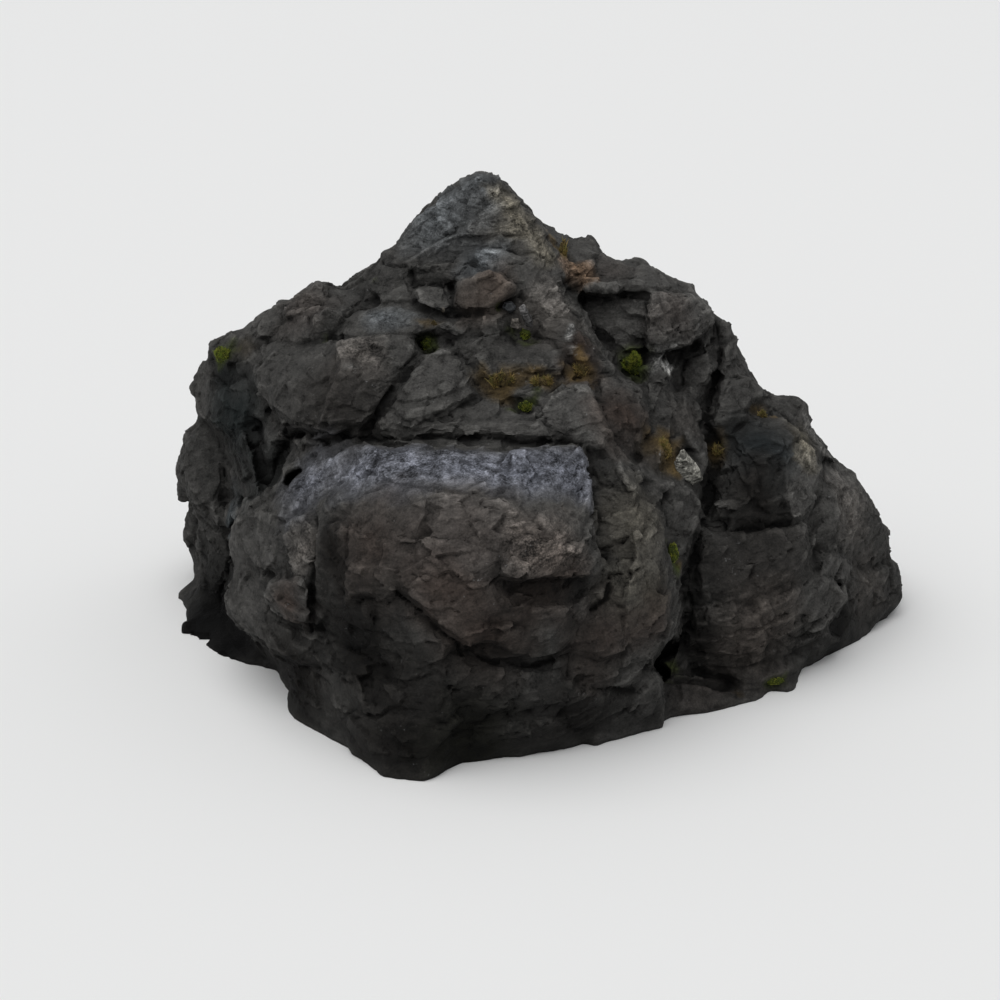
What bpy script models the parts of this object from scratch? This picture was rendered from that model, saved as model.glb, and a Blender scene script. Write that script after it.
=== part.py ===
"""A weathered outcrop of jointed rock with moss and dry grass growing in its cracks.

The rock is one solid. It is built up from the blocks that its joints mark out: each block is the convex
solid between the face that shows and the rock behind it, and all of them are fused into one body, roughened
and cut flat at the ground. The plants and the few loose stones are separate pieces that sit on it.

Metres, +Z up. The front looks along -Y.
"""

import math

import bmesh
import bpy
from mathutils import Matrix, Vector, noise
from mathutils.bvhtree import BVHTree

# How the front was surveyed: corners are sighted from one station on to an upright board
# that stands square to the line of sight, so a corner is across, up and a distance back.
SIGHT_TILT = math.radians(18)
STATION_DISTANCE = 10.833
BOARD_CENTRE = Vector((0.0, 0.0, 0.92))

# The surface
VOXEL = 0.030
BELOW_GROUND = 0.22
FOOT_STEP = 0.02
WORN_BACK = 0.020
ROCK_TRIANGLES = 9100
LUMP_HEIGHT = 0.030
LUMP_SIZE = 0.55
FACET_SIZES = (0.44, 0.20)
FACET_TILTS = (0.16, 0.12)
FACET_PATTERN = Vector((0.3, 2.0, 0.7))
BED_STEP = 0.135
BED_DEPTH = 0.020
BED_NORMAL = Vector((-0.18, -0.30, 0.94)).normalized()

# The clearance that keeps a loose stone or a tuft off the rock that it sits on
REST_GAP = 0.001
CLEAR_OF_GROUND = 0.04
NEAR_HIT = 0.25

# The middle of the rock's footprint, moved to the origin at the end
FOOTPRINT_CENTRE = Vector((0.2558, -0.0012, 0.0))

right = Vector((1, 0, 0))
up = Vector((0, math.sin(SIGHT_TILT), math.cos(SIGHT_TILT)))
toward = Vector((0, math.cos(SIGHT_TILT), -math.sin(SIGHT_TILT)))
station = BOARD_CENTRE - toward * STATION_DISTANCE


def sighted(across, height, back):
    """The point seen at (across, height) on the board that lies at y = back."""
    ray = BOARD_CENTRE + right * across + up * height - station
    return station + ray * ((back - station.y) / ray.y)


def footing(across, height, depth=0.0):
    """The point seen at (across, height) on the board that lies on the ground, or below it."""
    ray = BOARD_CENTRE + right * across + up * height - station
    on_ground = station + ray * (-station.z / ray.z)
    return on_ground - Vector((0, 0, depth))


def clear_scene():
    for obj in list(bpy.data.objects):
        bpy.data.objects.remove(obj)


def hull(bm, points):
    """Adds the convex solid of these points to bm."""
    part = bmesh.new()
    verts = [part.verts.new(p) for p in points]
    bmesh.ops.convex_hull(part, input=verts)
    loose = [v for v in part.verts if not v.link_faces]
    bmesh.ops.delete(part, geom=loose, context="VERTS")
    bmesh.ops.recalc_face_normals(part, faces=part.faces)
    mesh = bpy.data.meshes.new("hull")
    part.to_mesh(mesh)
    part.free()
    bm.from_mesh(mesh)
    bpy.data.meshes.remove(mesh)


def face_block(bm, corners, thick=0.5):
    """A block whose visible corners are given. Its hidden side is the same corners, further along the sight lines."""
    front = [sighted(*c) for c in corners]
    rear = [p + (p - station).normalized() * thick for p in front]
    hull(bm, front + rear)


def standing_block(bm, corners, feet, thick=0.5):
    """A block that stands on the ground: visible corners, and the board positions of its foot."""
    front = [sighted(*c) for c in corners]
    front += [footing(a, h, -FOOT_STEP) for a, h in feet]
    front += [footing(a, h, BELOW_GROUND) for a, h in feet]
    rear = [p + Vector((0, thick, 0)) for p in front]
    hull(bm, front + rear)


# The peak and the upper front, from the summit down to the ledge of loose stones
UPPER_BLOCKS = [
    # summit cap, its left face and its smooth right slope
    ([(-0.13, 2.12, 0.16), (-0.22, 2.10, 0.24), (-0.38, 1.93, 0.28), (-0.57, 1.83, 0.26), (-0.66, 1.69, 0.20),
      (-0.40, 1.68, 0.00), (-0.09, 1.90, -0.02), (-0.10, 1.715, -0.14), (0.10, 1.72, -0.14), (0.19, 1.71, -0.10),
      (0.06, 1.92, 0.06)], 0.6),
    ([(-0.03, 2.09, 0.20), (-0.13, 2.12, 0.18), (0.06, 1.92, 0.06), (0.19, 1.71, -0.10), (0.33, 1.50, -0.16),
      (0.46, 1.43, -0.02), (0.43, 1.58, 0.22), (0.32, 1.745, 0.32), (0.16, 1.90, 0.34), (0.00, 2.04, 0.26)], 0.6),
    # thin bed under the cap
    ([(-0.40, 1.70, -0.04), (-0.10, 1.69, -0.12), (0.18, 1.70, -0.12), (0.28, 1.60, -0.16), (0.13, 1.60, -0.18),
      (-0.12, 1.62, -0.18), (-0.34, 1.63, -0.12)], 0.5),
    # pale tongue at the left of the bed
    ([(-0.56, 1.60, -0.06), (-0.36, 1.71, -0.10), (-0.31, 1.685, -0.14), (-0.33, 1.64, -0.16), (-0.50, 1.595, -0.12)], 0.4),
    # broad face down to the spur
    ([(-0.12, 1.61, -0.19), (0.13, 1.59, -0.20), (0.29, 1.59, -0.15), (0.42, 1.42, -0.22), (0.50, 1.22, -0.36),
      (0.30, 1.18, -0.42), (0.20, 1.24, -0.43), (0.10, 1.35, -0.40), (-0.05, 1.48, -0.30)], 0.6),
    # brown block under it
    ([(-0.285, 1.44, -0.34), (-0.285, 1.23, -0.44), (-0.16, 1.20, -0.47), (-0.08, 1.225, -0.48), (-0.01, 1.30, -0.47),
      (0.10, 1.34, -0.44), (0.08, 1.39, -0.40), (-0.03, 1.49, -0.33), (-0.14, 1.46, -0.36)], 0.5),
    # floor of the hollow and of the pocket above the loose stones
    ([(-0.34, 1.62, -0.08), (-0.14, 1.62, -0.10), (-0.12, 1.46, -0.20), (-0.32, 1.42, -0.18)], 0.4),
    ([(-0.02, 1.32, -0.38), (0.12, 1.35, -0.37), (0.25, 1.24, -0.39), (0.25, 1.08, -0.48), (0.04, 1.07, -0.50),
      (-0.02, 1.20, -0.42)], 0.4),
    # knob beside the hollow
    ([(-0.30, 1.60, -0.16), (-0.21, 1.63, -0.16), (-0.22, 1.56, -0.22), (-0.27, 1.52, -0.25), (-0.31, 1.50, -0.22)], 0.4),
    ([(-0.28, 1.50, -0.26), (-0.18, 1.49, -0.28), (-0.17, 1.45, -0.30), (-0.27, 1.43, -0.30)], 0.4),
    # low block left of the brown one
    ([(-0.56, 1.375, -0.28), (-0.43, 1.40, -0.28), (-0.35, 1.38, -0.30), (-0.305, 1.25, -0.38), (-0.35, 1.21, -0.42),
      (-0.49, 1.265, -0.38), (-0.55, 1.30, -0.33)], 0.5),
    # dark shoulder under the left face
    ([(-0.60, 1.59, -0.02), (-0.40, 1.62, -0.10), (-0.33, 1.53, -0.16), (-0.40, 1.43, -0.16), (-0.58, 1.44, -0.12)], 0.5),
    ([(-0.77, 1.57, 0.12), (-0.745, 1.63, 0.16), (-0.65, 1.69, 0.16), (-0.55, 1.64, 0.02), (-0.60, 1.54, -0.02),
      (-0.72, 1.53, 0.06)], 0.5),
    # shoulder stepping down to the saddle
    ([(-0.96, 1.37, 0.14), (-0.90, 1.44, 0.18), (-0.83, 1.50, 0.18), (-0.77, 1.55, 0.14), (-0.67, 1.50, 0.00),
      (-0.61, 1.42, -0.08), (-0.60, 1.28, -0.18), (-0.73, 1.25, -0.18), (-0.85, 1.32, -0.06)], 0.5),
    ([(-0.80, 1.33, -0.12), (-0.64, 1.40, -0.16), (-0.58, 1.33, -0.22), (-0.63, 1.25, -0.26), (-0.76, 1.25, -0.20)], 0.4),
]

# Left shoulder, from the saddle out to the left wall
SHOULDER_BLOCKS = [
    ([(-1.18, 1.43, 0.08), (-1.26, 1.38, 0.06), (-1.35, 1.31, 0.04), (-1.39, 1.20, -0.06), (-1.42, 1.06, -0.16),
      (-1.28, 1.09, -0.22), (-1.22, 1.18, -0.20), (-1.16, 1.27, -0.14), (-1.13, 1.40, 0.04)], 0.6),
    ([(-1.14, 1.40, 0.06), (-1.00, 1.375, 0.06), (-0.90, 1.36, 0.04), (-0.86, 1.30, -0.02), (-1.00, 1.22, -0.14),
      (-1.17, 1.26, -0.14)], 0.5),
    ([(-1.58, 1.19, 0.14), (-1.50, 1.25, 0.14), (-1.42, 1.31, 0.12), (-1.36, 1.31, 0.06), (-1.39, 1.20, -0.04),
      (-1.46, 1.09, -0.10), (-1.56, 1.10, 0.04)], 0.6),
    ([(-1.20, 1.215, -0.24), (-1.11, 1.255, -0.24), (-1.03, 1.22, -0.25), (-1.00, 1.18, -0.28), (-1.08, 1.06, -0.36),
      (-1.20, 1.06, -0.36), (-1.235, 1.14, -0.30)], 0.5),
    ([(-1.45, 1.08, -0.12), (-1.32, 1.15, -0.16), (-1.24, 1.12, -0.24), (-1.23, 1.05, -0.30), (-1.36, 1.01, -0.28),
      (-1.48, 1.02, -0.20)], 0.5),
    # long pale slab above the middle band
    ([(-1.00, 1.20, -0.26), (-0.90, 1.22, -0.24), (-0.78, 1.24, -0.24), (-0.68, 1.265, -0.25), (-0.58, 1.24, -0.28),
      (-0.46, 1.20, -0.34), (-0.36, 1.13, -0.42), (-0.46, 1.06, -0.47), (-0.62, 1.09, -0.46), (-0.85, 1.07, -0.44),
      (-1.05, 1.06, -0.40), (-1.07, 1.09, -0.36)], 0.6),
    ([(-1.38, 1.05, -0.26), (-1.33, 1.07, -0.26), (-1.22, 1.03, -0.34), (-1.30, 1.00, -0.34), (-1.38, 1.00, -0.30)], 0.3),
    ([(-1.57, 1.02, -0.10), (-1.46, 1.06, -0.14), (-1.40, 1.04, -0.20), (-1.42, 0.98, -0.26), (-1.53, 0.965, -0.18)], 0.5),
    # brown ledge at the left end, with moss on it
    ([(-1.91, 0.93, 0.40), (-1.84, 1.04, 0.42), (-1.70, 1.10, 0.36), (-1.61, 1.13, 0.26), (-1.57, 1.00, 0.00),
      (-1.65, 0.90, -0.02), (-1.76, 0.88, 0.08), (-1.88, 0.90, 0.24)], 0.7),
]

# Left wall: ribbed, dark and nearly upright
WALL_BLOCKS = [
    ([(-1.99, 0.79, 0.52), (-1.91, 0.93, 0.46), (-1.87, 0.90, 0.30), (-1.87, 0.72, 0.30), (-1.90, 0.60, 0.30),
      (-1.985, 0.48, 0.46)], 0.7),
    ([(-1.88, 0.90, 0.24), (-1.70, 0.88, 0.06), (-1.65, 0.87, 0.00), (-1.72, 0.78, 0.00), (-1.85, 0.73, 0.14)], 0.6),
    ([(-1.91, 0.61, 0.28), (-1.86, 0.73, 0.22), (-1.72, 0.78, 0.04), (-1.60, 0.86, -0.10), (-1.57, 0.70, -0.14),
      (-1.62, 0.50, -0.12), (-1.70, 0.45, -0.06), (-1.80, 0.46, 0.04), (-1.91, 0.50, 0.20)], 0.7),
    ([(-2.045, 0.39, 0.50), (-1.98, 0.48, 0.48), (-1.88, 0.50, 0.32), (-1.80, 0.30, 0.22), (-1.82, 0.05, 0.16),
      (-1.92, -0.12, 0.26), (-2.00, -0.09, 0.42), (-2.05, 0.04, 0.50), (-2.04, 0.20, 0.50), (-2.09, 0.30, 0.52)], 0.8),
    ([(-1.80, 0.46, 0.10), (-1.62, 0.48, -0.06), (-1.56, 0.30, -0.10), (-1.48, 0.05, -0.12), (-1.62, 0.00, 0.00),
      (-1.78, 0.05, 0.14), (-1.82, 0.25, 0.20)], 0.8),
    ([(-1.60, 0.60, -0.16), (-1.45, 0.55, -0.34), (-1.25, 0.45, -0.48), (-0.90, 0.42, -0.62), (-0.90, 0.25, -0.64),
      (-1.20, 0.10, -0.50), (-1.45, 0.00, -0.26), (-1.58, 0.15, -0.10)], 0.8),
    ([(-1.80, 0.00, 0.06), (-1.70, 0.02, 0.00), (-1.58, 0.02, -0.14), (-1.62, -0.15, -0.18), (-1.80, -0.10, 0.02)], 0.6),
]

# Middle band: three slabs over the deep joint behind the boulder
BAND_BLOCKS = [
    ([(-1.58, 0.87, -0.22), (-1.45, 0.97, -0.28), (-1.30, 1.02, -0.32), (-1.10, 1.05, -0.40), (-0.90, 1.08, -0.44),
      (-0.75, 1.09, -0.46), (-0.60, 1.07, -0.50), (-0.55, 1.03, -0.53), (-0.53, 0.93, -0.58), (-0.66, 0.78, -0.70),
      (-0.78, 0.58, -0.82), (-0.86, 0.43, -0.88), (-1.00, 0.43, -0.88), (-1.20, 0.44, -0.80), (-1.37, 0.47, -0.66),
      (-1.47, 0.58, -0.50), (-1.58, 0.76, -0.30), (-1.08, 0.66, -0.92), (-1.38, 0.76, -0.58)], 0.7),
    ([(-0.40, 0.98, -0.60), (-0.50, 0.91, -0.64), (-0.62, 0.77, -0.74), (-0.74, 0.57, -0.88), (-0.82, 0.41, -0.94),
      (-0.60, 0.42, -1.00), (-0.40, 0.43, -1.02), (-0.28, 0.56, -0.94), (-0.08, 0.67, -0.86), (-0.13, 0.75, -0.80),
      (-0.19, 0.86, -0.72), (-0.30, 0.95, -0.64), (-0.50, 0.66, -0.94)], 0.7),
    ([(-0.33, 1.02, -0.54), (-0.15, 1.07, -0.52), (-0.05, 1.07, -0.53), (0.12, 1.02, -0.56), (0.16, 0.90, -0.66),
      (0.15, 0.76, -0.76), (-0.04, 0.75, -0.78), (-0.14, 0.83, -0.74), (-0.20, 0.91, -0.68)], 0.6),
    ([(0.10, 1.04, -0.54), (0.22, 1.01, -0.58), (0.34, 1.02, -0.58), (0.43, 0.90, -0.66), (0.40, 0.83, -0.71),
      (0.20, 0.80, -0.74), (0.17, 0.90, -0.70)], 0.6),
    # floor of the grassy hollow between the slabs and the tongue
    ([(-0.22, 0.82, -0.72), (0.10, 0.84, -0.70), (0.45, 0.86, -0.65), (0.52, 0.70, -0.76), (0.22, 0.55, -0.92),
      (-0.12, 0.58, -0.90)], 0.6),
    # tongue along the lip of the joint
    ([(0.00, 0.69, -0.86), (0.10, 0.60, -0.93), (0.24, 0.54, -0.98), (0.34, 0.46, -1.04), (0.30, 0.39, -1.08),
      (0.00, 0.42, -1.08), (-0.20, 0.45, -1.07), (-0.40, 0.45, -1.02), (-0.33, 0.53, -0.98), (-0.10, 0.63, -0.92)], 0.6),
    # floor of the joint behind the boulder, and the dark corner at its left end
    ([(-1.00, 0.43, -0.90), (-0.60, 0.42, -1.02), (-0.20, 0.42, -1.08), (0.14, 0.40, -1.13), (0.60, 0.36, -1.12),
      (0.60, 0.00, -1.20), (-1.00, 0.00, -1.00)], 0.9),
    ([(-1.62, 0.45, -0.20), (-1.45, 0.44, -0.44), (-1.24, 0.40, -0.62), (-1.05, 0.36, -0.80), (-1.30, 0.12, -0.78),
      (-1.50, -0.02, -0.62), (-1.66, -0.12, -0.44), (-1.68, 0.20, -0.16)], 0.8),
    # broken blocks at the right end of the lip
    ([(0.33, 0.54, -0.98), (0.41, 0.56, -0.96), (0.45, 0.47, -1.02), (0.36, 0.42, -1.06)], 0.4),
    ([(0.40, 0.53, -0.98), (0.50, 0.47, -1.02), (0.50, 0.38, -1.07), (0.44, 0.37, -1.08), (0.40, 0.44, -1.05)], 0.4),
]

# The buttress that runs down to the right of the boulder, and the blocks above it
BUTTRESS_BLOCKS = [
    ([(0.22, 0.63, -0.86), (0.38, 0.76, -0.78), (0.50, 0.80, -0.74), (0.57, 0.775, -0.74), (0.62, 0.62, -0.86),
      (0.56, 0.50, -0.98), (0.42, 0.55, -0.98), (0.26, 0.57, -0.96)], 0.6),
    ([(0.46, 0.60, -0.92), (0.60, 0.66, -0.86), (0.70, 0.47, -0.98), (0.80, 0.29, -1.08), (0.91, 0.19, -1.14),
      (0.92, 0.06, -1.24), (0.76, 0.09, -1.30), (0.62, 0.12, -1.28), (0.56, 0.28, -1.16), (0.52, 0.45, -1.04)], 0.7),
    # brown rounded block right of the ridge
    ([(0.65, 0.80, -0.66), (0.84, 0.80, -0.62), (0.93, 0.72, -0.62), (0.97, 0.58, -0.66), (0.98, 0.45, -0.74),
      (0.93, 0.35, -0.84), (0.88, 0.25, -0.94), (0.80, 0.32, -0.96), (0.73, 0.44, -0.92), (0.63, 0.66, -0.80),
      (0.82, 0.58, -0.84)], 0.6),
    # smooth brown slab under the spur
    ([(0.22, 1.12, -0.52), (0.33, 1.17, -0.48), (0.48, 1.16, -0.45), (0.56, 1.05, -0.48), (0.66, 0.93, -0.54),
      (0.72, 0.85, -0.60), (0.60, 0.81, -0.66), (0.49, 0.84, -0.68), (0.42, 0.92, -0.66), (0.35, 1.01, -0.60),
      (0.25, 1.05, -0.56)], 0.6),
    # striped spur
    ([(0.40, 1.44, -0.18), (0.46, 1.40, -0.14), (0.54, 1.22, -0.24), (0.63, 1.08, -0.34), (0.74, 0.96, -0.44),
      (0.80, 0.86, -0.52), (0.73, 0.84, -0.58), (0.62, 0.96, -0.50), (0.51, 1.14, -0.42)], 0.5),
    # ledge stones that are part of the rock
    ([(-0.155, 1.19, -0.44), (-0.06, 1.215, -0.44), (0.02, 1.20, -0.44), (0.065, 1.14, -0.48), (0.04, 1.10, -0.52),
      (-0.14, 1.075, -0.54)], 0.4),
    ([(-0.36, 1.15, -0.44), (-0.27, 1.19, -0.43), (-0.175, 1.20, -0.44), (-0.185, 1.08, -0.52), (-0.34, 1.08, -0.52)], 0.4),
]

# Right upper front, from the gully head to the right skyline
RIGHT_UPPER_BLOCKS = [
    # recessed dark wall and its columns
    ([(0.48, 1.35, 0.00), (0.96, 1.36, 0.00), (0.97, 1.10, -0.10), (0.95, 0.94, -0.18), (0.80, 0.92, -0.22),
      (0.60, 1.08, -0.12)], 0.6),
    ([(0.83, 1.30, -0.06), (0.93, 1.32, -0.08), (0.92, 1.02, -0.24), (0.84, 0.98, -0.26), (0.76, 1.08, -0.22)], 0.4),
    # pale ledge slabs
    ([(0.43, 1.38, -0.10), (0.55, 1.43, -0.10), (0.785, 1.42, -0.12), (0.785, 1.335, -0.16), (0.50, 1.335, -0.14)], 0.4),
    ([(0.80, 1.42, -0.10), (0.87, 1.41, -0.10), (0.87, 1.33, -0.14), (0.80, 1.33, -0.14)], 0.4),
    ([(0.88, 1.41, -0.08), (0.97, 1.38, -0.10), (0.96, 1.31, -0.16), (0.885, 1.33, -0.14)], 0.4),
    # rounded boss
    ([(0.96, 1.34, -0.16), (1.05, 1.385, -0.10), (1.16, 1.345, -0.14), (1.26, 1.36, -0.08), (1.35, 1.29, -0.04),
      (1.39, 1.19, -0.04), (1.36, 1.11, -0.10), (1.29, 1.04, -0.18), (1.18, 1.00, -0.26), (1.05, 0.96, -0.30),
      (0.95, 0.93, -0.28), (0.96, 1.12, -0.28), (1.15, 1.20, -0.36)], 0.6),
    # skyline blocks, left to right
    ([(0.48, 1.69, 0.32), (0.54, 1.705, 0.32), (0.61, 1.69, 0.30), (0.64, 1.61, 0.22), (0.58, 1.55, 0.12),
      (0.47, 1.53, 0.12), (0.44, 1.58, 0.20)], 0.5),
    ([(0.42, 1.50, 0.04), (0.55, 1.53, 0.06), (0.64, 1.52, 0.06), (0.62, 1.455, 0.00), (0.44, 1.44, -0.02)], 0.4),
    ([(0.62, 1.62, 0.28), (0.72, 1.60, 0.26), (0.80, 1.55, 0.24), (0.89, 1.47, 0.14), (0.86, 1.44, 0.06),
      (0.63, 1.44, 0.00), (0.61, 1.53, 0.12)], 0.5),
    ([(0.845, 1.625, 0.34), (0.92, 1.55, 0.28), (0.99, 1.54, 0.26), (0.95, 1.47, 0.12), (0.86, 1.49, 0.14),
      (0.79, 1.56, 0.26)], 0.4),
    ([(0.93, 1.51, 0.18), (1.01, 1.51, 0.22), (1.08, 1.505, 0.22), (1.17, 1.41, 0.14), (1.18, 1.375, 0.04),
      (1.08, 1.36, -0.02), (0.92, 1.39, -0.04)], 0.5),
    ([(1.16, 1.405, 0.22), (1.25, 1.41, 0.22), (1.31, 1.35, 0.16), (1.38, 1.28, 0.10), (1.24, 1.35, 0.00),
      (1.14, 1.37, 0.02)], 0.4),
    # pillars of the right flank
    ([(1.385, 1.23, 0.06), (1.41, 1.25, 0.10), (1.435, 1.17, 0.06), (1.43, 1.04, -0.04), (1.39, 1.06, -0.06)], 0.4),
    ([(1.44, 1.18, 0.14), (1.465, 1.19, 0.18), (1.50, 1.15, 0.18), (1.53, 1.05, 0.14), (1.60, 0.92, 0.10),
      (1.635, 0.84, 0.04), (1.55, 0.84, -0.08), (1.45, 0.88, -0.12), (1.45, 1.04, -0.04)], 0.6),
    ([(1.31, 1.05, -0.12), (1.375, 1.13, -0.06), (1.38, 1.00, -0.14), (1.33, 0.98, -0.18)], 0.3),
    ([(1.22, 0.92, -0.16), (1.35, 0.96, -0.12), (1.385, 0.86, -0.16), (1.36, 0.74, -0.26), (1.26, 0.68, -0.34),
      (1.20, 0.76, -0.28)], 0.5),
    ([(1.45, 0.89, -0.10), (1.62, 0.86, 0.02), (1.68, 0.74, -0.02), (1.76, 0.68, -0.04), (1.68, 0.60, -0.22),
      (1.56, 0.53, -0.34), (1.44, 0.47, -0.42), (1.39, 0.50, -0.40), (1.43, 0.62, -0.32), (1.52, 0.72, -0.22)], 0.6),
    # columns left of the dark gully
    ([(0.94, 0.90, -0.34), (1.03, 0.95, -0.32), (1.09, 0.95, -0.32), (1.13, 0.82, -0.40), (1.05, 0.72, -0.50),
      (0.96, 0.70, -0.50), (0.93, 0.78, -0.44)], 0.5),
    ([(0.98, 0.68, -0.52), (1.08, 0.73, -0.50), (1.17, 0.62, -0.54), (1.12, 0.48, -0.64), (1.00, 0.48, -0.66)], 0.5),
    ([(1.12, 0.82, -0.36), (1.19, 0.76, -0.34), (1.26, 0.56, -0.46), (1.34, 0.37, -0.58), (1.41, 0.24, -0.64),
      (1.31, 0.17, -0.72), (1.20, 0.30, -0.70), (1.12, 0.45, -0.62), (1.14, 0.62, -0.50)], 0.5),
    # back wall of the gully
    ([(0.85, 0.95, -0.20), (1.42, 1.00, -0.02), (1.60, 0.60, -0.16), (1.50, 0.30, -0.42), (1.30, 0.10, -0.60),
      (0.95, 0.15, -0.80), (0.85, 0.50, -0.52)], 0.7),
]

# The ground between the buttress and the right boulder
GULLY_BLOCKS = [
    ([(0.90, 0.44, -0.78), (1.14, 0.44, -0.68), (1.20, 0.20, -0.80), (1.10, 0.08, -0.96), (0.94, 0.16, -1.02),
      (0.86, 0.30, -0.94)], 0.5),
    ([(1.10, 0.19, -0.90), (1.185, 0.33, -0.82), (1.30, 0.20, -0.78), (1.325, 0.14, -0.80), (1.24, 0.04, -0.90),
      (1.13, 0.07, -0.96)], 0.5),
    ([(0.93, 0.20, -1.02), (1.06, 0.13, -1.02), (1.20, 0.03, -0.98), (1.28, -0.05, -0.96), (1.30, -0.16, -0.96),
      (1.25, -0.26, -1.02), (1.22, -0.40, -1.08), (1.17, -0.54, -1.18), (1.08, -0.36, -1.20), (1.05, -0.10, -1.18),
      (0.96, 0.00, -1.14)], 0.5),
]

# The great front boulder
BOULDER_BLOCKS = [
    # crown, from the joint behind to the rim where it turns over
    ([(-1.16, 0.25, -0.98), (-1.02, 0.32, -1.04), (-0.87, 0.375, -1.10), (-0.76, 0.34, -1.16), (-0.60, 0.355, -1.20),
      (-0.40, 0.345, -1.24), (-0.20, 0.335, -1.26), (0.06, 0.30, -1.32), (-0.10, 0.02, -1.84), (-0.45, 0.00, -1.86),
      (-0.80, -0.05, -1.78), (-1.05, -0.12, -1.58)], 0.7),
    ([(0.06, 0.30, -1.30), (0.10, 0.34, -1.26), (0.50, 0.36, -1.24), (0.545, 0.30, -1.30), (0.585, 0.12, -1.46),
      (0.61, -0.18, -1.66), (0.62, -0.29, -1.74), (0.48, -0.20, -1.84), (0.10, -0.10, -1.92), (-0.15, 0.05, -1.78)], 0.7),
    # left slope of the crown
    ([(-1.60, 0.00, -0.66), (-1.40, 0.10, -0.82), (-1.20, 0.225, -0.94), (-1.00, 0.32, -1.04), (-0.95, 0.00, -1.62),
      (-1.12, -0.08, -1.50), (-1.35, -0.12, -1.26), (-1.55, -0.14, -0.98)], 0.6),
    # main face, bulging over the ledge
    ([(-1.00, -0.12, -1.62), (-0.60, -0.04, -1.84), (-0.10, 0.00, -1.88), (0.30, -0.10, -1.90), (0.62, -0.29, -1.74),
      (0.70, -0.40, -1.74), (0.58, -0.49, -1.90), (0.20, -0.48, -2.04), (-0.02, -0.52, -2.08), (-0.40, -0.66, -2.08),
      (-0.62, -0.58, -2.02), (-0.85, -0.60, -1.94), (-1.00, -0.42, -1.82)], 0.7),
    # shallow brow under the ledge, set back
    ([(-0.40, -0.64, -2.02), (0.05, -0.52, -1.98), (0.54, -0.50, -1.84), (0.54, -0.70, -1.86), (0.10, -0.70, -1.96),
      (-0.30, -0.72, -2.00)], 0.5),
    # belly between the ledge and the undercut
    ([(-0.34, -0.68, -2.06), (0.05, -0.66, -2.04), (0.50, -0.68, -1.92), (0.60, -0.74, -1.84), (0.45, -0.90, -1.86),
      (0.30, -0.96, -1.94), (0.05, -0.98, -2.00), (-0.12, -0.94, -2.06), (-0.26, -0.86, -2.10)], 0.6),
    # pale flake in the belly
    ([(0.17, -0.72, -2.02), (0.48, -0.72, -1.96), (0.46, -0.84, -1.94), (0.28, -0.90, -1.98), (0.16, -0.88, -2.00)], 0.4),
    ([(-0.09, -0.80, -2.10), (0.05, -0.74, -2.08), (0.13, -0.78, -2.04), (0.10, -0.90, -2.02), (-0.02, -0.93, -2.04)], 0.4),
    # block below the slanting joint
    ([(-1.00, -0.62, -1.82), (-0.82, -0.62, -1.90), (-0.66, -0.64, -1.94), (-0.50, -0.80, -2.04), (-0.36, -0.98, -2.06),
      (-0.60, -1.08, -1.98), (-0.85, -1.04, -1.86), (-0.98, -0.90, -1.80)], 0.6),
    ([(-1.14, -0.76, -1.66), (-1.02, -0.72, -1.72), (-0.86, -0.80, -1.86), (-0.80, -0.88, -1.90), (-0.95, -0.98, -1.80),
      (-1.10, -0.88, -1.68)], 0.5),
    # right lip of the slot
    ([(-1.00, -0.14, -1.62), (-0.90, -0.30, -1.80), (-0.88, -0.60, -1.88), (-1.06, -0.68, -1.72), (-1.02, -0.40, -1.66)], 0.5),
    # smooth floor of the slot
    ([(-1.22, -0.10, -1.36), (-1.00, -0.10, -1.50), (-1.00, -0.72, -1.62), (-1.22, -0.80, -1.42)], 0.5),
    # left nose, three lobes
    ([(-1.55, -0.14, -0.98), (-1.40, -0.10, -1.22), (-1.24, -0.10, -1.40), (-1.20, -0.14, -1.48), (-1.22, -0.50, -1.58),
      (-1.35, -0.50, -1.44), (-1.50, -0.46, -1.24), (-1.62, -0.30, -1.04)], 0.6),
    ([(-1.77, -0.25, -0.64), (-1.70, -0.12, -0.66), (-1.60, 0.00, -0.68), (-1.50, -0.10, -1.00), (-1.55, -0.24, -1.12),
      (-1.66, -0.40, -1.02), (-1.74, -0.42, -0.86)], 0.6),
    ([(-1.70, -0.44, -0.88), (-1.80, -0.66, -0.72), (-1.78, -0.72, -0.76), (-1.70, -0.82, -0.92), (-1.55, -0.94, -1.12),
      (-1.48, -0.80, -1.30), (-1.54, -0.60, -1.28), (-1.56, -0.48, -1.20)], 0.6),
    ([(-1.54, -0.62, -1.32), (-1.46, -0.54, -1.40), (-1.28, -0.52, -1.56), (-1.24, -0.60, -1.62), (-1.24, -0.78, -1.64),
      (-1.34, -0.82, -1.56), (-1.46, -0.74, -1.42)], 0.6),
    # skirt of the nose
    ([(-1.56, -0.94, -1.12), (-1.46, -0.78, -1.34), (-1.22, -0.84, -1.58), (-1.00, -0.94, -1.76), (-0.80, -1.02, -1.88),
      (-0.76, -1.10, -1.90), (-1.00, -1.14, -1.76), (-1.30, -1.08, -1.48), (-1.48, -1.02, -1.20)], 0.6),
    # inner mass of the boulder
    ([(-1.45, 0.00, -0.80), (-0.90, 0.25, -1.20), (0.45, 0.25, -1.36), (0.50, -0.40, -1.70), (0.40, -1.00, -1.72),
      (-0.40, -1.10, -1.84), (-1.00, -1.00, -1.58), (-1.50, -0.70, -1.02)], 0.9),
]

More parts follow.
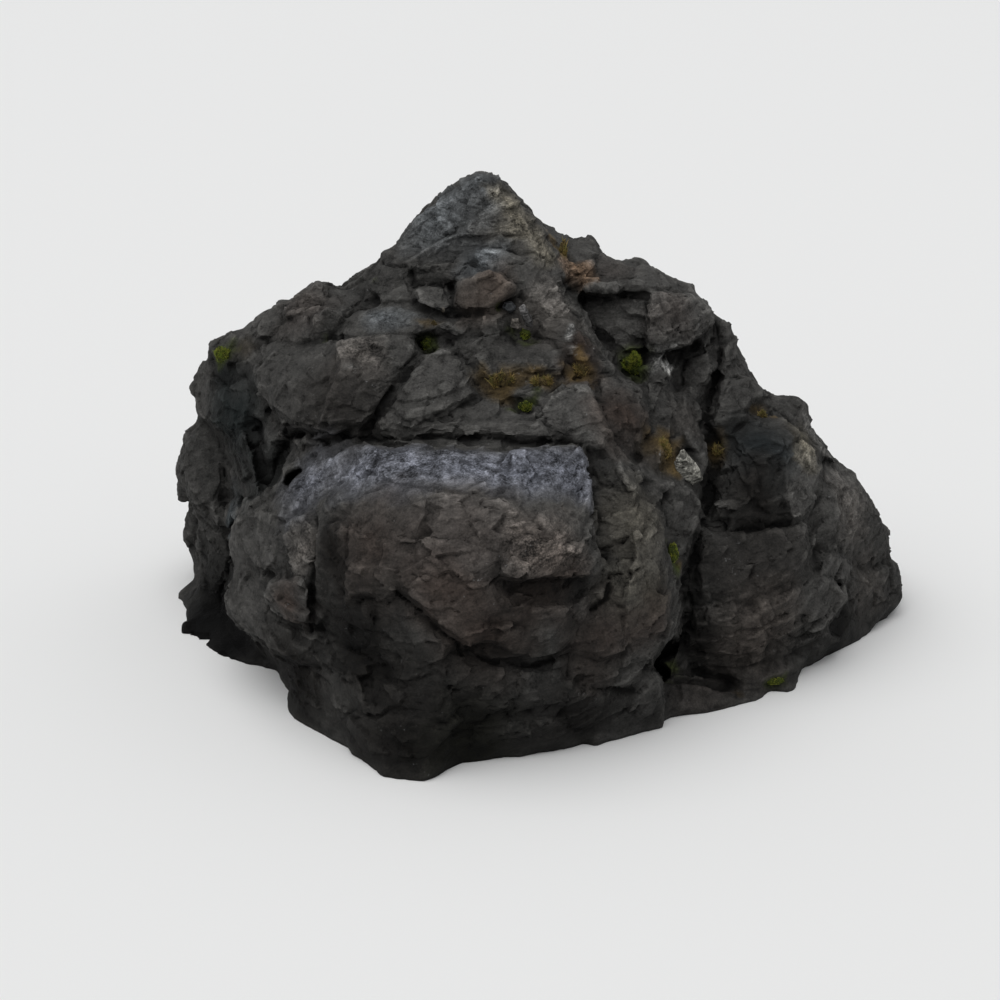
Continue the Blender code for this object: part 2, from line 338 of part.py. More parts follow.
# Lobes right of the boulder
LOBE_BLOCKS = [
    # niche beside the boulder
    ([(0.58, 0.14, -1.26), (0.76, 0.09, -1.28), (0.90, 0.00, -1.32), (0.88, -0.15, -1.44), (0.80, -0.26, -1.52),
      (0.66, -0.34, -1.56), (0.60, -0.20, -1.46)], 0.6),
    # small stone at its foot
    ([(0.68, -0.36, -1.60), (0.80, -0.28, -1.58), (0.84, -0.33, -1.60), (0.72, -0.40, -1.64)], 0.3),
    # tall brown lobe
    ([(0.88, 0.02, -1.32), (1.00, -0.04, -1.24), (1.06, -0.12, -1.22), (1.10, -0.32, -1.26), (1.15, -0.50, -1.28),
      (1.20, -0.66, -1.30), (1.21, -0.78, -1.36), (1.14, -0.92, -1.46), (1.04, -1.02, -1.54), (0.92, -1.00, -1.62),
      (0.78, -0.86, -1.72), (0.76, -0.56, -1.70), (0.84, -0.28, -1.58), (1.00, -0.60, -1.62)], 0.6),
    ([(0.62, -0.40, -1.74), (0.78, -0.36, -1.66), (0.82, -0.56, -1.70), (0.72, -0.66, -1.74), (0.62, -0.72, -1.78),
      (0.54, -0.66, -1.84), (0.56, -0.48, -1.84)], 0.5),
    ([(0.58, -0.74, -1.82), (0.72, -0.68, -1.76), (0.84, -0.80, -1.74), (0.80, -0.94, -1.74), (0.60, -0.98, -1.80),
      (0.46, -0.94, -1.86)], 0.6),
    ([(0.62, -0.92, -1.78), (0.80, -0.90, -1.74), (0.96, -1.02, -1.64), (1.00, -1.14, -1.58), (0.84, -1.20, -1.62),
      (0.66, -1.10, -1.72)], 0.5),
]

# The right boulder and its flank
RIGHT_BOULDER_BLOCKS = [
    # blue-grey head
    ([(1.47, 0.30, -0.44), (1.58, 0.45, -0.38), (1.70, 0.54, -0.30), (1.88, 0.52, -0.24), (1.96, 0.42, -0.24),
      (2.03, 0.32, -0.26), (2.09, 0.16, -0.34), (2.06, 0.00, -0.48), (1.98, -0.10, -0.62), (1.85, -0.13, -0.74),
      (1.64, -0.16, -0.84), (1.50, -0.19, -0.88), (1.42, 0.00, -0.74), (1.44, 0.18, -0.56), (1.75, 0.20, -0.72)], 0.7),
    # top slabs and the smooth slope behind
    ([(1.67, 0.60, -0.14), (1.75, 0.68, 0.00), (1.87, 0.69, 0.04), (1.95, 0.62, 0.06), (2.03, 0.47, 0.06),
      (2.00, 0.42, -0.16), (1.86, 0.53, -0.20), (1.70, 0.555, -0.24)], 0.6),
    ([(2.00, 0.50, 0.04), (2.10, 0.37, 0.10), (2.21, 0.22, 0.10), (2.16, 0.14, -0.14), (2.06, 0.28, -0.20)], 0.6),
    # middle face under the level joint
    ([(1.30, -0.16, -0.92), (1.48, -0.21, -0.88), (1.86, -0.15, -0.76), (2.00, -0.13, -0.66), (2.07, -0.48, -0.80),
      (1.90, -0.58, -0.94), (1.70, -0.68, -1.02), (1.50, -0.72, -1.06), (1.24, -0.62, -1.06), (1.24, -0.36, -1.00)], 0.7),
    ([(2.02, -0.06, -0.54), (2.14, 0.12, -0.30), (2.22, -0.10, -0.34), (2.22, -0.46, -0.52), (2.08, -0.54, -0.80)], 0.6),
    # flank
    ([(2.14, 0.16, -0.20), (2.21, 0.215, 0.00), (2.32, 0.155, 0.06), (2.335, 0.10, 0.06), (2.41, -0.03, 0.08),
      (2.47, -0.16, 0.10), (2.38, -0.32, -0.10), (2.28, -0.52, -0.30), (2.16, -0.40, -0.48), (2.16, -0.05, -0.34)], 0.7),
    ([(2.42, -0.17, 0.14), (2.51, -0.165, 0.24), (2.545, -0.24, 0.24), (2.56, -0.34, 0.24), (2.44, -0.44, 0.04),
      (2.32, -0.50, -0.14), (2.34, -0.30, -0.06)], 0.7),
    ([(2.46, -0.42, 0.10), (2.61, -0.395, 0.30), (2.60, -0.50, 0.30), (2.625, -0.60, 0.30), (2.61, -0.70, 0.30),
      (2.47, -0.76, 0.02), (2.36, -0.82, -0.20), (2.24, -0.76, -0.40), (2.26, -0.52, -0.34)], 0.7),
]

# Blocks that stand on the ground: sighted corners, then the board positions of the foot
STANDING_BLOCKS = [
    # keel of the front boulder
    ([(-1.42, -1.06, -1.16), (-1.00, -1.08, -1.72), (-0.55, -1.04, -1.98), (-0.20, -1.02, -2.00)],
     [(-1.37, -1.39), (-0.96, -1.70), (-0.80, -1.825), (-0.52, -1.835), (-0.32, -1.72)], 1.2),
    ([(-0.30, -1.04, -2.00), (0.10, -1.00, -1.94), (0.40, -0.98, -1.84), (0.70, -1.10, -1.70)],
     [(-0.34, -1.71), (0.02, -1.58), (0.50, -1.56), (0.69, -1.555)], 1.2),
    ([(-0.40, -1.22, -2.02), (-0.10, -1.10, -2.02), (0.30, -1.16, -1.92), (0.70, -1.24, -1.78), (0.30, -1.34, -1.92)],
     [(-0.32, -1.70), (0.02, -1.57), (0.30, -1.555), (0.60, -1.565)], 0.8),
    # low bed along the front foot
    ([(-0.10, -1.44, -2.00), (0.10, -1.41, -1.96), (0.32, -1.40, -1.90), (0.36, -1.46, -1.90)],
     [(-0.10, -1.61), (0.20, -1.57), (0.42, -1.58)], 0.5),
    # foot right of the boulder
    ([(0.60, -1.14, -1.70), (0.98, -1.10, -1.56), (1.04, -1.20, -1.50), (1.04, -1.40, -1.46)],
     [(0.66, -1.57), (0.72, -1.53), (1.00, -1.51), (1.08, -1.485)], 0.9),
    # foot of the right boulder
    ([(1.20, -0.66, -1.10), (1.50, -0.72, -1.08), (1.72, -0.69, -1.04), (1.92, -0.60, -0.96), (2.10, -0.52, -0.80),
      (2.24, -0.64, -0.56), (2.10, -0.86, -0.72)],
     [(1.10, -1.24), (1.50, -1.24), (1.90, -1.14), (2.02, -1.04)], 1.0),
    # low strip in front of it
    ([(1.02, -1.14, -1.24), (1.20, -1.15, -1.20), (1.42, -1.19, -1.16), (1.54, -1.26, -1.12)],
     [(1.02, -1.43), (1.24, -1.39), (1.40, -1.39), (1.52, -1.36), (1.62, -1.33)], 0.7),
    ([(1.44, -1.21, -1.18), (1.60, -1.20, -1.13), (1.76, -1.15, -1.06), (1.93, -1.07, -0.94)],
     [(1.56, -1.35), (1.76, -1.31), (1.91, -1.25), (1.99, -1.19), (1.99, -1.10)], 0.6),
    # underside and foot of the right flank
    ([(2.30, -0.78, -0.20), (2.46, -0.72, 0.06), (2.50, -0.73, 0.14)],
     [(2.06, -1.01), (2.30, -0.94), (2.40, -0.86), (2.53, -0.735)], 0.9),
    ([(2.00, -0.82, -0.64), (2.20, -0.78, -0.38), (2.36, -0.83, -0.18)],
     [(1.94, -1.12), (2.02, -1.04), (2.18, -0.965), (2.30, -0.945), (2.36, -0.90)], 0.9),
    # left apron
    ([(-1.99, -0.62, 0.36), (-1.82, -0.72, 0.06), (-1.62, -0.88, -0.36), (-1.50, -0.98, -0.56)],
     [(-2.12, -0.64), (-2.09, -0.77), (-1.98, -0.93), (-1.84, -1.03), (-1.66, -1.05), (-1.52, -1.13)], 0.6),
    ([(-1.62, -0.86, -0.40), (-1.46, -1.02, -0.74), (-1.38, -1.10, -0.94)],
     [(-1.60, -1.06), (-1.50, -1.14), (-1.43, -1.27), (-1.34, -1.38)], 0.6),
    # foot of the left wall
    ([(-1.99, -0.10, 0.42), (-1.90, -0.10, 0.30), (-1.82, -0.02, 0.20), (-1.96, -0.22, 0.44)],
     [(-2.00, -0.60), (-1.90, -0.70), (-1.80, -0.80), (-1.60, -0.98)], 0.9),
]

# The body of the rock a hand's depth behind those faces, so that no joint opens into a hollow
CORE_BLOCKS = [
    ([(-0.90, 1.35, 0.30), (-0.52, 1.74, 0.42), (-0.12, 1.98, 0.34), (0.26, 1.62, 0.20), (0.90, 1.42, 0.36),
      (1.32, 1.20, 0.22), (0.55, 1.00, -0.06), (0.10, 1.25, -0.20), (-0.05, 1.60, -0.04), (-0.55, 1.25, -0.10),
      (-1.25, 1.22, 0.10)], 0.7),
    ([(-1.62, 0.92, 0.16), (-1.10, 1.10, -0.10), (-0.50, 1.12, -0.30), (0.40, 1.10, -0.34), (1.00, 1.00, -0.10),
      (1.45, 0.80, 0.06), (1.45, 0.35, -0.30), (0.90, 0.10, -0.94), (0.40, 0.34, -0.86), (-0.30, 0.40, -0.80),
      (-0.95, 0.38, -0.60), (-1.45, 0.40, -0.20), (-0.20, 0.75, -0.62)], 1.0),
    ([(-1.90, 0.75, 0.50), (-1.62, 0.85, 0.20), (-1.40, 0.50, -0.14), (-1.40, 0.00, -0.20), (-1.62, -0.20, 0.00),
      (-1.90, -0.10, 0.50), (-1.92, 0.35, 0.46)], 0.9),
    ([(-1.50, -0.10, -0.70), (-1.00, 0.20, -1.16), (0.46, 0.22, -1.40), (0.50, -0.30, -1.66), (0.44, -0.90, -1.70),
      (0.30, -1.20, -1.76), (-0.30, -1.20, -1.86), (-0.62, -0.90, -1.80), (-1.00, -0.90, -1.56), (-1.46, -0.80, -0.98),
      (-0.60, -0.55, -1.93), (-0.40, -0.74, -1.98), (-0.16, -0.84, -1.98), (-0.20, -0.50, -1.96)], 1.2),
    ([(-1.44, -0.14, -0.98), (-1.66, -0.34, -0.80), (-1.70, -0.60, -0.86), (-1.56, -0.84, -1.06), (-1.30, -0.84, -1.44),
      (-1.26, -0.50, -1.46), (-1.34, -0.20, -1.24)], 0.5),
    ([(0.60, 0.10, -1.10), (1.00, 0.05, -0.98), (1.14, -0.10, -0.94), (1.14, -0.70, -1.16), (1.00, -1.00, -1.36),
      (0.70, -1.10, -1.50), (0.60, -0.40, -1.46)], 1.0),
    ([(1.10, 0.20, -0.70), (1.50, 0.25, -0.30), (1.95, 0.40, -0.06), (2.18, 0.08, 0.06), (2.42, -0.25, 0.26),
      (2.48, -0.66, 0.22), (2.10, -0.66, -0.40), (1.80, -0.70, -0.80), (1.20, -0.80, -0.90), (1.16, -0.20, -0.80)], 1.1),
]

# Masses behind the blocks, in world metres: outline points at each level
MASSES = [
    [(-1.95, 0.60, -0.22), (-1.30, -0.80, -0.22), (-0.55, -1.75, -0.22), (0.75, -1.30, -0.22), (1.75, -0.70, -0.22),
     (2.50, 0.30, -0.22), (2.35, 1.30, -0.22), (1.20, 1.95, -0.22), (-0.70, 1.90, -0.22), (-1.80, 1.45, -0.22),
     (-1.75, 0.60, 0.90), (-1.10, -0.60, 1.00), (-0.40, -1.35, 1.00), (0.60, -1.05, 1.00), (1.50, -0.40, 0.90),
     (2.10, 0.40, 0.80), (1.90, 1.10, 0.80), (0.90, 1.65, 0.90), (-0.70, 1.60, 1.00), (-1.60, 1.20, 0.95)],
    [(-1.75, 0.55, 0.80), (-1.10, -0.55, 0.80), (0.10, -0.75, 0.80), (1.00, -0.45, 0.80), (1.80, 0.20, 0.80),
     (1.70, 0.95, 0.80), (0.70, 1.45, 0.80), (-0.80, 1.45, 0.80), (-1.65, 1.10, 0.80), (-1.55, 0.50, 1.75),
     (-1.00, -0.10, 1.85), (0.10, -0.25, 1.95), (0.90, 0.00, 1.85), (1.30, 0.45, 1.70), (0.60, 0.95, 1.90),
     (-0.70, 1.00, 1.90), (-1.40, 0.85, 1.75)],
    [(-1.05, 0.10, 1.70), (0.10, -0.20, 1.70), (0.95, 0.15, 1.70), (0.70, 0.80, 1.70), (-0.60, 0.90, 1.70),
     (-0.50, 0.35, 2.50), (0.15, 0.10, 2.55), (0.70, 0.45, 2.25), (0.10, 0.65, 2.45), (-0.13, 0.38, 2.86)],
]

# Blocks of the back and the far sides: middle, size, then turn, lean and roll, in metres and degrees
BACK_BLOCKS = [
    ((-0.10, 0.56, 2.22), (0.72, 0.50, 0.72), 18, 34, 24),
    ((-0.62, 0.74, 1.84), (0.92, 0.60, 0.62), -20, 22, -24),
    ((0.44, 0.70, 1.90), (0.90, 0.56, 0.70), 26, 28, 32),
    ((1.06, 0.72, 1.46), (0.96, 0.60, 0.60), 38, 20, 28),
    ((-1.24, 0.70, 1.42), (0.70, 0.72, 0.80), -34, 18, -30),
    ((-0.86, 1.10, 1.30), (1.10, 0.62, 0.66), -8, 32, 14),
    ((0.10, 1.06, 1.62), (0.84, 0.70, 0.96), 2, 30, -18),
    ((0.84, 1.14, 1.14), (0.90, 0.66, 1.04), 26, 26, -12),
    ((1.48, 0.84, 0.88), (0.62, 0.84, 0.86), 48, 18, 14),
    ((-1.50, 0.92, 0.84), (0.64, 0.86, 0.96), -42, 12, -10),
    ((-1.02, 1.40, 0.80), (0.76, 0.62, 1.04), -30, 18, 26),
    ((-0.26, 1.50, 0.90), (1.18, 0.62, 0.62), 8, 28, -10),
    ((0.50, 1.52, 0.62), (0.72, 0.66, 1.26), 14, 18, 20),
    ((1.30, 1.28, 0.56), (1.02, 0.64, 0.74), 40, 22, -20),
    ((2.00, 0.86, 0.46), (0.60, 0.84, 0.84), 62, 12, 18),
    ((-1.78, 1.14, 0.30), (0.70, 0.76, 0.74), -50, 10, 12),
    ((-1.16, 1.62, 0.24), (0.94, 0.50, 0.72), -24, 14, -14),
    ((-0.24, 1.74, 0.30), (1.12, 0.56, 0.86), 6, 16, 10),
    ((0.84, 1.66, 0.18), (1.06, 0.60, 0.66), 12, 12, -16),
    ((1.70, 1.24, 0.16), (0.90, 0.62, 0.70), 46, 10, 10),
    ((2.26, 0.66, 0.08), (0.46, 0.78, 0.60), 72, 8, 6),
]


# Open joints and bedding cracks: the line on the board, then the width and depth of the gap
JOINTS = [
    # behind the crown of the boulder and down its left side
    ([(-1.52, 0.10), (-1.36, 0.42), (-1.20, 0.43), (-0.90, 0.41), (-0.60, 0.395), (-0.30, 0.41), (0.00, 0.40),
      (0.12, 0.37), (0.34, 0.375), (0.50, 0.375)], 0.050, 0.14),
    ([(-1.78, -0.20), (-1.66, -0.01), (-1.50, 0.07), (-1.34, 0.17), (-1.20, 0.26), (-1.06, 0.33), (-0.90, 0.39)],
     0.055, 0.12),
    ([(-1.80, -0.25), (-1.76, -0.36), (-1.78, -0.50), (-1.83, -0.60), (-1.82, -0.72), (-1.70, -0.88), (-1.56, -1.00),
      (-1.42, -1.14), (-1.34, -1.28)], 0.050, 0.08),
    # the boulder
    ([(-0.68, -0.60), (-0.50, -0.74), (-0.40, -0.84), (-0.30, -0.92), (-0.25, -1.00)], 0.050, 0.08),
    ([(-0.30, -0.93), (-0.05, -1.05), (0.20, -1.08), (0.46, -1.00)], 0.050, 0.07),
    ([(-0.02, -0.36), (-0.02, -0.52), (0.10, -0.53), (0.32, -0.52), (0.54, -0.52)], 0.050, 0.08),
    ([(0.52, 0.37), (0.56, 0.24), (0.60, 0.10), (0.60, -0.22), (0.62, -0.32), (0.71, -0.41)], 0.055, 0.13),
    ([(0.72, -0.55), (0.70, -0.64), (0.60, -0.72)], 0.045, 0.07),
    ([(0.50, -0.74), (0.52, -0.90), (0.42, -1.02)], 0.045, 0.06),
    ([(-1.20, -0.12), (-1.22, -0.34), (-1.22, -0.58), (-1.22, -0.84)], 0.050, 0.08),
    ([(-1.02, -0.13), (-1.00, -0.36), (-0.99, -0.58), (-1.08, -0.72)], 0.050, 0.08),
    ([(-1.60, -0.14), (-1.55, -0.26), (-1.64, -0.42), (-1.74, -0.45)], 0.045, 0.035),
    ([(-1.54, -0.46), (-1.55, -0.62), (-1.49, -0.78), (-1.55, -0.95)], 0.045, 0.035),
    ([(-1.23, -0.50), (-1.36, -0.51), (-1.52, -0.46)], 0.040, 0.06),
    ([(-1.50, -0.78), (-1.34, -0.84), (-1.20, -0.84), (-1.00, -0.95), (-0.80, -1.04), (-0.60, -1.09)], 0.045, 0.07),
    ([(-0.15, -1.44), (0.00, -1.43), (0.20, -1.38), (0.36, -1.37)], 0.050, 0.06),
    ([(0.62, -1.23), (0.86, -1.24)], 0.050, 0.07),
    ([(0.94, -1.10), (1.04, -1.02)], 0.050, 0.07),
    # lobes and buttress
    ([(1.36, 0.12), (1.38, 0.04), (1.33, -0.10), (1.31, -0.20), (1.27, -0.30), (1.23, -0.45), (1.21, -0.55),
      (1.24, -0.70), (1.22, -0.82), (1.14, -0.94), (1.05, -1.05)], 0.060, 0.13),
    ([(0.60, -0.33), (0.80, -0.27)], 0.045, 0.07),
    ([(0.88, 0.00), (0.86, -0.16), (0.84, -0.30), (0.78, -0.44)], 0.045, 0.07),
    ([(0.93, 0.80), (0.96, 0.65), (0.98, 0.52), (0.96, 0.38), (0.90, 0.26)], 0.055, 0.10),
    ([(0.60, 0.82), (0.64, 0.66), (0.72, 0.46), (0.82, 0.30)], 0.050, 0.08),
    ([(0.24, 0.58), (0.42, 0.56), (0.54, 0.48), (0.58, 0.30)], 0.045, 0.07),
    ([(0.22, 0.64), (0.38, 0.78), (0.58, 0.80)], 0.045, 0.07),
    ([(0.93, 0.03), (1.04, -0.02), (1.12, 0.04), (1.22, 0.02)], 0.045, 0.07),
    # gully and right flank
    ([(1.40, 1.24), (1.43, 1.04), (1.42, 0.88), (1.36, 0.66), (1.34, 0.50), (1.42, 0.34), (1.42, 0.18),
      (1.40, 0.00), (1.38, -0.14)], 0.060, 0.13),
    ([(1.14, 0.80), (1.13, 0.64), (1.12, 0.46), (1.14, 0.32)], 0.050, 0.10),
    ([(0.95, 0.68), (1.06, 0.72), (1.14, 0.80), (1.20, 0.72)], 0.045, 0.08),
    ([(1.39, 1.06), (1.33, 0.97), (1.21, 0.93), (1.19, 0.76)], 0.045, 0.08),
    ([(1.44, 0.90), (1.60, 0.86), (1.70, 0.72)], 0.045, 0.06),
    # right boulder
    ([(1.40, -0.16), (1.50, -0.195), (1.62, -0.185), (1.88, -0.145), (2.00, -0.125)], 0.060, 0.09),
    ([(1.58, 0.02), (1.73, -0.12)], 0.040, 0.05),
    ([(1.34, -0.70), (1.60, -0.71), (1.76, -0.65), (1.88, -0.59), (2.08, -0.49)], 0.055, 0.08),
    ([(2.02, 0.36), (2.10, 0.16), (2.06, -0.04), (2.08, -0.30), (2.10, -0.52)], 0.050, 0.07),
    ([(2.32, -0.40), (2.44, -0.44), (2.62, -0.385)], 0.055, 0.10),
    ([(1.64, 0.56), (1.80, 0.57), (1.98, 0.47)], 0.050, 0.07),
    ([(1.02, -1.12), (1.15, -1.13), (1.32, -1.14), (1.47, -1.18), (1.58, -1.24), (1.76, -1.22), (1.92, -1.15)],
     0.060, 0.14),
    ([(2.02, -0.92), (2.12, -0.82), (2.24, -0.72), (2.26, -0.54)], 0.045, 0.06),
    # upper right
    ([(0.94, 0.92), (1.08, 0.94), (1.22, 0.99), (1.33, 1.06), (1.40, 1.14)], 0.055, 0.11),
    ([(0.95, 0.94), (0.95, 1.12), (0.96, 1.32)], 0.045, 0.08),
    ([(0.45, 1.32), (0.62, 1.32), (0.80, 1.32), (0.95, 1.31)], 0.050, 0.10),
    ([(1.06, 1.39), (1.16, 1.355), (1.26, 1.37), (1.36, 1.30)], 0.040, 0.06),
    ([(0.42, 1.435), (0.62, 1.44), (0.88, 1.43)], 0.040, 0.06),
    ([(0.64, 1.60), (0.62, 1.45)], 0.035, 0.05),
    ([(0.36, 1.50), (0.45, 1.39), (0.54, 1.23), (0.66, 1.06), (0.78, 0.92), (0.86, 0.82)], 0.055, 0.11),
    ([(0.40, 1.40), (0.50, 1.20), (0.60, 1.04), (0.72, 0.88)], 0.035, 0.04),
    # peak
    ([(-0.54, 1.60), (-0.30, 1.655), (-0.05, 1.655), (0.13, 1.595), (0.26, 1.595)], 0.045, 0.08),
    ([(-0.62, 1.67), (-0.40, 1.70), (-0.12, 1.71), (0.10, 1.715)], 0.035, 0.04),
    ([(-0.29, 1.60), (-0.29, 1.44), (-0.30, 1.24)], 0.050, 0.10),
    ([(-0.22, 1.56), (-0.14, 1.48), (-0.04, 1.50), (0.09, 1.38), (0.12, 1.33)], 0.045, 0.09),
    ([(-0.56, 1.29), (-0.36, 1.20), (-0.20, 1.21), (-0.08, 1.215), (0.02, 1.25), (0.12, 1.32)], 0.050, 0.10),
    ([(-0.78, 1.56), (-0.70, 1.52), (-0.60, 1.53), (-0.56, 1.42), (-0.42, 1.42), (-0.31, 1.45)], 0.050, 0.10),
    ([(-0.60, 1.44), (-0.58, 1.28), (-0.66, 1.26)], 0.045, 0.08),
    # ledge of loose stones
    ([(-0.17, 1.21), (-0.18, 1.07)], 0.040, 0.08),
    ([(0.07, 1.23), (0.08, 1.14), (0.05, 1.09)], 0.040, 0.08),
    ([(0.22, 1.20), (0.26, 1.10), (0.22, 1.04)], 0.045, 0.09),
    ([(0.22, 1.05), (0.36, 1.04), (0.44, 0.92), (0.50, 0.83), (0.62, 0.80)], 0.045, 0.08),
    # left shoulder
    ([(-1.10, 1.06), (-0.98, 1.22), (-0.82, 1.25), (-0.68, 1.275), (-0.50, 1.225)], 0.045, 0.09),
    ([(-1.44, 0.99), (-1.20, 1.05), (-1.05, 1.06), (-0.85, 1.085), (-0.62, 1.09), (-0.46, 1.06), (-0.36, 1.07)],
     0.055, 0.11),
    ([(-1.24, 1.10), (-1.22, 1.22), (-1.12, 1.27), (-1.00, 1.235)], 0.045, 0.08),
    ([(-1.40, 1.24), (-1.42, 1.08), (-1.56, 1.02)], 0.045, 0.08),
    ([(-1.14, 1.40), (-1.15, 1.27)], 0.040, 0.06),
    ([(-0.86, 1.36), (-0.78, 1.25)], 0.040, 0.06),
    # middle band
    ([(-0.50, 1.00), (-0.60, 0.85), (-0.72, 0.69), (-0.80, 0.56), (-0.85, 0.43)], 0.050, 0.10),
    ([(-1.62, 0.84), (-1.55, 0.68), (-1.45, 0.55), (-1.36, 0.44)], 0.055, 0.10),
    ([(-0.34, 1.04), (-0.20, 0.90), (-0.13, 0.78), (-0.08, 0.68), (-0.28, 0.57), (-0.40, 0.53)], 0.045, 0.08),
    ([(-0.14, 0.77), (0.00, 0.74), (0.20, 0.79), (0.42, 0.82)], 0.045, 0.08),
    ([(0.14, 1.02), (0.17, 0.88), (0.16, 0.78)], 0.040, 0.06),
    ([(-0.34, 1.05), (-0.10, 1.085), (0.10, 1.075), (0.22, 1.04)], 0.045, 0.09),
    ([(0.00, 0.71), (0.12, 0.60), (0.24, 0.55), (0.32, 0.46), (0.40, 0.40)], 0.045, 0.07),
    # left wall
    ([(-1.92, 0.59), (-1.87, 0.74), (-1.72, 0.79), (-1.60, 0.87)], 0.050, 0.09),
    ([(-1.92, 0.48), (-1.85, 0.42), (-1.80, 0.28), (-1.83, 0.06)], 0.050, 0.09),
    ([(-1.60, 0.50), (-1.57, 0.30), (-1.49, 0.06)], 0.050, 0.09),
    ([(-1.92, -0.12), (-1.80, 0.02), (-1.66, 0.02)], 0.050, 0.09),
    ([(-1.91, 0.90), (-1.76, 0.88), (-1.64, 0.89), (-1.54, 0.96)], 0.040, 0.06),
]


def back_block(bm, index, middle, size, turn, lean, roll):
    """A joint-bounded block with its corners knocked off, leaning back into the rock."""
    noise.seed_set(40 + index)
    place = (
        Matrix.Translation(Vector(middle))
        @ Matrix.Rotation(math.radians(-turn), 4, "Z")
        @ Matrix.Rotation(math.radians(lean), 4, "X")
        @ Matrix.Rotation(math.radians(roll), 4, "Y")
    )
    points = []
    for sx in (-1, 1):
        for sy in (-1, 1):
            for sz in (-1, 1):
                for axis in range(3):
                    knocked = Vector((sx, sy, sz)) * 0.5
                    knocked[axis] *= 0.80 - 0.55 * noise.random()
                    points.append(place @ Vector(k * s for k, s in zip(knocked, size)))
    hull(bm, points)


def bedding(point):
    """How far the surface steps back at this point, from the thin beds that the rock splits along."""
    warp = noise.noise(point * 1.1) * 0.09 + noise.noise(point * 3.1) * 0.025
    level = (point.dot(BED_NORMAL) + warp) / BED_STEP
    within = level - math.floor(level)
    return BED_DEPTH * (within**3 - 0.25) * (0.5 + noise.noise(point * 0.9 + Vector((7, 3, 1))))


def facets(point, size, tilt):
    """How far a broken facet stands out at this point: every cell of rock is a flat chip with its own tilt."""
    warp = noise.noise_vector(point * (0.8 / size)) * 0.25
    cell = Vector((point.x, point.y, point.z * 1.5)) / size + warp + FACET_PATTERN
    centre = noise.voronoi(cell)[1][0]
    lean = noise.noise_vector(centre * 3.7) * 1.6
    return tilt * size * ((cell - centre).dot(lean) + 0.6 * noise.noise(centre * 5.3))


def on_board(point):
    """Where on the board this point is seen."""
    ray = point - station
    reach = (BOARD_CENTRE - station).dot(toward) / ray.dot(toward)
    seen = station + ray * reach - BOARD_CENTRE
    return Vector((seen.dot(right), seen.dot(up)))


def joint_depth(seen, jitter):
    """How deep the open joints cut at this board position. The lines wander by the jitter."""
    deepest = 0.0
    seen = seen + jitter
    for line, width, depth in joint_lines:
        if not (line[0][0] < seen.x < line[0][2] and line[0][1] < seen.y < line[0][3]):
            continue
        for start, end in line[1]:
            along = end - start
            part = max(0.0, min(1.0, (seen - start).dot(along) / along.length_squared))
            off = (seen - start - along * part).length / width
            if off < 1.0:
                deepest = max(deepest, depth * (1.0 - off**1.6))
    return deepest


def prepare_joints():
    """Each joint as its box on the board and its straight runs."""
    lines = []
    for points, width, depth in JOINTS:
        corners = [Vector(p) for p in points]
        box = (
            min(c.x for c in corners) - width, min(c.y for c in corners) - width,
            max(c.x for c in corners) + width, max(c.y for c in corners) + width,
        )
        lines.append(((box, list(zip(corners, corners[1:]))), width, depth))
    return lines


def roughen(bm):
    """Lumps, broken facets and bed edges everywhere, then the open joints where the front is in sight."""
    bm.normal_update()
    moves = []
    for v in bm.verts:
        lump = noise.noise(v.co / LUMP_SIZE) + 0.4 * noise.noise(v.co * (2.2 / LUMP_SIZE))
        move = LUMP_HEIGHT * lump + bedding(v.co) - WORN_BACK
        for size, tilt in zip(FACET_SIZES, FACET_TILTS):
            move += facets(v.co, size, tilt)
        moves.append(v.co + v.normal * move)
    for v, place in zip(bm.verts, moves):
        v.co = place
    bm.normal_update()
    tree = BVHTree.FromBMesh(bm)
    moves = []
    for v in bm.verts:
        ray = (v.co - station).normalized()
        depth = 0.0
        if v.normal.dot(ray) < -0.08:
            seen = on_board(v.co)
            wander = noise.noise_vector(v.co * 4.0) * 0.018
            depth = joint_depth(seen, Vector((wander.x, wander.y)))
        if depth:
            hit = tree.ray_cast(station, ray)[3]
            if hit is not None and hit > (v.co - station).length - 3 * VOXEL:
                moves.append((v, v.co + (ray - v.normal).normalized() * depth))
    for v, place in moves:
        v.co = place


def evaluated_mesh(obj, modifier_type, **settings):
    """obj's mesh after one modifier, which isn't kept."""
    modifier = obj.modifiers.new(modifier_type.title(), modifier_type)
    for name, value in settings.items():
        setattr(modifier, name, value)
    mesh = bpy.data.meshes.new_from_object(obj.evaluated_get(bpy.context.evaluated_depsgraph_get()))
    obj.modifiers.remove(modifier)
    return mesh


def cut_flat(bm, height):
    """Cuts everything below this height away and closes the cut with one level face."""
    geom = bm.verts[:] + bm.edges[:] + bm.faces[:]
    cut = bmesh.ops.bisect_plane(
        bm, geom=geom, plane_co=(0, 0, height), plane_no=(0, 0, -1), clear_outer=True
    )
    rim = [e for e in cut["geom_cut"] if isinstance(e, bmesh.types.BMEdge)]
    bmesh.ops.triangle_fill(bm, edges=rim, normal=(0, 0, -1), use_beauty=True)
    bmesh.ops.recalc_face_normals(bm, faces=bm.faces)


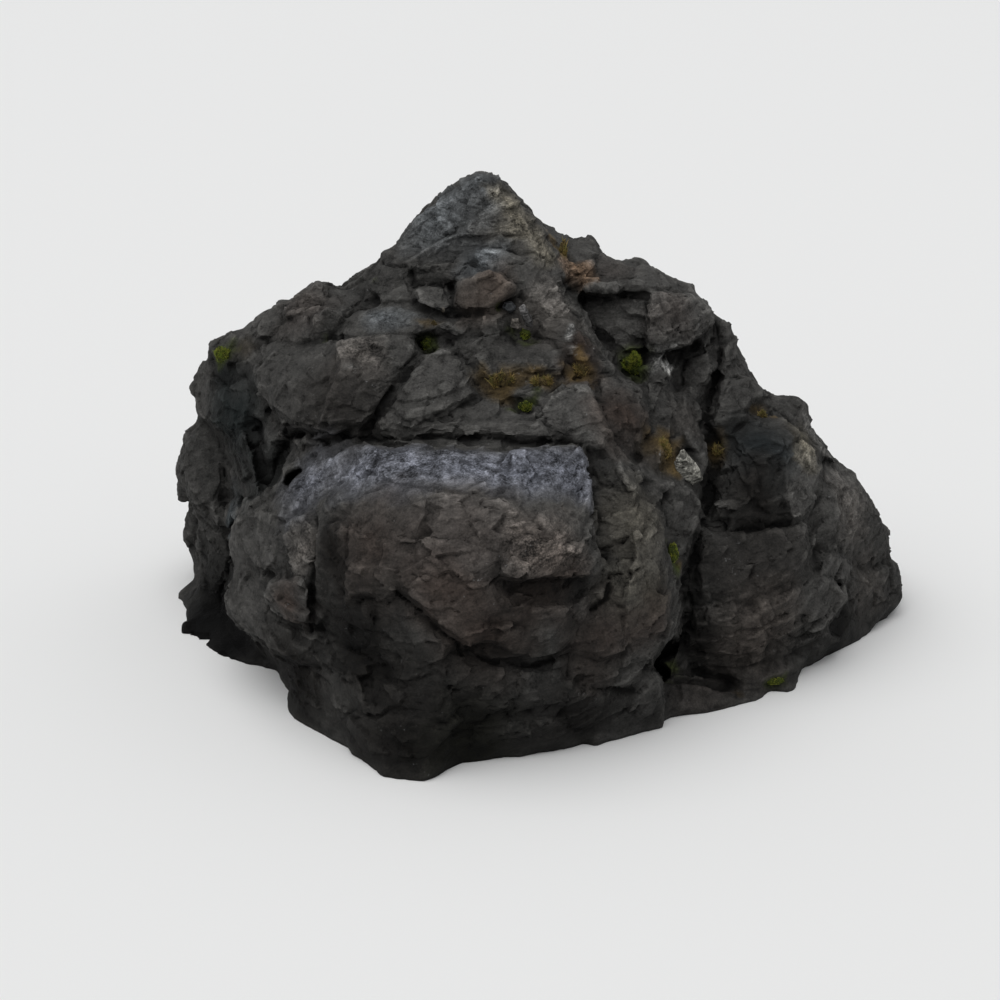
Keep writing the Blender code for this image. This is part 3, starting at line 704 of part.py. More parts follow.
def build_rock():
    bm = bmesh.new()
    for group in (
        UPPER_BLOCKS, SHOULDER_BLOCKS, WALL_BLOCKS, BAND_BLOCKS, BUTTRESS_BLOCKS, RIGHT_UPPER_BLOCKS,
        GULLY_BLOCKS, BOULDER_BLOCKS, LOBE_BLOCKS, RIGHT_BOULDER_BLOCKS, CORE_BLOCKS,
    ):
        for corners, thick in group:
            face_block(bm, corners, thick)
    for corners, feet, thick in STANDING_BLOCKS:
        standing_block(bm, corners, feet, thick)
    for points in MASSES:
        hull(bm, [Vector(p) for p in points])
    for index, block in enumerate(BACK_BLOCKS):
        back_block(bm, index, *block)
    mesh = bpy.data.meshes.new("rock")
    bm.to_mesh(mesh)
    bm.free()
    rock = bpy.data.objects.new("rock", mesh)
    bpy.context.scene.collection.objects.link(rock)

    rock.data = evaluated_mesh(rock, "REMESH", mode="VOXEL", voxel_size=VOXEL)
    bm = bmesh.new()
    bm.from_mesh(rock.data)
    roughen(bm)
    bm.to_mesh(rock.data)
    bm.free()
    rock.data = evaluated_mesh(rock, "REMESH", mode="VOXEL", voxel_size=VOXEL)
    bm = bmesh.new()
    bm.from_mesh(rock.data)
    bmesh.ops.triangulate(bm, faces=bm.faces)
    largest_island(bm)
    faces = len(bm.faces)
    bm.to_mesh(rock.data)
    bm.free()
    print("rock surface before thinning:", faces)

    mesh = evaluated_mesh(rock, "DECIMATE", ratio=ROCK_TRIANGLES / faces)
    bpy.data.objects.remove(rock)
    bm = bmesh.new()
    bm.from_mesh(mesh)
    cut_flat(bm, 0.0)
    bmesh.ops.triangulate(bm, faces=bm.faces)
    largest_island(bm)
    bm.to_mesh(mesh)
    bm.free()
    return mesh


def as_object(bm, name, color, roughness):
    """A finished piece with its own material, moved so that the middle of the footprint is the origin."""
    bmesh.ops.triangulate(bm, faces=bm.faces)
    bmesh.ops.translate(bm, verts=bm.verts, vec=-FOOTPRINT_CENTRE)
    mesh = bpy.data.meshes.new(name)
    bm.to_mesh(mesh)
    material = bpy.data.materials.new(name)
    material.use_nodes = True
    surface = material.node_tree.nodes["Principled BSDF"]
    surface.inputs["Base Color"].default_value = (*color, 1)
    surface.inputs["Roughness"].default_value = roughness
    mesh.materials.append(material)
    obj = bpy.data.objects.new(name, mesh)
    bpy.context.scene.collection.objects.link(obj)
    return obj


def grown(meshes, clearance):
    """Copies of these pieces that stand out by the clearance, in one object, to trim what rests on them."""
    bm = bmesh.new()
    for mesh in meshes:
        bm.from_mesh(mesh)
    bm.normal_update()
    for v in bm.verts:
        v.co = v.co + v.normal * clearance
    copy = bpy.data.meshes.new("trimmer")
    bm.to_mesh(copy)
    bm.free()
    obj = bpy.data.objects.new("trimmer", copy)
    bpy.context.scene.collection.objects.link(obj)
    return obj


def largest_island(bm):
    """Keeps only the largest connected body of bm."""
    islands = []
    seen = set()
    for vert in bm.verts:
        if vert in seen:
            continue
        island = {vert}
        front = [vert]
        while front:
            for edge in front.pop().link_edges:
                for other in edge.verts:
                    if other not in island:
                        island.add(other)
                        front.append(other)
        seen |= island
        islands.append(island)
    islands.sort(key=len)
    for island in islands[:-1]:
        bmesh.ops.delete(bm, geom=list(island), context="VERTS")


def trimmed(points, trimmer):
    """The convex solid of these points, less what would be inside the rock."""
    bm = bmesh.new()
    hull(bm, points)
    mesh = bpy.data.meshes.new("piece")
    bm.to_mesh(mesh)
    bm.free()
    obj = bpy.data.objects.new("piece", mesh)
    bpy.context.scene.collection.objects.link(obj)
    cut = evaluated_mesh(
        obj, "BOOLEAN", operation="DIFFERENCE", solver="EXACT", use_self=True, object=trimmer
    )
    bpy.data.objects.remove(obj)
    bm = bmesh.new()
    bm.from_mesh(cut)
    largest_island(bm)
    bmesh.ops.dissolve_degenerate(bm, dist=0.0001, edges=bm.edges)
    return bm


def rock_face(tree, across, height, spread):
    """The mean point of the rock seen around this board position, and the mean direction that it faces."""
    hits = []
    for da, dh in ((0, 0), (spread, 0), (-spread, 0), (0, spread), (0, -spread)):
        ray = (sighted(across + da, height + dh, 0) - station).normalized()
        place, normal, _, reach = tree.ray_cast(station, ray)
        if place is not None:
            hits.append((reach, place, normal))
    nearest = min(hit[0] for hit in hits)
    near = [hit for hit in hits if hit[0] < nearest + NEAR_HIT]
    here = sum((hit[1] for hit in near), Vector()) / len(near)
    facing = sum((hit[2] for hit in near), Vector())
    return here, facing.normalized()


def tuft_points(seed, here, facing, wide, long, tall, upright):
    """A ragged cushion on the rock, clear of the ground. The upright share grows towards the sky."""
    noise.seed_set(seed)
    growth = facing.lerp(Vector((0, 0, 1)), upright).normalized()
    side = facing.cross(Vector((0, 0, 1))).normalized()
    along = side.cross(facing)
    points = []
    for reach, level in ((0.92, -0.35), (1.0, 0.18), (0.72, 0.66), (0.34, 1.0)):
        for step in range(6):
            turn = math.tau * (step + 0.5 * noise.random()) / 6
            size = reach * (0.84 + 0.26 * noise.random())
            point = here + side * (math.cos(turn) * wide * size) + along * (math.sin(turn) * long * size)
            point += growth * (tall * level * (0.84 + 0.16 * noise.random()))
            point.z = max(point.z, CLEAR_OF_GROUND)
            points.append(point)
    return points


# Moss cushions and grass tufts: place on the board, half width, half length, height, how upright, colour
MOSS = (0.10, 0.13, 0.025)
DRY_GRASS = (0.26, 0.19, 0.07)
TUFTS = {
    "moss_west_ledge": ((-1.80, 0.935), 0.120, 0.075, 0.050, 0.3, MOSS),
    "moss_pocket": ((-0.47, 1.005), 0.070, 0.055, 0.050, 0.3, MOSS),
    "moss_chock": ((0.16, 1.075), 0.055, 0.050, 0.040, 0.2, MOSS),
    "moss_band": ((0.16, 0.605), 0.060, 0.050, 0.045, 0.2, MOSS),
    "moss_gully": ((0.865, 0.885), 0.090, 0.085, 0.080, 0.5, MOSS),
    "moss_lobe": ((1.125, -0.350), 0.050, 0.090, 0.035, 0.1, MOSS),
    "moss_foot": ((1.78, -1.185), 0.080, 0.050, 0.040, 0.2, MOSS),
    "grass_pocket": ((-0.42, 1.065), 0.095, 0.060, 0.130, 0.8, DRY_GRASS),
    "grass_slab": ((0.01, 0.755), 0.140, 0.060, 0.120, 0.7, DRY_GRASS),
    "grass_twigs": ((0.27, 0.755), 0.110, 0.045, 0.085, 0.7, DRY_GRASS),
    "grass_spur": ((0.51, 0.830), 0.100, 0.050, 0.090, 0.7, DRY_GRASS),
    "grass_skyline": ((0.41, 1.615), 0.070, 0.060, 0.140, 0.9, DRY_GRASS),
    "grass_gully": ((1.060, 0.330), 0.070, 0.120, 0.075, 0.5, DRY_GRASS),
    "grass_joint": ((1.415, 0.300), 0.080, 0.060, 0.095, 0.7, DRY_GRASS),
    "grass_head": ((1.705, 0.545), 0.060, 0.045, 0.065, 0.7, DRY_GRASS),
}

# Loose stones caught in the joints: the outline that shows, how far it stands out of the joint, and how deep it is
STONES = {
    "chockstone": (
        [(0.01, 1.25), (0.03, 1.285), (0.07, 1.295), (0.10, 1.27), (0.105, 1.235), (0.07, 1.215), (0.03, 1.22)],
        0.060, 0.16,
    ),
    "leaning_slab": ([(0.12, 1.25), (0.155, 1.275), (0.215, 1.16), (0.205, 1.115), (0.165, 1.125)], 0.050, 0.20),
    "leaning_slab_low": ([(0.075, 1.18), (0.12, 1.185), (0.145, 1.12), (0.11, 1.095), (0.07, 1.12)], 0.045, 0.18),
    "gully_stone": (
        [(1.105, 0.19), (1.15, 0.28), (1.19, 0.33), (1.24, 0.27), (1.30, 0.20), (1.315, 0.14), (1.25, 0.08),
         (1.15, 0.10)],
        0.070, 0.24,
    ),
}


def stone_points(tree, outline, proud, deep):
    """A stone with this outline: a smaller face stands proud of the joint and the rest goes back into it."""
    middle = sum((Vector(p) for p in outline), Vector((0, 0))) / len(outline)
    here, _ = rock_face(tree, middle.x, middle.y, 0.03)
    points = []
    for place in outline:
        inner = middle.lerp(Vector(place), 0.62)
        points.append(sighted(inner.x, inner.y, here.y - proud))
        points.append(sighted(place[0], place[1], here.y - proud * 0.45))
        points.append(sighted(place[0], place[1], here.y + deep))
    return points


def build_all():
    rock_mesh = build_rock()
    bm = bmesh.new()
    bm.from_mesh(rock_mesh)
    tree = BVHTree.FromBMesh(bm)
    settled = [rock_mesh]
    for name, (outline, proud, deep) in STONES.items():
        trimmer = grown(settled, REST_GAP)
        piece = trimmed(stone_points(tree, outline, proud, deep), trimmer)
        bpy.data.objects.remove(trimmer)
        stone = bpy.data.meshes.new(name)
        piece.to_mesh(stone)
        settled.append(stone)
        as_object(piece, name, (0.12, 0.11, 0.10), 0.85)
    trimmer = grown(settled, REST_GAP)
    for seed, (name, (place, wide, long, tall, upright, color)) in enumerate(TUFTS.items()):
        here, facing = rock_face(tree, *place, 0.6 * min(wide, long))
        piece = trimmed(tuft_points(60 + seed, here, facing, wide, long, tall, upright), trimmer)
        as_object(piece, name, color, 0.95)
    bpy.data.objects.remove(trimmer)
    as_object(bm, "rock", (0.075, 0.072, 0.070), 0.85)
    for mesh in settled:
        bpy.data.meshes.remove(mesh)


joint_lines = prepare_joints()
clear_scene()
build_all()
total = 0
for obj in bpy.data.objects:
    total += len(obj.data.polygons)
    print(obj.name, len(obj.data.polygons), "triangles")
print("all pieces:", total, "triangles")
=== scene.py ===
# %% [markdown]
# # A mossy rock outcrop
# This scene dresses a solid model of an outcrop: one body of jointed rock about five metres wide, a few
# loose stones, and moss and dry grass in the cracks. The solid gives the big shapes. What is added here
# is the fine work: the faces of the blocks, broken facets, bedding, hairline cracks, colour, lichen and
# plants.
#
# The imported solid is loaded first and never changed. Its box is kept.

# %% Load the solid
import math

import bmesh
import bpy
import numpy as np
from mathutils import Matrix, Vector, noise
from mathutils.bvhtree import BVHTree


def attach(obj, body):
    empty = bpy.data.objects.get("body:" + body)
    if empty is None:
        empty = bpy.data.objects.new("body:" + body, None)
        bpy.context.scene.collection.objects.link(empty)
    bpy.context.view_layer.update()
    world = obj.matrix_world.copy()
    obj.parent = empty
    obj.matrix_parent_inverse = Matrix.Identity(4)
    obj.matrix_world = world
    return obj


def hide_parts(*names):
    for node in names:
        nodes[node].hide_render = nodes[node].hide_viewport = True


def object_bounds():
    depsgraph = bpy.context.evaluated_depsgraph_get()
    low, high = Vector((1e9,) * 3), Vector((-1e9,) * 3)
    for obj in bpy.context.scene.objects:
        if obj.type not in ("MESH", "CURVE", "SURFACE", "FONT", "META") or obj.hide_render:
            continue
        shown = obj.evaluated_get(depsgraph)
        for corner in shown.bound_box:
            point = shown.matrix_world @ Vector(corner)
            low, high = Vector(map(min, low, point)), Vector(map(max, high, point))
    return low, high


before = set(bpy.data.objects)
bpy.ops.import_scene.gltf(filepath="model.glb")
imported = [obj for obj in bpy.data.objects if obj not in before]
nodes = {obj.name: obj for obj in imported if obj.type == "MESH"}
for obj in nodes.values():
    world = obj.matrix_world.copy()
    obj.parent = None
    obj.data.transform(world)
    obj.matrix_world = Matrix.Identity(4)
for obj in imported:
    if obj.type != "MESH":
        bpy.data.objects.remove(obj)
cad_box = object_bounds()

print("solid box:", [round(v, 3) for v in cad_box[0]], [round(v, 3) for v in cad_box[1]])

# %% [markdown]
# ## The camera
# The outcrop is seen from a little above, as from a bank or a drone at about four metres, through a
# lens that is slightly longer than normal. The camera looks square at an imaginary upright board
# through the middle of the rock. Everything that is read off the picture is given as a place on that
# board, in metres to the right and metres up, which keeps those numbers easy to check.

# %% Camera and board
SIGHT_TILT = math.radians(18)
STATION_DISTANCE = 10.833
LENS_MM = 60
BOARD_CENTRE = Vector((-0.2558, 0.0012, 0.92))

board_right = Vector((1, 0, 0))
board_up = Vector((0, math.sin(SIGHT_TILT), math.cos(SIGHT_TILT)))
board_away = Vector((0, math.cos(SIGHT_TILT), -math.sin(SIGHT_TILT)))
station = BOARD_CENTRE - board_away * STATION_DISTANCE

camera = bpy.data.objects.new("camera", bpy.data.cameras.new("camera"))
camera.data.lens = LENS_MM
camera.data.clip_end = 2000
camera.location = station
camera.rotation_euler = board_away.to_track_quat("-Z", "Y").to_euler()
bpy.context.collection.objects.link(camera)
bpy.context.scene.camera = camera
print("camera stands at", [round(v, 2) for v in station])

# %% [markdown]
# ## Floor and light
# The rock was photographed under an overcast sky: the tops are bright, the sides dim and the undersides
# nearly black, and no shadow has an edge. A pale floor under an even white world gives most of that. A
# sun lamp with a very wide disc adds the stronger light from high up, and stays the same over the whole
# floor.

# %% Floor and light
FLOOR_SIZE = 900.0
SKY_STRENGTH = 0.50
OVERHEAD_STRENGTH = 1.55
OVERHEAD_WIDTH = math.radians(75)
OVERHEAD_TURN = (math.radians(14), math.radians(-16), 0)

bpy.ops.mesh.primitive_plane_add(size=FLOOR_SIZE, location=(0, 0, -0.002))
floor = bpy.context.object
floor.name = "floor"
floor_paint = bpy.data.materials.new("floor_paint")
floor_paint.use_nodes = True
floor_surface = floor_paint.node_tree.nodes["Principled BSDF"]
floor_surface.inputs["Base Color"].default_value = (0.86, 0.86, 0.85, 1)
floor_surface.inputs["Roughness"].default_value = 0.95
floor.data.materials.append(floor_paint)

world = bpy.data.worlds.new("overcast")
world.use_nodes = True
world.node_tree.nodes["Background"].inputs["Color"].default_value = (0.97, 0.98, 1.0, 1)
world.node_tree.nodes["Background"].inputs["Strength"].default_value = SKY_STRENGTH
bpy.context.scene.world = world
bpy.context.scene.view_settings.view_transform = "Standard"

overhead = bpy.data.objects.new("overhead", bpy.data.lights.new("overhead", "SUN"))
overhead.data.energy = OVERHEAD_STRENGTH
overhead.data.angle = OVERHEAD_WIDTH
overhead.rotation_euler = OVERHEAD_TURN
bpy.context.collection.objects.link(overhead)
print("floor and light made")

# %% [markdown]
# ## Small helpers
# Node trees are easier to read when each node takes one line. `add_node` makes a node, sets its
# options, and fills each input with a value or a link. Names with an underscore stand for input names
# with a space.

# %% Node helpers
def add_node(tree, kind, options=None, **inputs):
    """A node whose inputs are given by name. A socket is linked, any other value is set."""
    made = tree.nodes.new(kind)
    for key, value in (options or {}).items():
        setattr(made, key, value)
    for key, value in inputs.items():
        fill(tree, made.inputs[key.replace("_", " ")], value)
    return made


def fill(tree, socket, value):
    if isinstance(value, bpy.types.NodeSocket):
        tree.links.new(value, socket)
    elif value is not None:
        socket.default_value = value


def maths(tree, operation, *values, clamp=False):
    """A Math node's result."""
    made = tree.nodes.new("ShaderNodeMath")
    made.operation = operation
    made.use_clamp = clamp
    for socket, value in zip(made.inputs, values):
        fill(tree, socket, value)
    return made.outputs[0]


def vectors(tree, operation, *values, scale=None):
    """A Vector Math node's result."""
    made = tree.nodes.new("ShaderNodeVectorMath")
    made.operation = operation
    for socket, value in zip(made.inputs, values):
        fill(tree, socket, value)
    if scale is not None:
        fill(tree, made.inputs["Scale"], scale)
    return made.outputs["Value" if operation in ("DOT_PRODUCT", "LENGTH") else "Vector"]


def ramp_between(tree, value, low, high, to_low=0.0, to_high=1.0):
    """Value rescaled so that low gives to_low and high gives to_high, eased at both ends."""
    made = add_node(
        tree, "ShaderNodeMapRange", {"interpolation_type": "SMOOTHSTEP"},
        Value=value, From_Min=low, From_Max=high, To_Min=to_low, To_Max=to_high,
    )
    return made.outputs["Result"]


def cloud(tree, place, scale, detail, roughness=0.5):
    """A Noise texture's value at a place, around 0.5."""
    made = add_node(
        tree, "ShaderNodeTexNoise", Vector=place, Scale=scale, Detail=detail, Roughness=roughness
    )
    return made.outputs["Fac"]


def bent_place(tree, place, amount, scale, detail, roughness=0.5):
    """A place pushed about by noise, so that what is drawn there isn't straight."""
    sway = add_node(
        tree, "ShaderNodeTexNoise", Vector=place, Scale=scale, Detail=detail, Roughness=roughness
    )
    return vectors(tree, "ADD", place, vectors(tree, "SCALE", sway.outputs["Color"], scale=amount))


def height_of(tree, place):
    return add_node(tree, "ShaderNodeSeparateXYZ", Vector=place).outputs["Z"]


def new_tree(name, kind, inputs, outputs):
    """An empty node group with typed inputs (name, kind, value) and outputs (name, kind)."""
    tree = bpy.data.node_groups.new(name, kind)
    for title, socket_type, value in inputs:
        socket = tree.interface.new_socket(title, in_out="INPUT", socket_type=socket_type)
        if value is not None:
            socket.default_value = value
    for title, socket_type in outputs:
        tree.interface.new_socket(title, in_out="OUTPUT", socket_type=socket_type)
    return tree, tree.nodes.new("NodeGroupInput").outputs, tree.nodes.new("NodeGroupOutput").inputs


def run_tree(obj, tree, **values):
    """Runs a geometry tree on an object, keeps the result as its plain mesh, and takes the modifier off."""
    modifier = obj.modifiers.new(tree.name, "NODES")
    modifier.node_group = tree
    for item in tree.interface.items_tree:
        key = item.name.replace(" ", "_")
        if item.in_out == "INPUT" and key in values:
            modifier[item.identifier] = values[key]
    keep_result(obj, modifier)


def keep_result(obj, modifier):
    obj.update_tag()
    result = bpy.data.meshes.new_from_object(obj.evaluated_get(bpy.context.evaluated_depsgraph_get()))
    obj.modifiers.remove(modifier)
    old = obj.data
    obj.data = result
    bpy.data.meshes.remove(old)


def run_modifier(obj, kind, **settings):
    """Runs one ordinary modifier and keeps its result."""
    modifier = obj.modifiers.new(kind, kind)
    for key, value in settings.items():
        setattr(modifier, key, value)
    keep_result(obj, modifier)


print("helpers ready")

# %% [markdown]
# ## Finding a place on the rock
# A crack or a patch of colour is read off the picture as a place on the board. A ray from the camera's
# place through that point meets the solid rock, and where it does is the real place in space. From then
# on the camera plays no part, so the crack is still there from every side.

# %% Places on the rock
def welded_copy(node_name, name):
    """A new object with a copy of a solid's mesh, its loose triangles merged."""
    bm = bmesh.new()
    bm.from_mesh(nodes[node_name].data)
    bmesh.ops.remove_doubles(bm, verts=bm.verts, dist=0.00005)
    mesh = bpy.data.meshes.new(name)
    bm.to_mesh(mesh)
    bm.free()
    obj = bpy.data.objects.new(name, mesh)
    bpy.context.collection.objects.link(obj)
    return obj


def surface_of(*meshes):
    """A searchable surface made of several meshes."""
    bm = bmesh.new()
    for mesh in meshes:
        bm.from_mesh(mesh)
    surface = BVHTree.FromBMesh(bm)
    bm.free()
    return surface


outcrop = welded_copy("rock", "outcrop")
solid_rock = surface_of(outcrop.data)


def on_rock(across, height):
    """The place on the solid rock that is seen at this board position, or None past its edge."""
    through = BOARD_CENTRE + board_right * across + board_up * height
    return solid_rock.ray_cast(station, (through - station).normalized())[0]


print("solid rock:", len(outcrop.data.polygons), "triangles; middle of the boulder", on_rock(-0.4, -0.3))

# %% [markdown]
# ## The faces of the blocks
# Joints divide the rock into blocks, and each block shows one fairly flat face with worn edges. The
# solid model has the blocks as broad forms with wide grooves between them. Here the visible face of
# every block is drawn on the board as an outline of a few points, with how far it stands out of or
# behind its neighbours.
#
# Each part of the rock has a cell of its own. Every face is written as its name, how far it stands out
# in metres, and then its outline. Faces of one block could be sculpted instead, but outlines are easy
# to check against the picture and to move.

# %% Outlines: peak
BLOCK_FACES = {}
BLOCK_FACES["peak"] = {
    "left face": (0, [(-0.13, 2.12), (-0.3, 2), (-0.48, 1.88), (-0.57, 1.82), (-0.64, 1.7),
        (-0.75, 1.62), (-0.77, 1.56), (-0.62, 1.56), (-0.5, 1.64), (-0.32, 1.74), (-0.21, 1.8),
        (-0.11, 1.9), (-0.09, 2.02)]),
    "left ridge": (0.015, [(-0.61, 1.55), (-0.5, 1.63), (-0.32, 1.73), (-0.21, 1.79), (-0.2, 1.71),
        (-0.3, 1.7), (-0.48, 1.615), (-0.55, 1.55)]),
    "front": (0.01, [(-0.09, 2.03), (-0.03, 2.04), (0.06, 1.91), (0.13, 1.82), (0.19, 1.72),
        (0.1, 1.725), (-0.05, 1.715), (-0.2, 1.71), (-0.21, 1.79), (-0.1, 1.89)]),
    "right slope": (0, [(-0.05, 2.09), (0.06, 1.98), (0.2, 1.88), (0.3, 1.76), (0.37, 1.7),
        (0.41, 1.6), (0.45, 1.52), (0.42, 1.44), (0.36, 1.44), (0.3, 1.52), (0.25, 1.6), (0.19, 1.71),
        (0.13, 1.81), (0, 2)]),
    "under the front": (0, [(-0.3, 1.695), (-0.05, 1.71), (0.1, 1.715), (0.19, 1.715), (0.24, 1.615),
        (0.13, 1.6), (0.02, 1.63), (-0.1, 1.65), (-0.3, 1.655), (-0.47, 1.61)]),
    "throat": (0.01, [(-0.1, 1.645), (0.02, 1.625), (0.13, 1.595), (0.24, 1.605), (0.3, 1.51),
        (0.38, 1.41), (0.46, 1.29), (0.48, 1.19), (0.33, 1.18), (0.27, 1.25), (0.19, 1.33),
        (0.1, 1.41), (0.02, 1.48), (-0.05, 1.51), (-0.14, 1.53), (-0.16, 1.6)]),
    "left throat": (0, [(-0.47, 1.605), (-0.3, 1.65), (-0.17, 1.635), (-0.2, 1.53), (-0.28, 1.46),
        (-0.4, 1.51), (-0.5, 1.55)]),
    "brown block": (0.02, [(-0.29, 1.42), (-0.16, 1.45), (-0.06, 1.5), (0.02, 1.46), (0.1, 1.39),
        (0.1, 1.33), (0.02, 1.27), (-0.08, 1.225), (-0.18, 1.23), (-0.28, 1.27)]),
    "cheek": (-0.02, [(-0.62, 1.55), (-0.52, 1.5), (-0.42, 1.5), (-0.3, 1.455), (-0.3, 1.41),
        (-0.45, 1.405), (-0.56, 1.39), (-0.61, 1.47)]),
    "low cheek": (0.02, [(-0.56, 1.38), (-0.45, 1.4), (-0.37, 1.39), (-0.31, 1.27), (-0.37, 1.21),
        (-0.46, 1.25), (-0.53, 1.28)]),
    "left rib": (0, [(-0.95, 1.38), (-0.84, 1.5), (-0.76, 1.57), (-0.7, 1.51), (-0.63, 1.52),
        (-0.61, 1.43), (-0.7, 1.38), (-0.8, 1.33), (-0.87, 1.36)]),
    "low rib": (0.01, [(-0.79, 1.32), (-0.7, 1.37), (-0.61, 1.42), (-0.58, 1.36), (-0.57, 1.29),
        (-0.68, 1.29), (-0.76, 1.27)]),
}
print("peak:", len(BLOCK_FACES["peak"]), "faces")

# %% Outlines: left shoulder
BLOCK_FACES["left shoulder"] = {
    "shard": (0, [(-1.58, 1.14), (-1.5, 1.25), (-1.41, 1.31), (-1.36, 1.28), (-1.43, 1.16),
        (-1.5, 1.06), (-1.58, 1.05)]),
    "skyline block": (0.01, [(-1.4, 1.26), (-1.3, 1.37), (-1.19, 1.43), (-1.14, 1.4), (-1.14, 1.28),
        (-1.2, 1.22), (-1.3, 1.22), (-1.41, 1.17)]),
    "skyline slab": (0, [(-1.14, 1.4), (-0.97, 1.37), (-0.88, 1.36), (-0.89, 1.29), (-1, 1.23),
        (-1.08, 1.27), (-1.14, 1.27)]),
    "round block": (0.02, [(-1.23, 1.11), (-1.21, 1.2), (-1.14, 1.26), (-1.06, 1.25), (-1, 1.2),
        (-1.05, 1.11), (-1.12, 1.05), (-1.2, 1.05)]),
    "middle block": (0, [(-1.48, 1.07), (-1.4, 1.16), (-1.3, 1.205), (-1.24, 1.19), (-1.24, 1.1),
        (-1.22, 1.04), (-1.36, 1.03), (-1.46, 1.03)]),
    "low block": (0, [(-1.57, 1), (-1.46, 1.05), (-1.37, 1.06), (-1.38, 0.98), (-1.46, 0.94),
        (-1.54, 0.93)]),
    "pale ledge": (0.02, [(-1.07, 1.06), (-0.99, 1.2), (-0.8, 1.24), (-0.7, 1.28), (-0.53, 1.23),
        (-0.37, 1.15), (-0.33, 1.08), (-0.5, 1.05), (-0.62, 1.08), (-0.8, 1.09), (-0.95, 1.065)]),
    "small block": (0, [(-0.35, 1.1), (-0.28, 1.17), (-0.17, 1.21), (-0.16, 1.1), (-0.19, 1.06),
        (-0.29, 1.06)]),
    "smaller block": (0.01, [(-0.15, 1.13), (-0.14, 1.19), (-0.09, 1.215), (0, 1.21), (0.05, 1.15),
        (0.07, 1.1), (-0.02, 1.08), (-0.14, 1.07)]),
    "big block, left": (0.02, [(-1.6, 0.84), (-1.52, 0.92), (-1.42, 1), (-1.25, 1.02), (-1.08, 1.03),
        (-1.05, 0.88), (-1.12, 0.7), (-1.2, 0.48), (-1.35, 0.51), (-1.48, 0.6), (-1.58, 0.72)]),
    "big block, right": (0.03, [(-1.08, 1.03), (-0.95, 1.05), (-0.78, 1.09), (-0.62, 1.07),
        (-0.54, 1.03), (-0.53, 0.96), (-0.62, 0.84), (-0.7, 0.74), (-0.8, 0.58), (-0.88, 0.5),
        (-1.04, 0.47), (-1.2, 0.48), (-1.12, 0.7), (-1.05, 0.88)]),
    "pale chip": (0, [(-0.8, 0.5), (-0.72, 0.58), (-0.63, 0.5), (-0.66, 0.44), (-0.78, 0.45)]),
    "soil ledge": (0, [(-1.88, 0.93), (-1.82, 1.04), (-1.71, 1.09), (-1.62, 1.03), (-1.57, 0.96),
        (-1.62, 0.89), (-1.74, 0.91)]),
    "teal facet": (0, [(-1.9, 0.9), (-1.8, 0.915), (-1.66, 0.88), (-1.66, 0.8), (-1.74, 0.77),
        (-1.82, 0.74), (-1.87, 0.8)]),
    "left edge": (0, [(-1.98, 0.55), (-1.98, 0.78), (-1.92, 0.84), (-1.88, 0.8), (-1.88, 0.66),
        (-1.91, 0.52)]),
}
print("left shoulder:", len(BLOCK_FACES["left shoulder"]), "faces")

# %% Outlines: left wall
BLOCK_FACES["left wall"] = {
    "upper column": (0, [(-1.89, 0.6), (-1.86, 0.7), (-1.74, 0.76), (-1.65, 0.8), (-1.62, 0.66),
        (-1.66, 0.5), (-1.72, 0.47), (-1.85, 0.46)]),
    "outer column": (0, [(-2.03, 0.4), (-1.92, 0.5), (-1.85, 0.44), (-1.81, 0.3), (-1.81, 0.1),
        (-1.87, 0), (-2, -0.02), (-2.05, 0.1), (-2.06, 0.26)]),
    "middle column": (0, [(-1.8, 0.42), (-1.66, 0.44), (-1.61, 0.3), (-1.57, 0.1), (-1.55, 0.02),
        (-1.7, 0.02), (-1.78, 0.1), (-1.8, 0.26)]),
    "inner column": (-0.02, [(-1.62, 0.42), (-1.54, 0.4), (-1.52, 0.2), (-1.5, 0.09), (-1.55, 0.11),
        (-1.6, 0.28)]),
    "teal block": (0.02, [(-1.79, -0.02), (-1.7, 0.01), (-1.6, 0.02), (-1.62, -0.04), (-1.7, -0.12),
        (-1.76, -0.2), (-1.8, -0.12)]),
    "low column": (0, [(-2, -0.06), (-1.87, -0.01), (-1.82, -0.14), (-1.86, -0.3), (-1.92, -0.24),
        (-1.95, -0.18)]),
    "low wall": (0, [(-1.9, -0.2), (-1.8, -0.18), (-1.76, -0.34), (-1.8, -0.5), (-1.84, -0.62),
        (-1.9, -0.56), (-1.9, -0.36)]),
}
print("left wall:", len(BLOCK_FACES["left wall"]), "faces")

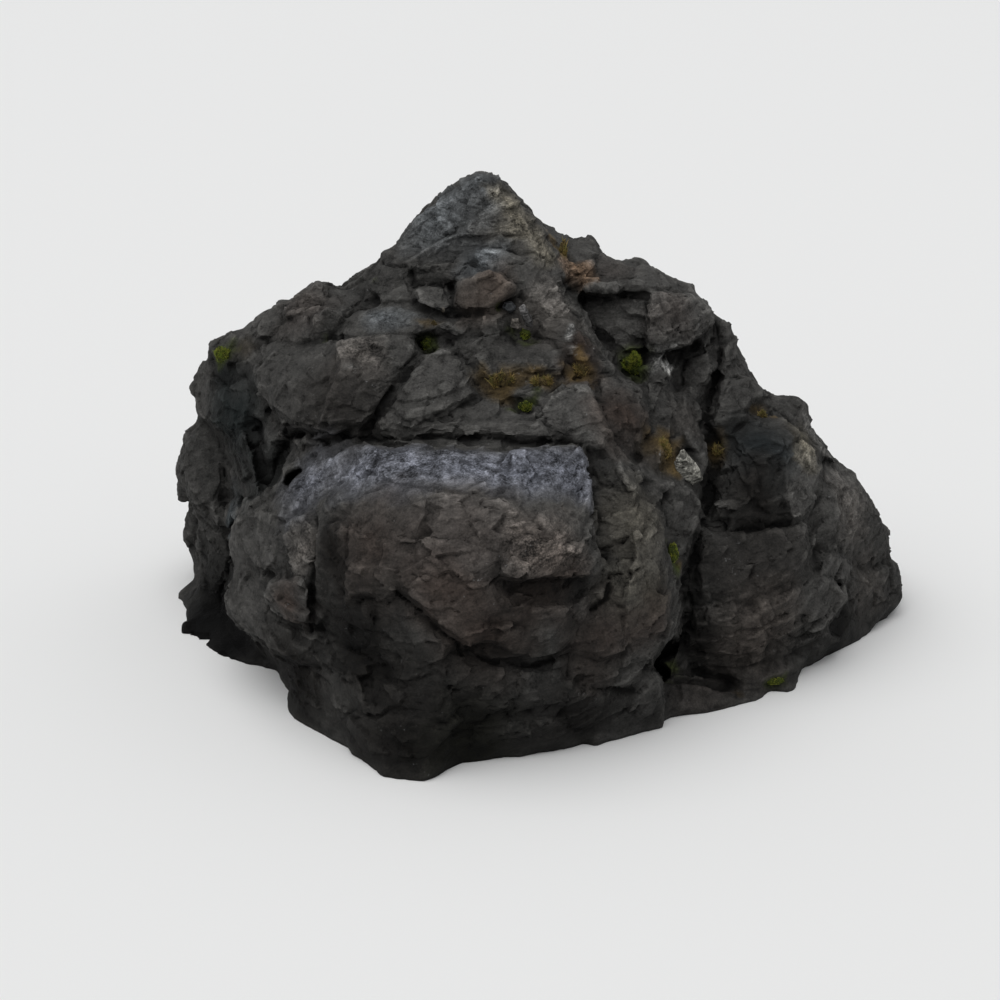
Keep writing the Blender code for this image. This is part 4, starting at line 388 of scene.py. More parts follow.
# %% Outlines: middle
BLOCK_FACES["middle"] = {
    "left slab": (0.02, [(-0.45, 0.98), (-0.38, 1), (-0.27, 0.93), (-0.17, 0.86), (-0.14, 0.75),
        (-0.11, 0.69), (-0.22, 0.62), (-0.36, 0.56), (-0.5, 0.53), (-0.62, 0.5), (-0.71, 0.6),
        (-0.63, 0.74), (-0.54, 0.86)]),
    "wedge": (0, [(-0.33, 1.04), (-0.2, 1.06), (-0.11, 1.05), (-0.18, 0.94), (-0.17, 0.88),
        (-0.26, 0.95)]),
    "main slab": (0.02, [(-0.1, 1.06), (0, 1.08), (0.1, 1.07), (0.2, 1.02), (0.34, 1.02), (0.38, 0.98),
        (0.42, 0.9), (0.41, 0.83), (0.3, 0.8), (0.2, 0.81), (0.12, 0.84), (0.02, 0.8), (-0.06, 0.8),
        (-0.12, 0.86), (-0.16, 0.94)]),
    "low slab": (0.01, [(-0.36, 0.57), (-0.2, 0.66), (-0.06, 0.69), (0.04, 0.66), (0.1, 0.6),
        (0.14, 0.56), (0.24, 0.53), (0, 0.525), (-0.12, 0.525), (-0.3, 0.535)]),
    "low strip": (0.02, [(-0.42, 0.51), (-0.12, 0.515), (0, 0.515), (0.25, 0.52), (0.31, 0.48),
        (0.36, 0.39), (0.2, 0.4), (0, 0.41), (-0.2, 0.41), (-0.4, 0.44), (-0.6, 0.44), (-0.58, 0.5)]),
    "buttress": (0.02, [(0.2, 0.57), (0.25, 0.66), (0.4, 0.74), (0.5, 0.8), (0.57, 0.77), (0.62, 0.66),
        (0.7, 0.5), (0.77, 0.36), (0.66, 0.33), (0.58, 0.37), (0.5, 0.38), (0.4, 0.42), (0.3, 0.5)]),
    "brown pillar": (0.02, [(0.65, 0.79), (0.74, 0.81), (0.84, 0.79), (0.92, 0.72), (0.94, 0.62),
        (0.98, 0.5), (0.97, 0.42), (0.9, 0.38), (0.82, 0.38), (0.75, 0.42), (0.7, 0.52),
        (0.66, 0.62)]),
    "spur block": (0.02, [(0.22, 1.06), (0.27, 1.14), (0.33, 1.17), (0.47, 1.17), (0.52, 1.11),
        (0.6, 0.99), (0.69, 0.89), (0.76, 0.84), (0.7, 0.82), (0.6, 0.81), (0.5, 0.86), (0.43, 0.9),
        (0.39, 0.97), (0.35, 1.03)]),
    "spur ridge": (0.03, [(0.37, 1.43), (0.45, 1.33), (0.53, 1.2), (0.62, 1.06), (0.72, 0.96),
        (0.8, 0.89), (0.84, 0.84), (0.79, 0.83), (0.7, 0.9), (0.61, 1.01), (0.53, 1.13), (0.48, 1.21),
        (0.4, 1.33)]),
}
print("middle:", len(BLOCK_FACES["middle"]), "faces")

# %% Outlines: right upper wall
BLOCK_FACES["right upper wall"] = {
    "knob": (0, [(0.47, 1.68), (0.53, 1.71), (0.62, 1.68), (0.66, 1.62), (0.6, 1.58), (0.52, 1.54),
        (0.45, 1.54), (0.45, 1.61)]),
    "orange shelf": (0.01, [(0.44, 1.51), (0.5, 1.535), (0.6, 1.57), (0.64, 1.5), (0.6, 1.45),
        (0.5, 1.44), (0.44, 1.45)]),
    "top left": (0, [(0.62, 1.58), (0.67, 1.61), (0.78, 1.57), (0.86, 1.5), (0.88, 1.45), (0.76, 1.44),
        (0.65, 1.47)]),
    "top right": (0, [(0.88, 1.52), (0.93, 1.55), (1, 1.51), (1.08, 1.5), (1.16, 1.41), (1.1, 1.38),
        (1, 1.38), (0.9, 1.42), (0.88, 1.46)]),
    "lintel": (0.03, [(0.52, 1.36), (0.53, 1.42), (0.62, 1.43), (0.78, 1.43), (0.79, 1.36),
        (0.77, 1.33), (0.66, 1.33), (0.56, 1.34)]),
    "lintel, right": (0.02, [(0.81, 1.35), (0.81, 1.42), (0.88, 1.44), (0.95, 1.4), (0.95, 1.34),
        (0.88, 1.33)]),
    "recess wall": (0, [(0.55, 1.32), (0.66, 1.32), (0.8, 1.32), (0.94, 1.31), (0.95, 1.2),
        (0.94, 1.05), (0.9, 0.97), (0.84, 0.96), (0.78, 1), (0.7, 1.06), (0.6, 1.13), (0.55, 1.2)]),
    "big block": (0.03, [(0.97, 1.35), (1.05, 1.36), (1.2, 1.35), (1.3, 1.33), (1.37, 1.26),
        (1.39, 1.16), (1.36, 1.12), (1.3, 1.06), (1.2, 1), (1.08, 0.97), (0.96, 0.95), (0.95, 1.08),
        (0.96, 1.22)]),
    "fin": (0, [(1.395, 1.14), (1.35, 1.11), (1.33, 1.04), (1.31, 0.99), (1.37, 0.97), (1.385, 1.05)]),
    "pillar": (0, [(0.94, 0.92), (1, 0.95), (1.06, 0.955), (1.04, 0.87), (1.09, 0.81), (1.08, 0.76),
        (1, 0.76), (0.95, 0.8), (0.93, 0.86)]),
    "pale facet": (0.02, [(1.075, 0.96), (1.1, 0.92), (1.12, 0.86), (1.12, 0.79), (1.085, 0.82),
        (1.045, 0.87), (1.055, 0.92)]),
    "hanging wedge": (0, [(1.1, 0.965), (1.19, 0.985), (1.16, 0.92), (1.14, 0.86), (1.13, 0.8),
        (1.12, 0.88)]),
    "low pillar": (0.01, [(0.95, 0.77), (1.08, 0.75), (1.12, 0.71), (1.16, 0.62), (1.12, 0.54),
        (1.06, 0.52), (1, 0.52), (0.98, 0.6), (0.96, 0.7)]),
    "second pillar": (0.01, [(1.21, 0.93), (1.3, 0.97), (1.36, 0.96), (1.37, 0.86), (1.36, 0.77),
        (1.31, 0.75), (1.25, 0.76), (1.21, 0.82)]),
    "second pillar's foot": (0, [(1.23, 0.74), (1.34, 0.74), (1.37, 0.72), (1.33, 0.65), (1.3, 0.58),
        (1.26, 0.62), (1.24, 0.68)]),
    "gully rib": (0.02, [(1.19, 0.72), (1.22, 0.7), (1.27, 0.58), (1.31, 0.46), (1.36, 0.36),
        (1.33, 0.36), (1.26, 0.46), (1.21, 0.58), (1.18, 0.66)]),
    "upper shard": (0, [(1.42, 1.22), (1.44, 1.18), (1.5, 1.16), (1.52, 1.08), (1.48, 1.06), (1.46, 1),
        (1.43, 1.02), (1.42, 1.1)]),
    "middle shard": (0.01, [(1.46, 1.02), (1.5, 1.06), (1.56, 1), (1.6, 0.91), (1.52, 0.91),
        (1.46, 0.88), (1.45, 0.94)]),
    "low shard": (0, [(1.45, 0.86), (1.52, 0.9), (1.6, 0.9), (1.63, 0.84), (1.6, 0.8), (1.52, 0.8),
        (1.46, 0.8)]),
    "wall": (0, [(1.41, 0.6), (1.46, 0.7), (1.5, 0.78), (1.6, 0.79), (1.66, 0.79), (1.72, 0.7),
        (1.7, 0.64), (1.62, 0.585), (1.5, 0.56), (1.42, 0.57)]),
    "wall's bulge": (0.02, [(1.39, 0.54), (1.5, 0.55), (1.62, 0.57), (1.62, 0.52), (1.55, 0.48),
        (1.5, 0.42), (1.42, 0.42), (1.38, 0.46)]),
}
print("right upper wall:", len(BLOCK_FACES["right upper wall"]), "faces")

# %% Outlines: gully and lobes
BLOCK_FACES["gully and lobes"] = {
    "dark recess": (-0.02, [(0.56, 0.34), (0.68, 0.32), (0.76, 0.18), (0.82, 0.07), (0.76, 0.06),
        (0.66, 0.09), (0.6, 0.2)]),
    "light ridge": (0.02, [(0.68, 0.42), (0.74, 0.41), (0.82, 0.28), (0.91, 0.19), (0.92, 0.1),
        (0.9, 0.04), (0.83, 0.06), (0.77, 0.19), (0.7, 0.32)]),
    "upper lobe": (0, [(0.61, 0.08), (0.7, 0.09), (0.8, 0.06), (0.89, 0.04), (0.9, -0.05),
        (0.88, -0.18), (0.8, -0.27), (0.7, -0.33), (0.62, -0.3), (0.6, -0.1)]),
    "main lobe": (0.02, [(0.91, 0.03), (1, -0.03), (1.05, -0.08), (1.07, -0.2), (1.07, -0.36),
        (1.11, -0.5), (1.12, -0.64), (1.1, -0.78), (1.06, -0.92), (1, -1.03), (0.92, -1.06),
        (0.86, -1), (0.81, -0.9), (0.81, -0.7), (0.83, -0.5), (0.88, -0.36), (0.86, -0.26),
        (0.89, -0.12)]),
    "lobe's edge": (0, [(1.11, -0.5), (1.17, -0.58), (1.21, -0.66), (1.2, -0.8), (1.12, -0.94),
        (1.04, -1.04), (1.08, -0.92), (1.11, -0.78), (1.13, -0.64)]),
    "right lobe": (0.01, [(1.12, 0.02), (1.2, 0), (1.26, -0.05), (1.29, -0.12), (1.26, -0.2),
        (1.16, -0.22), (1.09, -0.18), (1.07, -0.06)]),
    "ochre lobe": (-0.01, [(1.08, -0.23), (1.16, -0.24), (1.26, -0.22), (1.22, -0.38), (1.18, -0.5),
        (1.17, -0.56), (1.11, -0.46), (1.08, -0.34)]),
    "fins": (0, [(0.72, -0.42), (0.8, -0.38), (0.86, -0.38), (0.82, -0.52), (0.79, -0.64),
        (0.72, -0.63), (0.7, -0.54)]),
    "low lobe": (0, [(0.6, -0.72), (0.7, -0.66), (0.8, -0.7), (0.8, -0.84), (0.79, -0.98),
        (0.68, -1.04), (0.56, -1), (0.46, -0.98), (0.5, -0.86)]),
    "foot lobe": (0, [(0.46, -1.01), (0.66, -1.06), (0.8, -1.01), (0.92, -1.08), (0.9, -1.15),
        (0.85, -1.22), (0.7, -1.23), (0.56, -1.22), (0.44, -1.14)]),
    "foot flake": (0.02, [(0.9, -1.2), (0.98, -1.12), (1.03, -1.06), (1.05, -1.14), (1.04, -1.26),
        (1, -1.4), (0.9, -1.44), (0.83, -1.36), (0.87, -1.26)]),
}
print("gully and lobes:", len(BLOCK_FACES["gully and lobes"]), "faces")

# %% Outlines: boulder
BLOCK_FACES["boulder"] = {
    "crown, left": (0.02, [(-1.62, -0.1), (-1.5, 0), (-1.36, 0.1), (-1.22, 0.24), (-1, 0.33),
        (-0.86, 0.37), (-0.77, 0.33), (-0.84, 0.2), (-0.96, 0.12), (-1.1, 0.06), (-1.24, -0.02),
        (-1.36, -0.1), (-1.5, -0.17)]),
    "crown, middle": (0.02, [(-0.75, 0.32), (-0.66, 0.31), (-0.58, 0.35), (-0.3, 0.32), (0.05, 0.31),
        (0.05, 0.12), (-0.1, 0.03), (-0.3, 0.07), (-0.5, 0.09), (-0.7, 0.11), (-0.83, 0.19)]),
    "crown, right": (0.02, [(0.07, 0.32), (0.3, 0.34), (0.44, 0.36), (0.53, 0.35), (0.56, 0.22),
        (0.59, 0.1), (0.6, -0.08), (0.6, -0.26), (0.5, -0.28), (0.36, -0.24), (0.2, -0.1), (0.1, 0),
        (0.06, 0.12)]),
    "face, left": (0.01, [(-0.97, 0.1), (-0.84, 0.18), (-0.7, 0.1), (-0.5, 0.08), (-0.46, -0.06),
        (-0.52, -0.2), (-0.56, -0.3), (-0.7, -0.38), (-0.88, -0.4), (-0.99, -0.36), (-1, -0.22),
        (-0.96, -0.14)]),
    "face, middle": (0, [(-0.5, 0.07), (-0.3, 0.05), (-0.1, 0.02), (0.05, 0.01), (0.16, -0.1),
        (0.13, -0.26), (0, -0.3), (-0.02, -0.42), (-0.2, -0.5), (-0.4, -0.52), (-0.52, -0.44),
        (-0.54, -0.28), (-0.46, -0.08)]),
    "face, right": (0.03, [(0.14, -0.22), (0.36, -0.25), (0.5, -0.29), (0.6, -0.28), (0.66, -0.38),
        (0.7, -0.42), (0.62, -0.5), (0.5, -0.49), (0.3, -0.5), (0.1, -0.51), (0, -0.5), (-0.01, -0.38),
        (0.06, -0.3)]),
    "recess under the face": (-0.02, [(0.02, -0.52), (0.3, -0.51), (0.53, -0.51), (0.56, -0.56),
        (0.52, -0.66), (0.3, -0.68), (0.1, -0.68), (0.04, -0.6)]),
    "right flake": (0, [(0.19, -0.7), (0.3, -0.69), (0.47, -0.69), (0.42, -0.8), (0.36, -0.92),
        (0.26, -0.96), (0.15, -0.94), (0.19, -0.8)]),
    "left flake": (0, [(-0.06, -0.75), (0.1, -0.72), (0.16, -0.8), (0.12, -0.94), (0, -0.96),
        (-0.1, -0.9), (-0.08, -0.82)]),
    "belly": (0.02, [(-0.62, -0.56), (-0.5, -0.48), (-0.3, -0.54), (-0.04, -0.52), (0.05, -0.66),
        (-0.08, -0.73), (-0.12, -0.9), (-0.2, -0.96), (-0.34, -0.84), (-0.48, -0.72)]),
    "jaw, left": (0.01, [(-0.98, -0.4), (-0.8, -0.42), (-0.65, -0.44), (-0.66, -0.6), (-0.78, -0.66),
        (-0.9, -0.62), (-1, -0.68), (-1.06, -0.64), (-1, -0.52)]),
    "jaw, right": (0, [(-0.84, -0.68), (-0.74, -0.68), (-0.66, -0.63), (-0.54, -0.75), (-0.42, -0.86),
        (-0.33, -0.96), (-0.36, -1.04), (-0.5, -1.1), (-0.7, -1.1), (-0.78, -1.02), (-0.8, -0.86)]),
    "jaw, low": (0, [(-1.1, -0.71), (-0.98, -0.7), (-0.86, -0.7), (-0.82, -0.86), (-0.88, -0.97),
        (-1.04, -0.91), (-1.14, -0.84)]),
    "slot": (0.1, [(-1.21, -0.16), (-1.04, -0.14), (-0.995, -0.2), (-1, -0.5), (-1.03, -0.66),
        (-1.12, -0.8), (-1.21, -0.8)]),
    "upper post": (0.03, [(-1.44, -0.16), (-1.3, -0.1), (-1.22, -0.16), (-1.22, -0.36), (-1.24, -0.5),
        (-1.34, -0.48), (-1.38, -0.36), (-1.4, -0.26)]),
    "lower post": (0.03, [(-1.5, -0.53), (-1.38, -0.51), (-1.25, -0.53), (-1.24, -0.8), (-1.34, -0.8),
        (-1.46, -0.72), (-1.53, -0.62)]),
    "left boss": (0.02, [(-1.68, -0.26), (-1.6, -0.18), (-1.5, -0.19), (-1.45, -0.24), (-1.46, -0.4),
        (-1.52, -0.46), (-1.6, -0.42), (-1.66, -0.34)]),
    "wing": (0.02, [(-1.78, -0.66), (-1.68, -0.5), (-1.55, -0.54), (-1.5, -0.7), (-1.36, -0.82),
        (-1.2, -0.87), (-1.1, -0.94), (-1.2, -1), (-1.4, -1.02), (-1.56, -0.94), (-1.66, -0.84),
        (-1.74, -0.76)]),
    "under the wing": (0, [(-1.18, -0.88), (-1, -0.95), (-0.8, -1.05), (-0.7, -1.12), (-0.9, -1.16),
        (-1.1, -1.08), (-1.28, -1.04)]),
}
print("boulder:", len(BLOCK_FACES["boulder"]), "faces")

# %% Outlines: foot
BLOCK_FACES["foot"] = {
    "left": (0, [(-1.36, -1.08), (-1.1, -1.1), (-0.9, -1.17), (-0.87, -1.3), (-1, -1.4), (-1.1, -1.5),
        (-1.24, -1.4), (-1.32, -1.26)]),
    "middle": (0, [(-0.85, -1.17), (-0.6, -1.18), (-0.4, -1.12), (-0.32, -1.24), (-0.4, -1.38),
        (-0.6, -1.36), (-0.8, -1.34)]),
    "front": (0, [(-1, -1.44), (-0.8, -1.38), (-0.6, -1.4), (-0.4, -1.44), (-0.3, -1.5), (-0.4, -1.62),
        (-0.5, -1.68), (-0.7, -1.7), (-0.9, -1.64)]),
    "green slab": (0, [(-0.36, -1.08), (-0.1, -1.06), (0.16, -1.1), (0.4, -1.1), (0.46, -1.2),
        (0.4, -1.3), (0.1, -1.34), (-0.14, -1.38), (-0.3, -1.3)]),
    "ledge": (0.02, [(-0.2, -1.46), (0.1, -1.42), (0.34, -1.4), (0.42, -1.46), (0.3, -1.53),
        (0, -1.57), (-0.2, -1.62)]),
    "right": (0, [(0.46, -1.24), (0.66, -1.26), (0.82, -1.28), (0.86, -1.4), (0.7, -1.49),
        (0.46, -1.49), (0.42, -1.36)]),
}
print("foot:", len(BLOCK_FACES["foot"]), "faces")

# %% Outlines: right boulder
BLOCK_FACES["right boulder"] = {
    "cap": (0.01, [(1.66, 0.64), (1.76, 0.69), (1.88, 0.68), (1.96, 0.62), (2.03, 0.48), (1.96, 0.45),
        (1.9, 0.5), (1.84, 0.55), (1.76, 0.6)]),
    "olive slope": (0, [(1.97, 0.6), (2.05, 0.46), (2.12, 0.33), (2.2, 0.24), (2.12, 0.26),
        (2.04, 0.37), (1.97, 0.46)]),
    "upper head": (0.03, [(1.5, 0.42), (1.6, 0.5), (1.72, 0.52), (1.84, 0.52), (1.95, 0.45),
        (1.92, 0.38), (1.84, 0.3), (1.7, 0.24), (1.6, 0.28), (1.52, 0.34)]),
    "lower head": (0, [(1.61, 0.22), (1.7, 0.23), (1.8, 0.28), (1.84, 0.14), (1.84, 0), (1.8, -0.08),
        (1.74, -0.1), (1.68, -0.04), (1.62, 0.04)]),
    "right head": (0.02, [(1.86, 0.32), (1.96, 0.4), (2.04, 0.34), (2.09, 0.22), (2.07, 0.08),
        (2.03, -0.02), (1.96, -0.12), (1.9, -0.12), (1.86, 0), (1.85, 0.16)]),
    "left head": (0, [(1.42, 0.24), (1.5, 0.33), (1.58, 0.26), (1.6, 0.12), (1.5, 0.04), (1.42, 0),
        (1.38, 0.1)]),
    "neck": (0, [(1.38, -0.03), (1.5, 0.02), (1.6, -0.02), (1.7, -0.08), (1.78, -0.12), (1.62, -0.17),
        (1.5, -0.18), (1.42, -0.14)]),
    "cracked shoulder": (0, [(2.12, 0.28), (2.22, 0.22), (2.33, 0.14), (2.3, 0.08), (2.2, 0.07),
        (2.12, 0.12), (2.1, 0.2)]),
    "left column": (0, [(2.1, 0.09), (2.2, 0.06), (2.21, -0.08), (2.16, -0.24), (2.1, -0.36),
        (2.04, -0.3), (2.02, -0.1), (2.08, 0.02)]),
    "right column": (0, [(2.23, 0.06), (2.33, 0.1), (2.41, -0.02), (2.36, -0.14), (2.29, -0.26),
        (2.24, -0.34), (2.18, -0.26), (2.22, -0.1)]),
    "bowl": (-0.02, [(2.35, -0.16), (2.44, -0.1), (2.5, -0.2), (2.52, -0.34), (2.44, -0.42),
        (2.36, -0.46), (2.3, -0.36), (2.3, -0.26)]),
    "tail": (0, [(2.44, -0.45), (2.57, -0.41), (2.61, -0.43), (2.61, -0.62), (2.6, -0.69),
        (2.5, -0.69), (2.45, -0.62), (2.4, -0.52)]),
    "inner tail": (0, [(2.29, -0.47), (2.39, -0.5), (2.43, -0.62), (2.45, -0.75), (2.41, -0.81),
        (2.34, -0.78), (2.28, -0.66), (2.26, -0.54)]),
    "chest": (0.02, [(1.5, -0.22), (1.64, -0.21), (1.8, -0.18), (1.94, -0.15), (2, -0.17), (2, -0.34),
        (1.98, -0.5), (1.84, -0.56), (1.67, -0.6), (1.64, -0.44), (1.6, -0.32)]),
    "left chest": (0, [(1.34, -0.24), (1.48, -0.22), (1.58, -0.32), (1.63, -0.42), (1.62, -0.52),
        (1.54, -0.6), (1.42, -0.62), (1.3, -0.58), (1.28, -0.4)]),
    "waist": (0, [(1.66, -0.66), (1.8, -0.62), (1.98, -0.55), (2.1, -0.49), (2.24, -0.5),
        (2.26, -0.64), (2.16, -0.78), (2.06, -0.92), (1.9, -0.98), (1.76, -0.9), (1.71, -0.78)]),
    "left waist": (0, [(1.25, -0.72), (1.4, -0.66), (1.58, -0.68), (1.69, -0.76), (1.74, -0.9),
        (1.7, -1.04), (1.54, -1.08), (1.36, -1.06), (1.27, -0.92)]),
    "skirt": (0, [(1.34, -1.08), (1.54, -1.1), (1.74, -1.04), (1.92, -0.99), (2.01, -1.02),
        (1.96, -1.08), (1.92, -1.13), (1.7, -1.17), (1.5, -1.14)]),
    "foot slab": (0.02, [(1.08, -1.15), (1.24, -1.13), (1.4, -1.17), (1.52, -1.23), (1.54, -1.3),
        (1.42, -1.35), (1.2, -1.37), (1.08, -1.35), (1.05, -1.24)]),
}
print("right boulder:", len(BLOCK_FACES["right boulder"]), "faces")

# %% Outlines: filled gaps
BLOCK_FACES["filled gaps"] = {
    "foot of the columns": (0.04, [(2.08, -0.38), (2.2, -0.34), (2.3, -0.44), (2.29, -0.54), (2.2, -0.54),
        (2.08, -0.48)]),
    "under the head": (0.03, [(-0.62, 1.44), (-0.45, 1.49), (-0.26, 1.5), (-0.22, 1.44), (-0.36, 1.4),
        (-0.58, 1.38)]),
}
print("filled gaps:", len(BLOCK_FACES["filled gaps"]), "faces")

# %% [markdown]
# ## A skin for each face
# An outline says nothing about depth. That comes from the solid: rays through the outline meet it at
# many places, and a plane with a gentle bend is fitted to them. Places that lie deeper than the rest
# are grooves and hardly count, and a little stiffness keeps the bend small where there are few places.
# A plain average would sink into the grooves, and a free curve would follow them.

# %% Fit a skin to each face
SAMPLE_STEP = 0.03
GROOVE_LIMIT = 0.035
GROOVE_WEIGHT = 0.12
DEEP_GROOVE_LIMIT = 0.25
DEEP_GROOVE_WEIGHT = 0.012
STIFFNESS = 0.008
FEWEST_HITS = 5
FIT_ROUNDS = 5


def inside_outline(points, outline):
    """For each board point, whether it lies inside the outline, and how far it is from the outline's edge."""
    inside = np.zeros(len(points), dtype=bool)
    edge = np.full(len(points), 1e3)
    for start, end in zip(outline, outline[1:] + outline[:1]):
        start, end = np.array(start), np.array(end)
        along = end - start
        crosses = (start[1] > points[:, 1]) != (end[1] > points[:, 1])
        where = start[0] + along[0] * (points[:, 1] - start[1]) / (along[1] if along[1] else 1e-9)
        inside ^= crosses & (points[:, 0] < where)
        share = np.clip(((points - start) @ along) / (along @ along), 0, 1)
        edge = np.minimum(edge, np.linalg.norm(points - start - share[:, None] * along, axis=1))
    return inside, edge


def skin_terms(points, middle):
    """The terms of a plane with a gentle bend."""
    x, y = (points - middle).T
    return np.stack([np.ones(len(points)), x, y, x * x, x * y, y * y], axis=1)


def fitted_skin(outline):
    """The smooth distance from the camera's place over a face: its middle and the factors of its terms."""
    corners = np.array(outline)
    middle = corners.mean(axis=0)
    low, high = corners.min(axis=0), corners.max(axis=0)
    across = np.arange(low[0], high[0], SAMPLE_STEP)
    up = np.arange(low[1], high[1], SAMPLE_STEP)
    grid = np.stack(np.meshgrid(across, up), axis=-1).reshape(-1, 2)
    grid = grid[inside_outline(grid, outline)[0]]
    hits = [(place, on_rock(*place)) for place in grid]
    hits = [(place, (hit - station).length) for place, hit in hits if hit is not None]
    if len(hits) < FEWEST_HITS:
        return None
    places = np.array([place for place, _ in hits])
    ranges = np.array([reach for _, reach in hits])
    terms = skin_terms(places, middle)
    stiff = np.diag([0, 0, 0, 1, 1, 1]) * STIFFNESS * math.sqrt(len(hits))
    weight = np.where(ranges > np.median(ranges) + DEEP_GROOVE_LIMIT, DEEP_GROOVE_WEIGHT, 1.0)
    for _ in range(FIT_ROUNDS):
        system = np.vstack([terms * weight[:, None], stiff])
        known = np.concatenate([ranges * weight, np.zeros(6)])
        factors = np.linalg.lstsq(system, known, rcond=None)[0]
        weight = np.where(ranges > terms @ factors + GROOVE_LIMIT, GROOVE_WEIGHT, 1.0)
    return middle, factors


skins = []
for part, faces in BLOCK_FACES.items():
    for name, (stands_out, outline) in faces.items():
        skin = fitted_skin(outline)
        if skin:
            skins.append((part + ": " + name, stands_out, outline, *skin))
print("skins fitted:", len(skins))

# %% [markdown]
# ## Drawing the surface on to the skins
# The front of the rock is moved along the lines of sight on to the skin of the face that is seen there,
# lower by a little along its edge. Between faces it stops at the floor of a shallow groove. So blocks
# close up to each other with thin cracks between them, as in a real outcrop, and the size and place of
# everything still come from the solid. Nothing moves near the loose stones and plants or at the ground.
# A voxel remesh before and after gives even squares to move, and merges what has folded over.

# %% Draw the surface on to the skins
FACE_VOXEL = 0.017
MERGING_VOXEL = 0.0136
EDGE_DROP = 0.016
EDGE_WIDTH = 0.020
GROOVE_FLOOR = 0.032
GROOVE_REACH = 0.12
GROOVE_DEEPEST = 0.22
FARTHEST = 0.45
MOST_FILLED = 0.32
MOST_CUT = 0.08
LARGEST_FACE = 0.75
TURNED_AWAY = -0.3
# from where nothing moves to where everything may
ROOM = (0.02, 0.10)
TURN = (TURNED_AWAY, 0.1)
ABOVE_GROUND = (0.02, 0.12)


def smooth_share(value, low, high):
    """0 below low, 1 above high, eased between them."""
    share = np.clip((value - low) / (high - low), 0, 1)
    return share * share * (3 - 2 * share)


def mesh_values(mesh, name):
    values = np.empty(len(mesh.vertices) * 3)
    mesh.vertices.foreach_get(name, values)
    return values.reshape(-1, 3)


def seen_from_station(mesh):
    """Each vertex's line of sight, distance, place on the board, and how far it faces the camera."""
    sight = mesh_values(mesh, "co") - np.array(station)
    ranges = np.linalg.norm(sight, axis=1)
    sight = sight / ranges[:, None]
    scale = STATION_DISTANCE / (sight @ np.array(board_away))
    board = np.stack([(sight @ np.array(board_right)) * scale, (sight @ np.array(board_up)) * scale], axis=1)
    return sight, ranges, board, -(mesh_values(mesh, "normal") * sight).sum(axis=1)


def vertices_near(middle, board, facing):
    """The numbers of the vertices that could belong to a face."""
    return np.flatnonzero((facing > TURNED_AWAY) & (np.abs(board - middle) < LARGEST_FACE).all(axis=1))


def draw_faces(obj):
    """Moves the front of the rock along the lines of sight, on to the skin of the face that is seen there."""
    places = mesh_values(obj.data, "co")
    sight, ranges, board, facing = seen_from_station(obj.data)
    target = np.full(len(places), np.inf)
    groove = np.full(len(places), -np.inf)
    for _, stands_out, outline, middle, factors in skins:
        close = vertices_near(middle, board, facing)
        inside, edge = inside_outline(board[close], outline)
        skin = skin_terms(board[close], middle) @ factors - stands_out
        close_by = np.abs(skin - ranges[close]) < FARTHEST
        face = inside & close_by
        target[close[face]] = skin[face] + EDGE_DROP * np.exp(-edge[face] / EDGE_WIDTH)
        beside = ~inside & (edge < GROOVE_REACH) & (np.abs(skin - ranges[close]) < GROOVE_DEEPEST)
        groove[close[beside]] = np.maximum(groove[close[beside]], skin[beside] + GROOVE_FLOOR)
    in_groove = np.isinf(target) & (groove > 0) & (ranges > groove)
    target = np.where(in_groove, groove, target)
    change = np.where(np.isinf(target), 0.0, np.clip(target - ranges, -MOST_FILLED, MOST_CUT))
    kept_things = surface_of(*(node.data for name, node in nodes.items() if name != "rock"))
    room = np.array([kept_things.find_nearest(Vector(place))[3] for place in places])
    change *= smooth_share(room, *ROOM)
    change *= smooth_share(facing, *TURN)
    change *= smooth_share(places[:, 2], *ABOVE_GROUND)
    obj.data.vertices.foreach_set("co", (np.array(station) + sight * (ranges + change)[:, None]).ravel())
    obj.data.update()
    print("moved by", round(float(np.abs(change).mean()), 4), "m on average")
    print("moved out by", round(float(-change.min()), 3), "m at most")


run_modifier(outcrop, "REMESH", mode="VOXEL", voxel_size=FACE_VOXEL)
draw_faces(outcrop)
run_modifier(outcrop, "REMESH", mode="VOXEL", voxel_size=MERGING_VOXEL)
solid_rock = surface_of(outcrop.data)
print("faces drawn:", len(outcrop.data.polygons), "faces in the mesh")
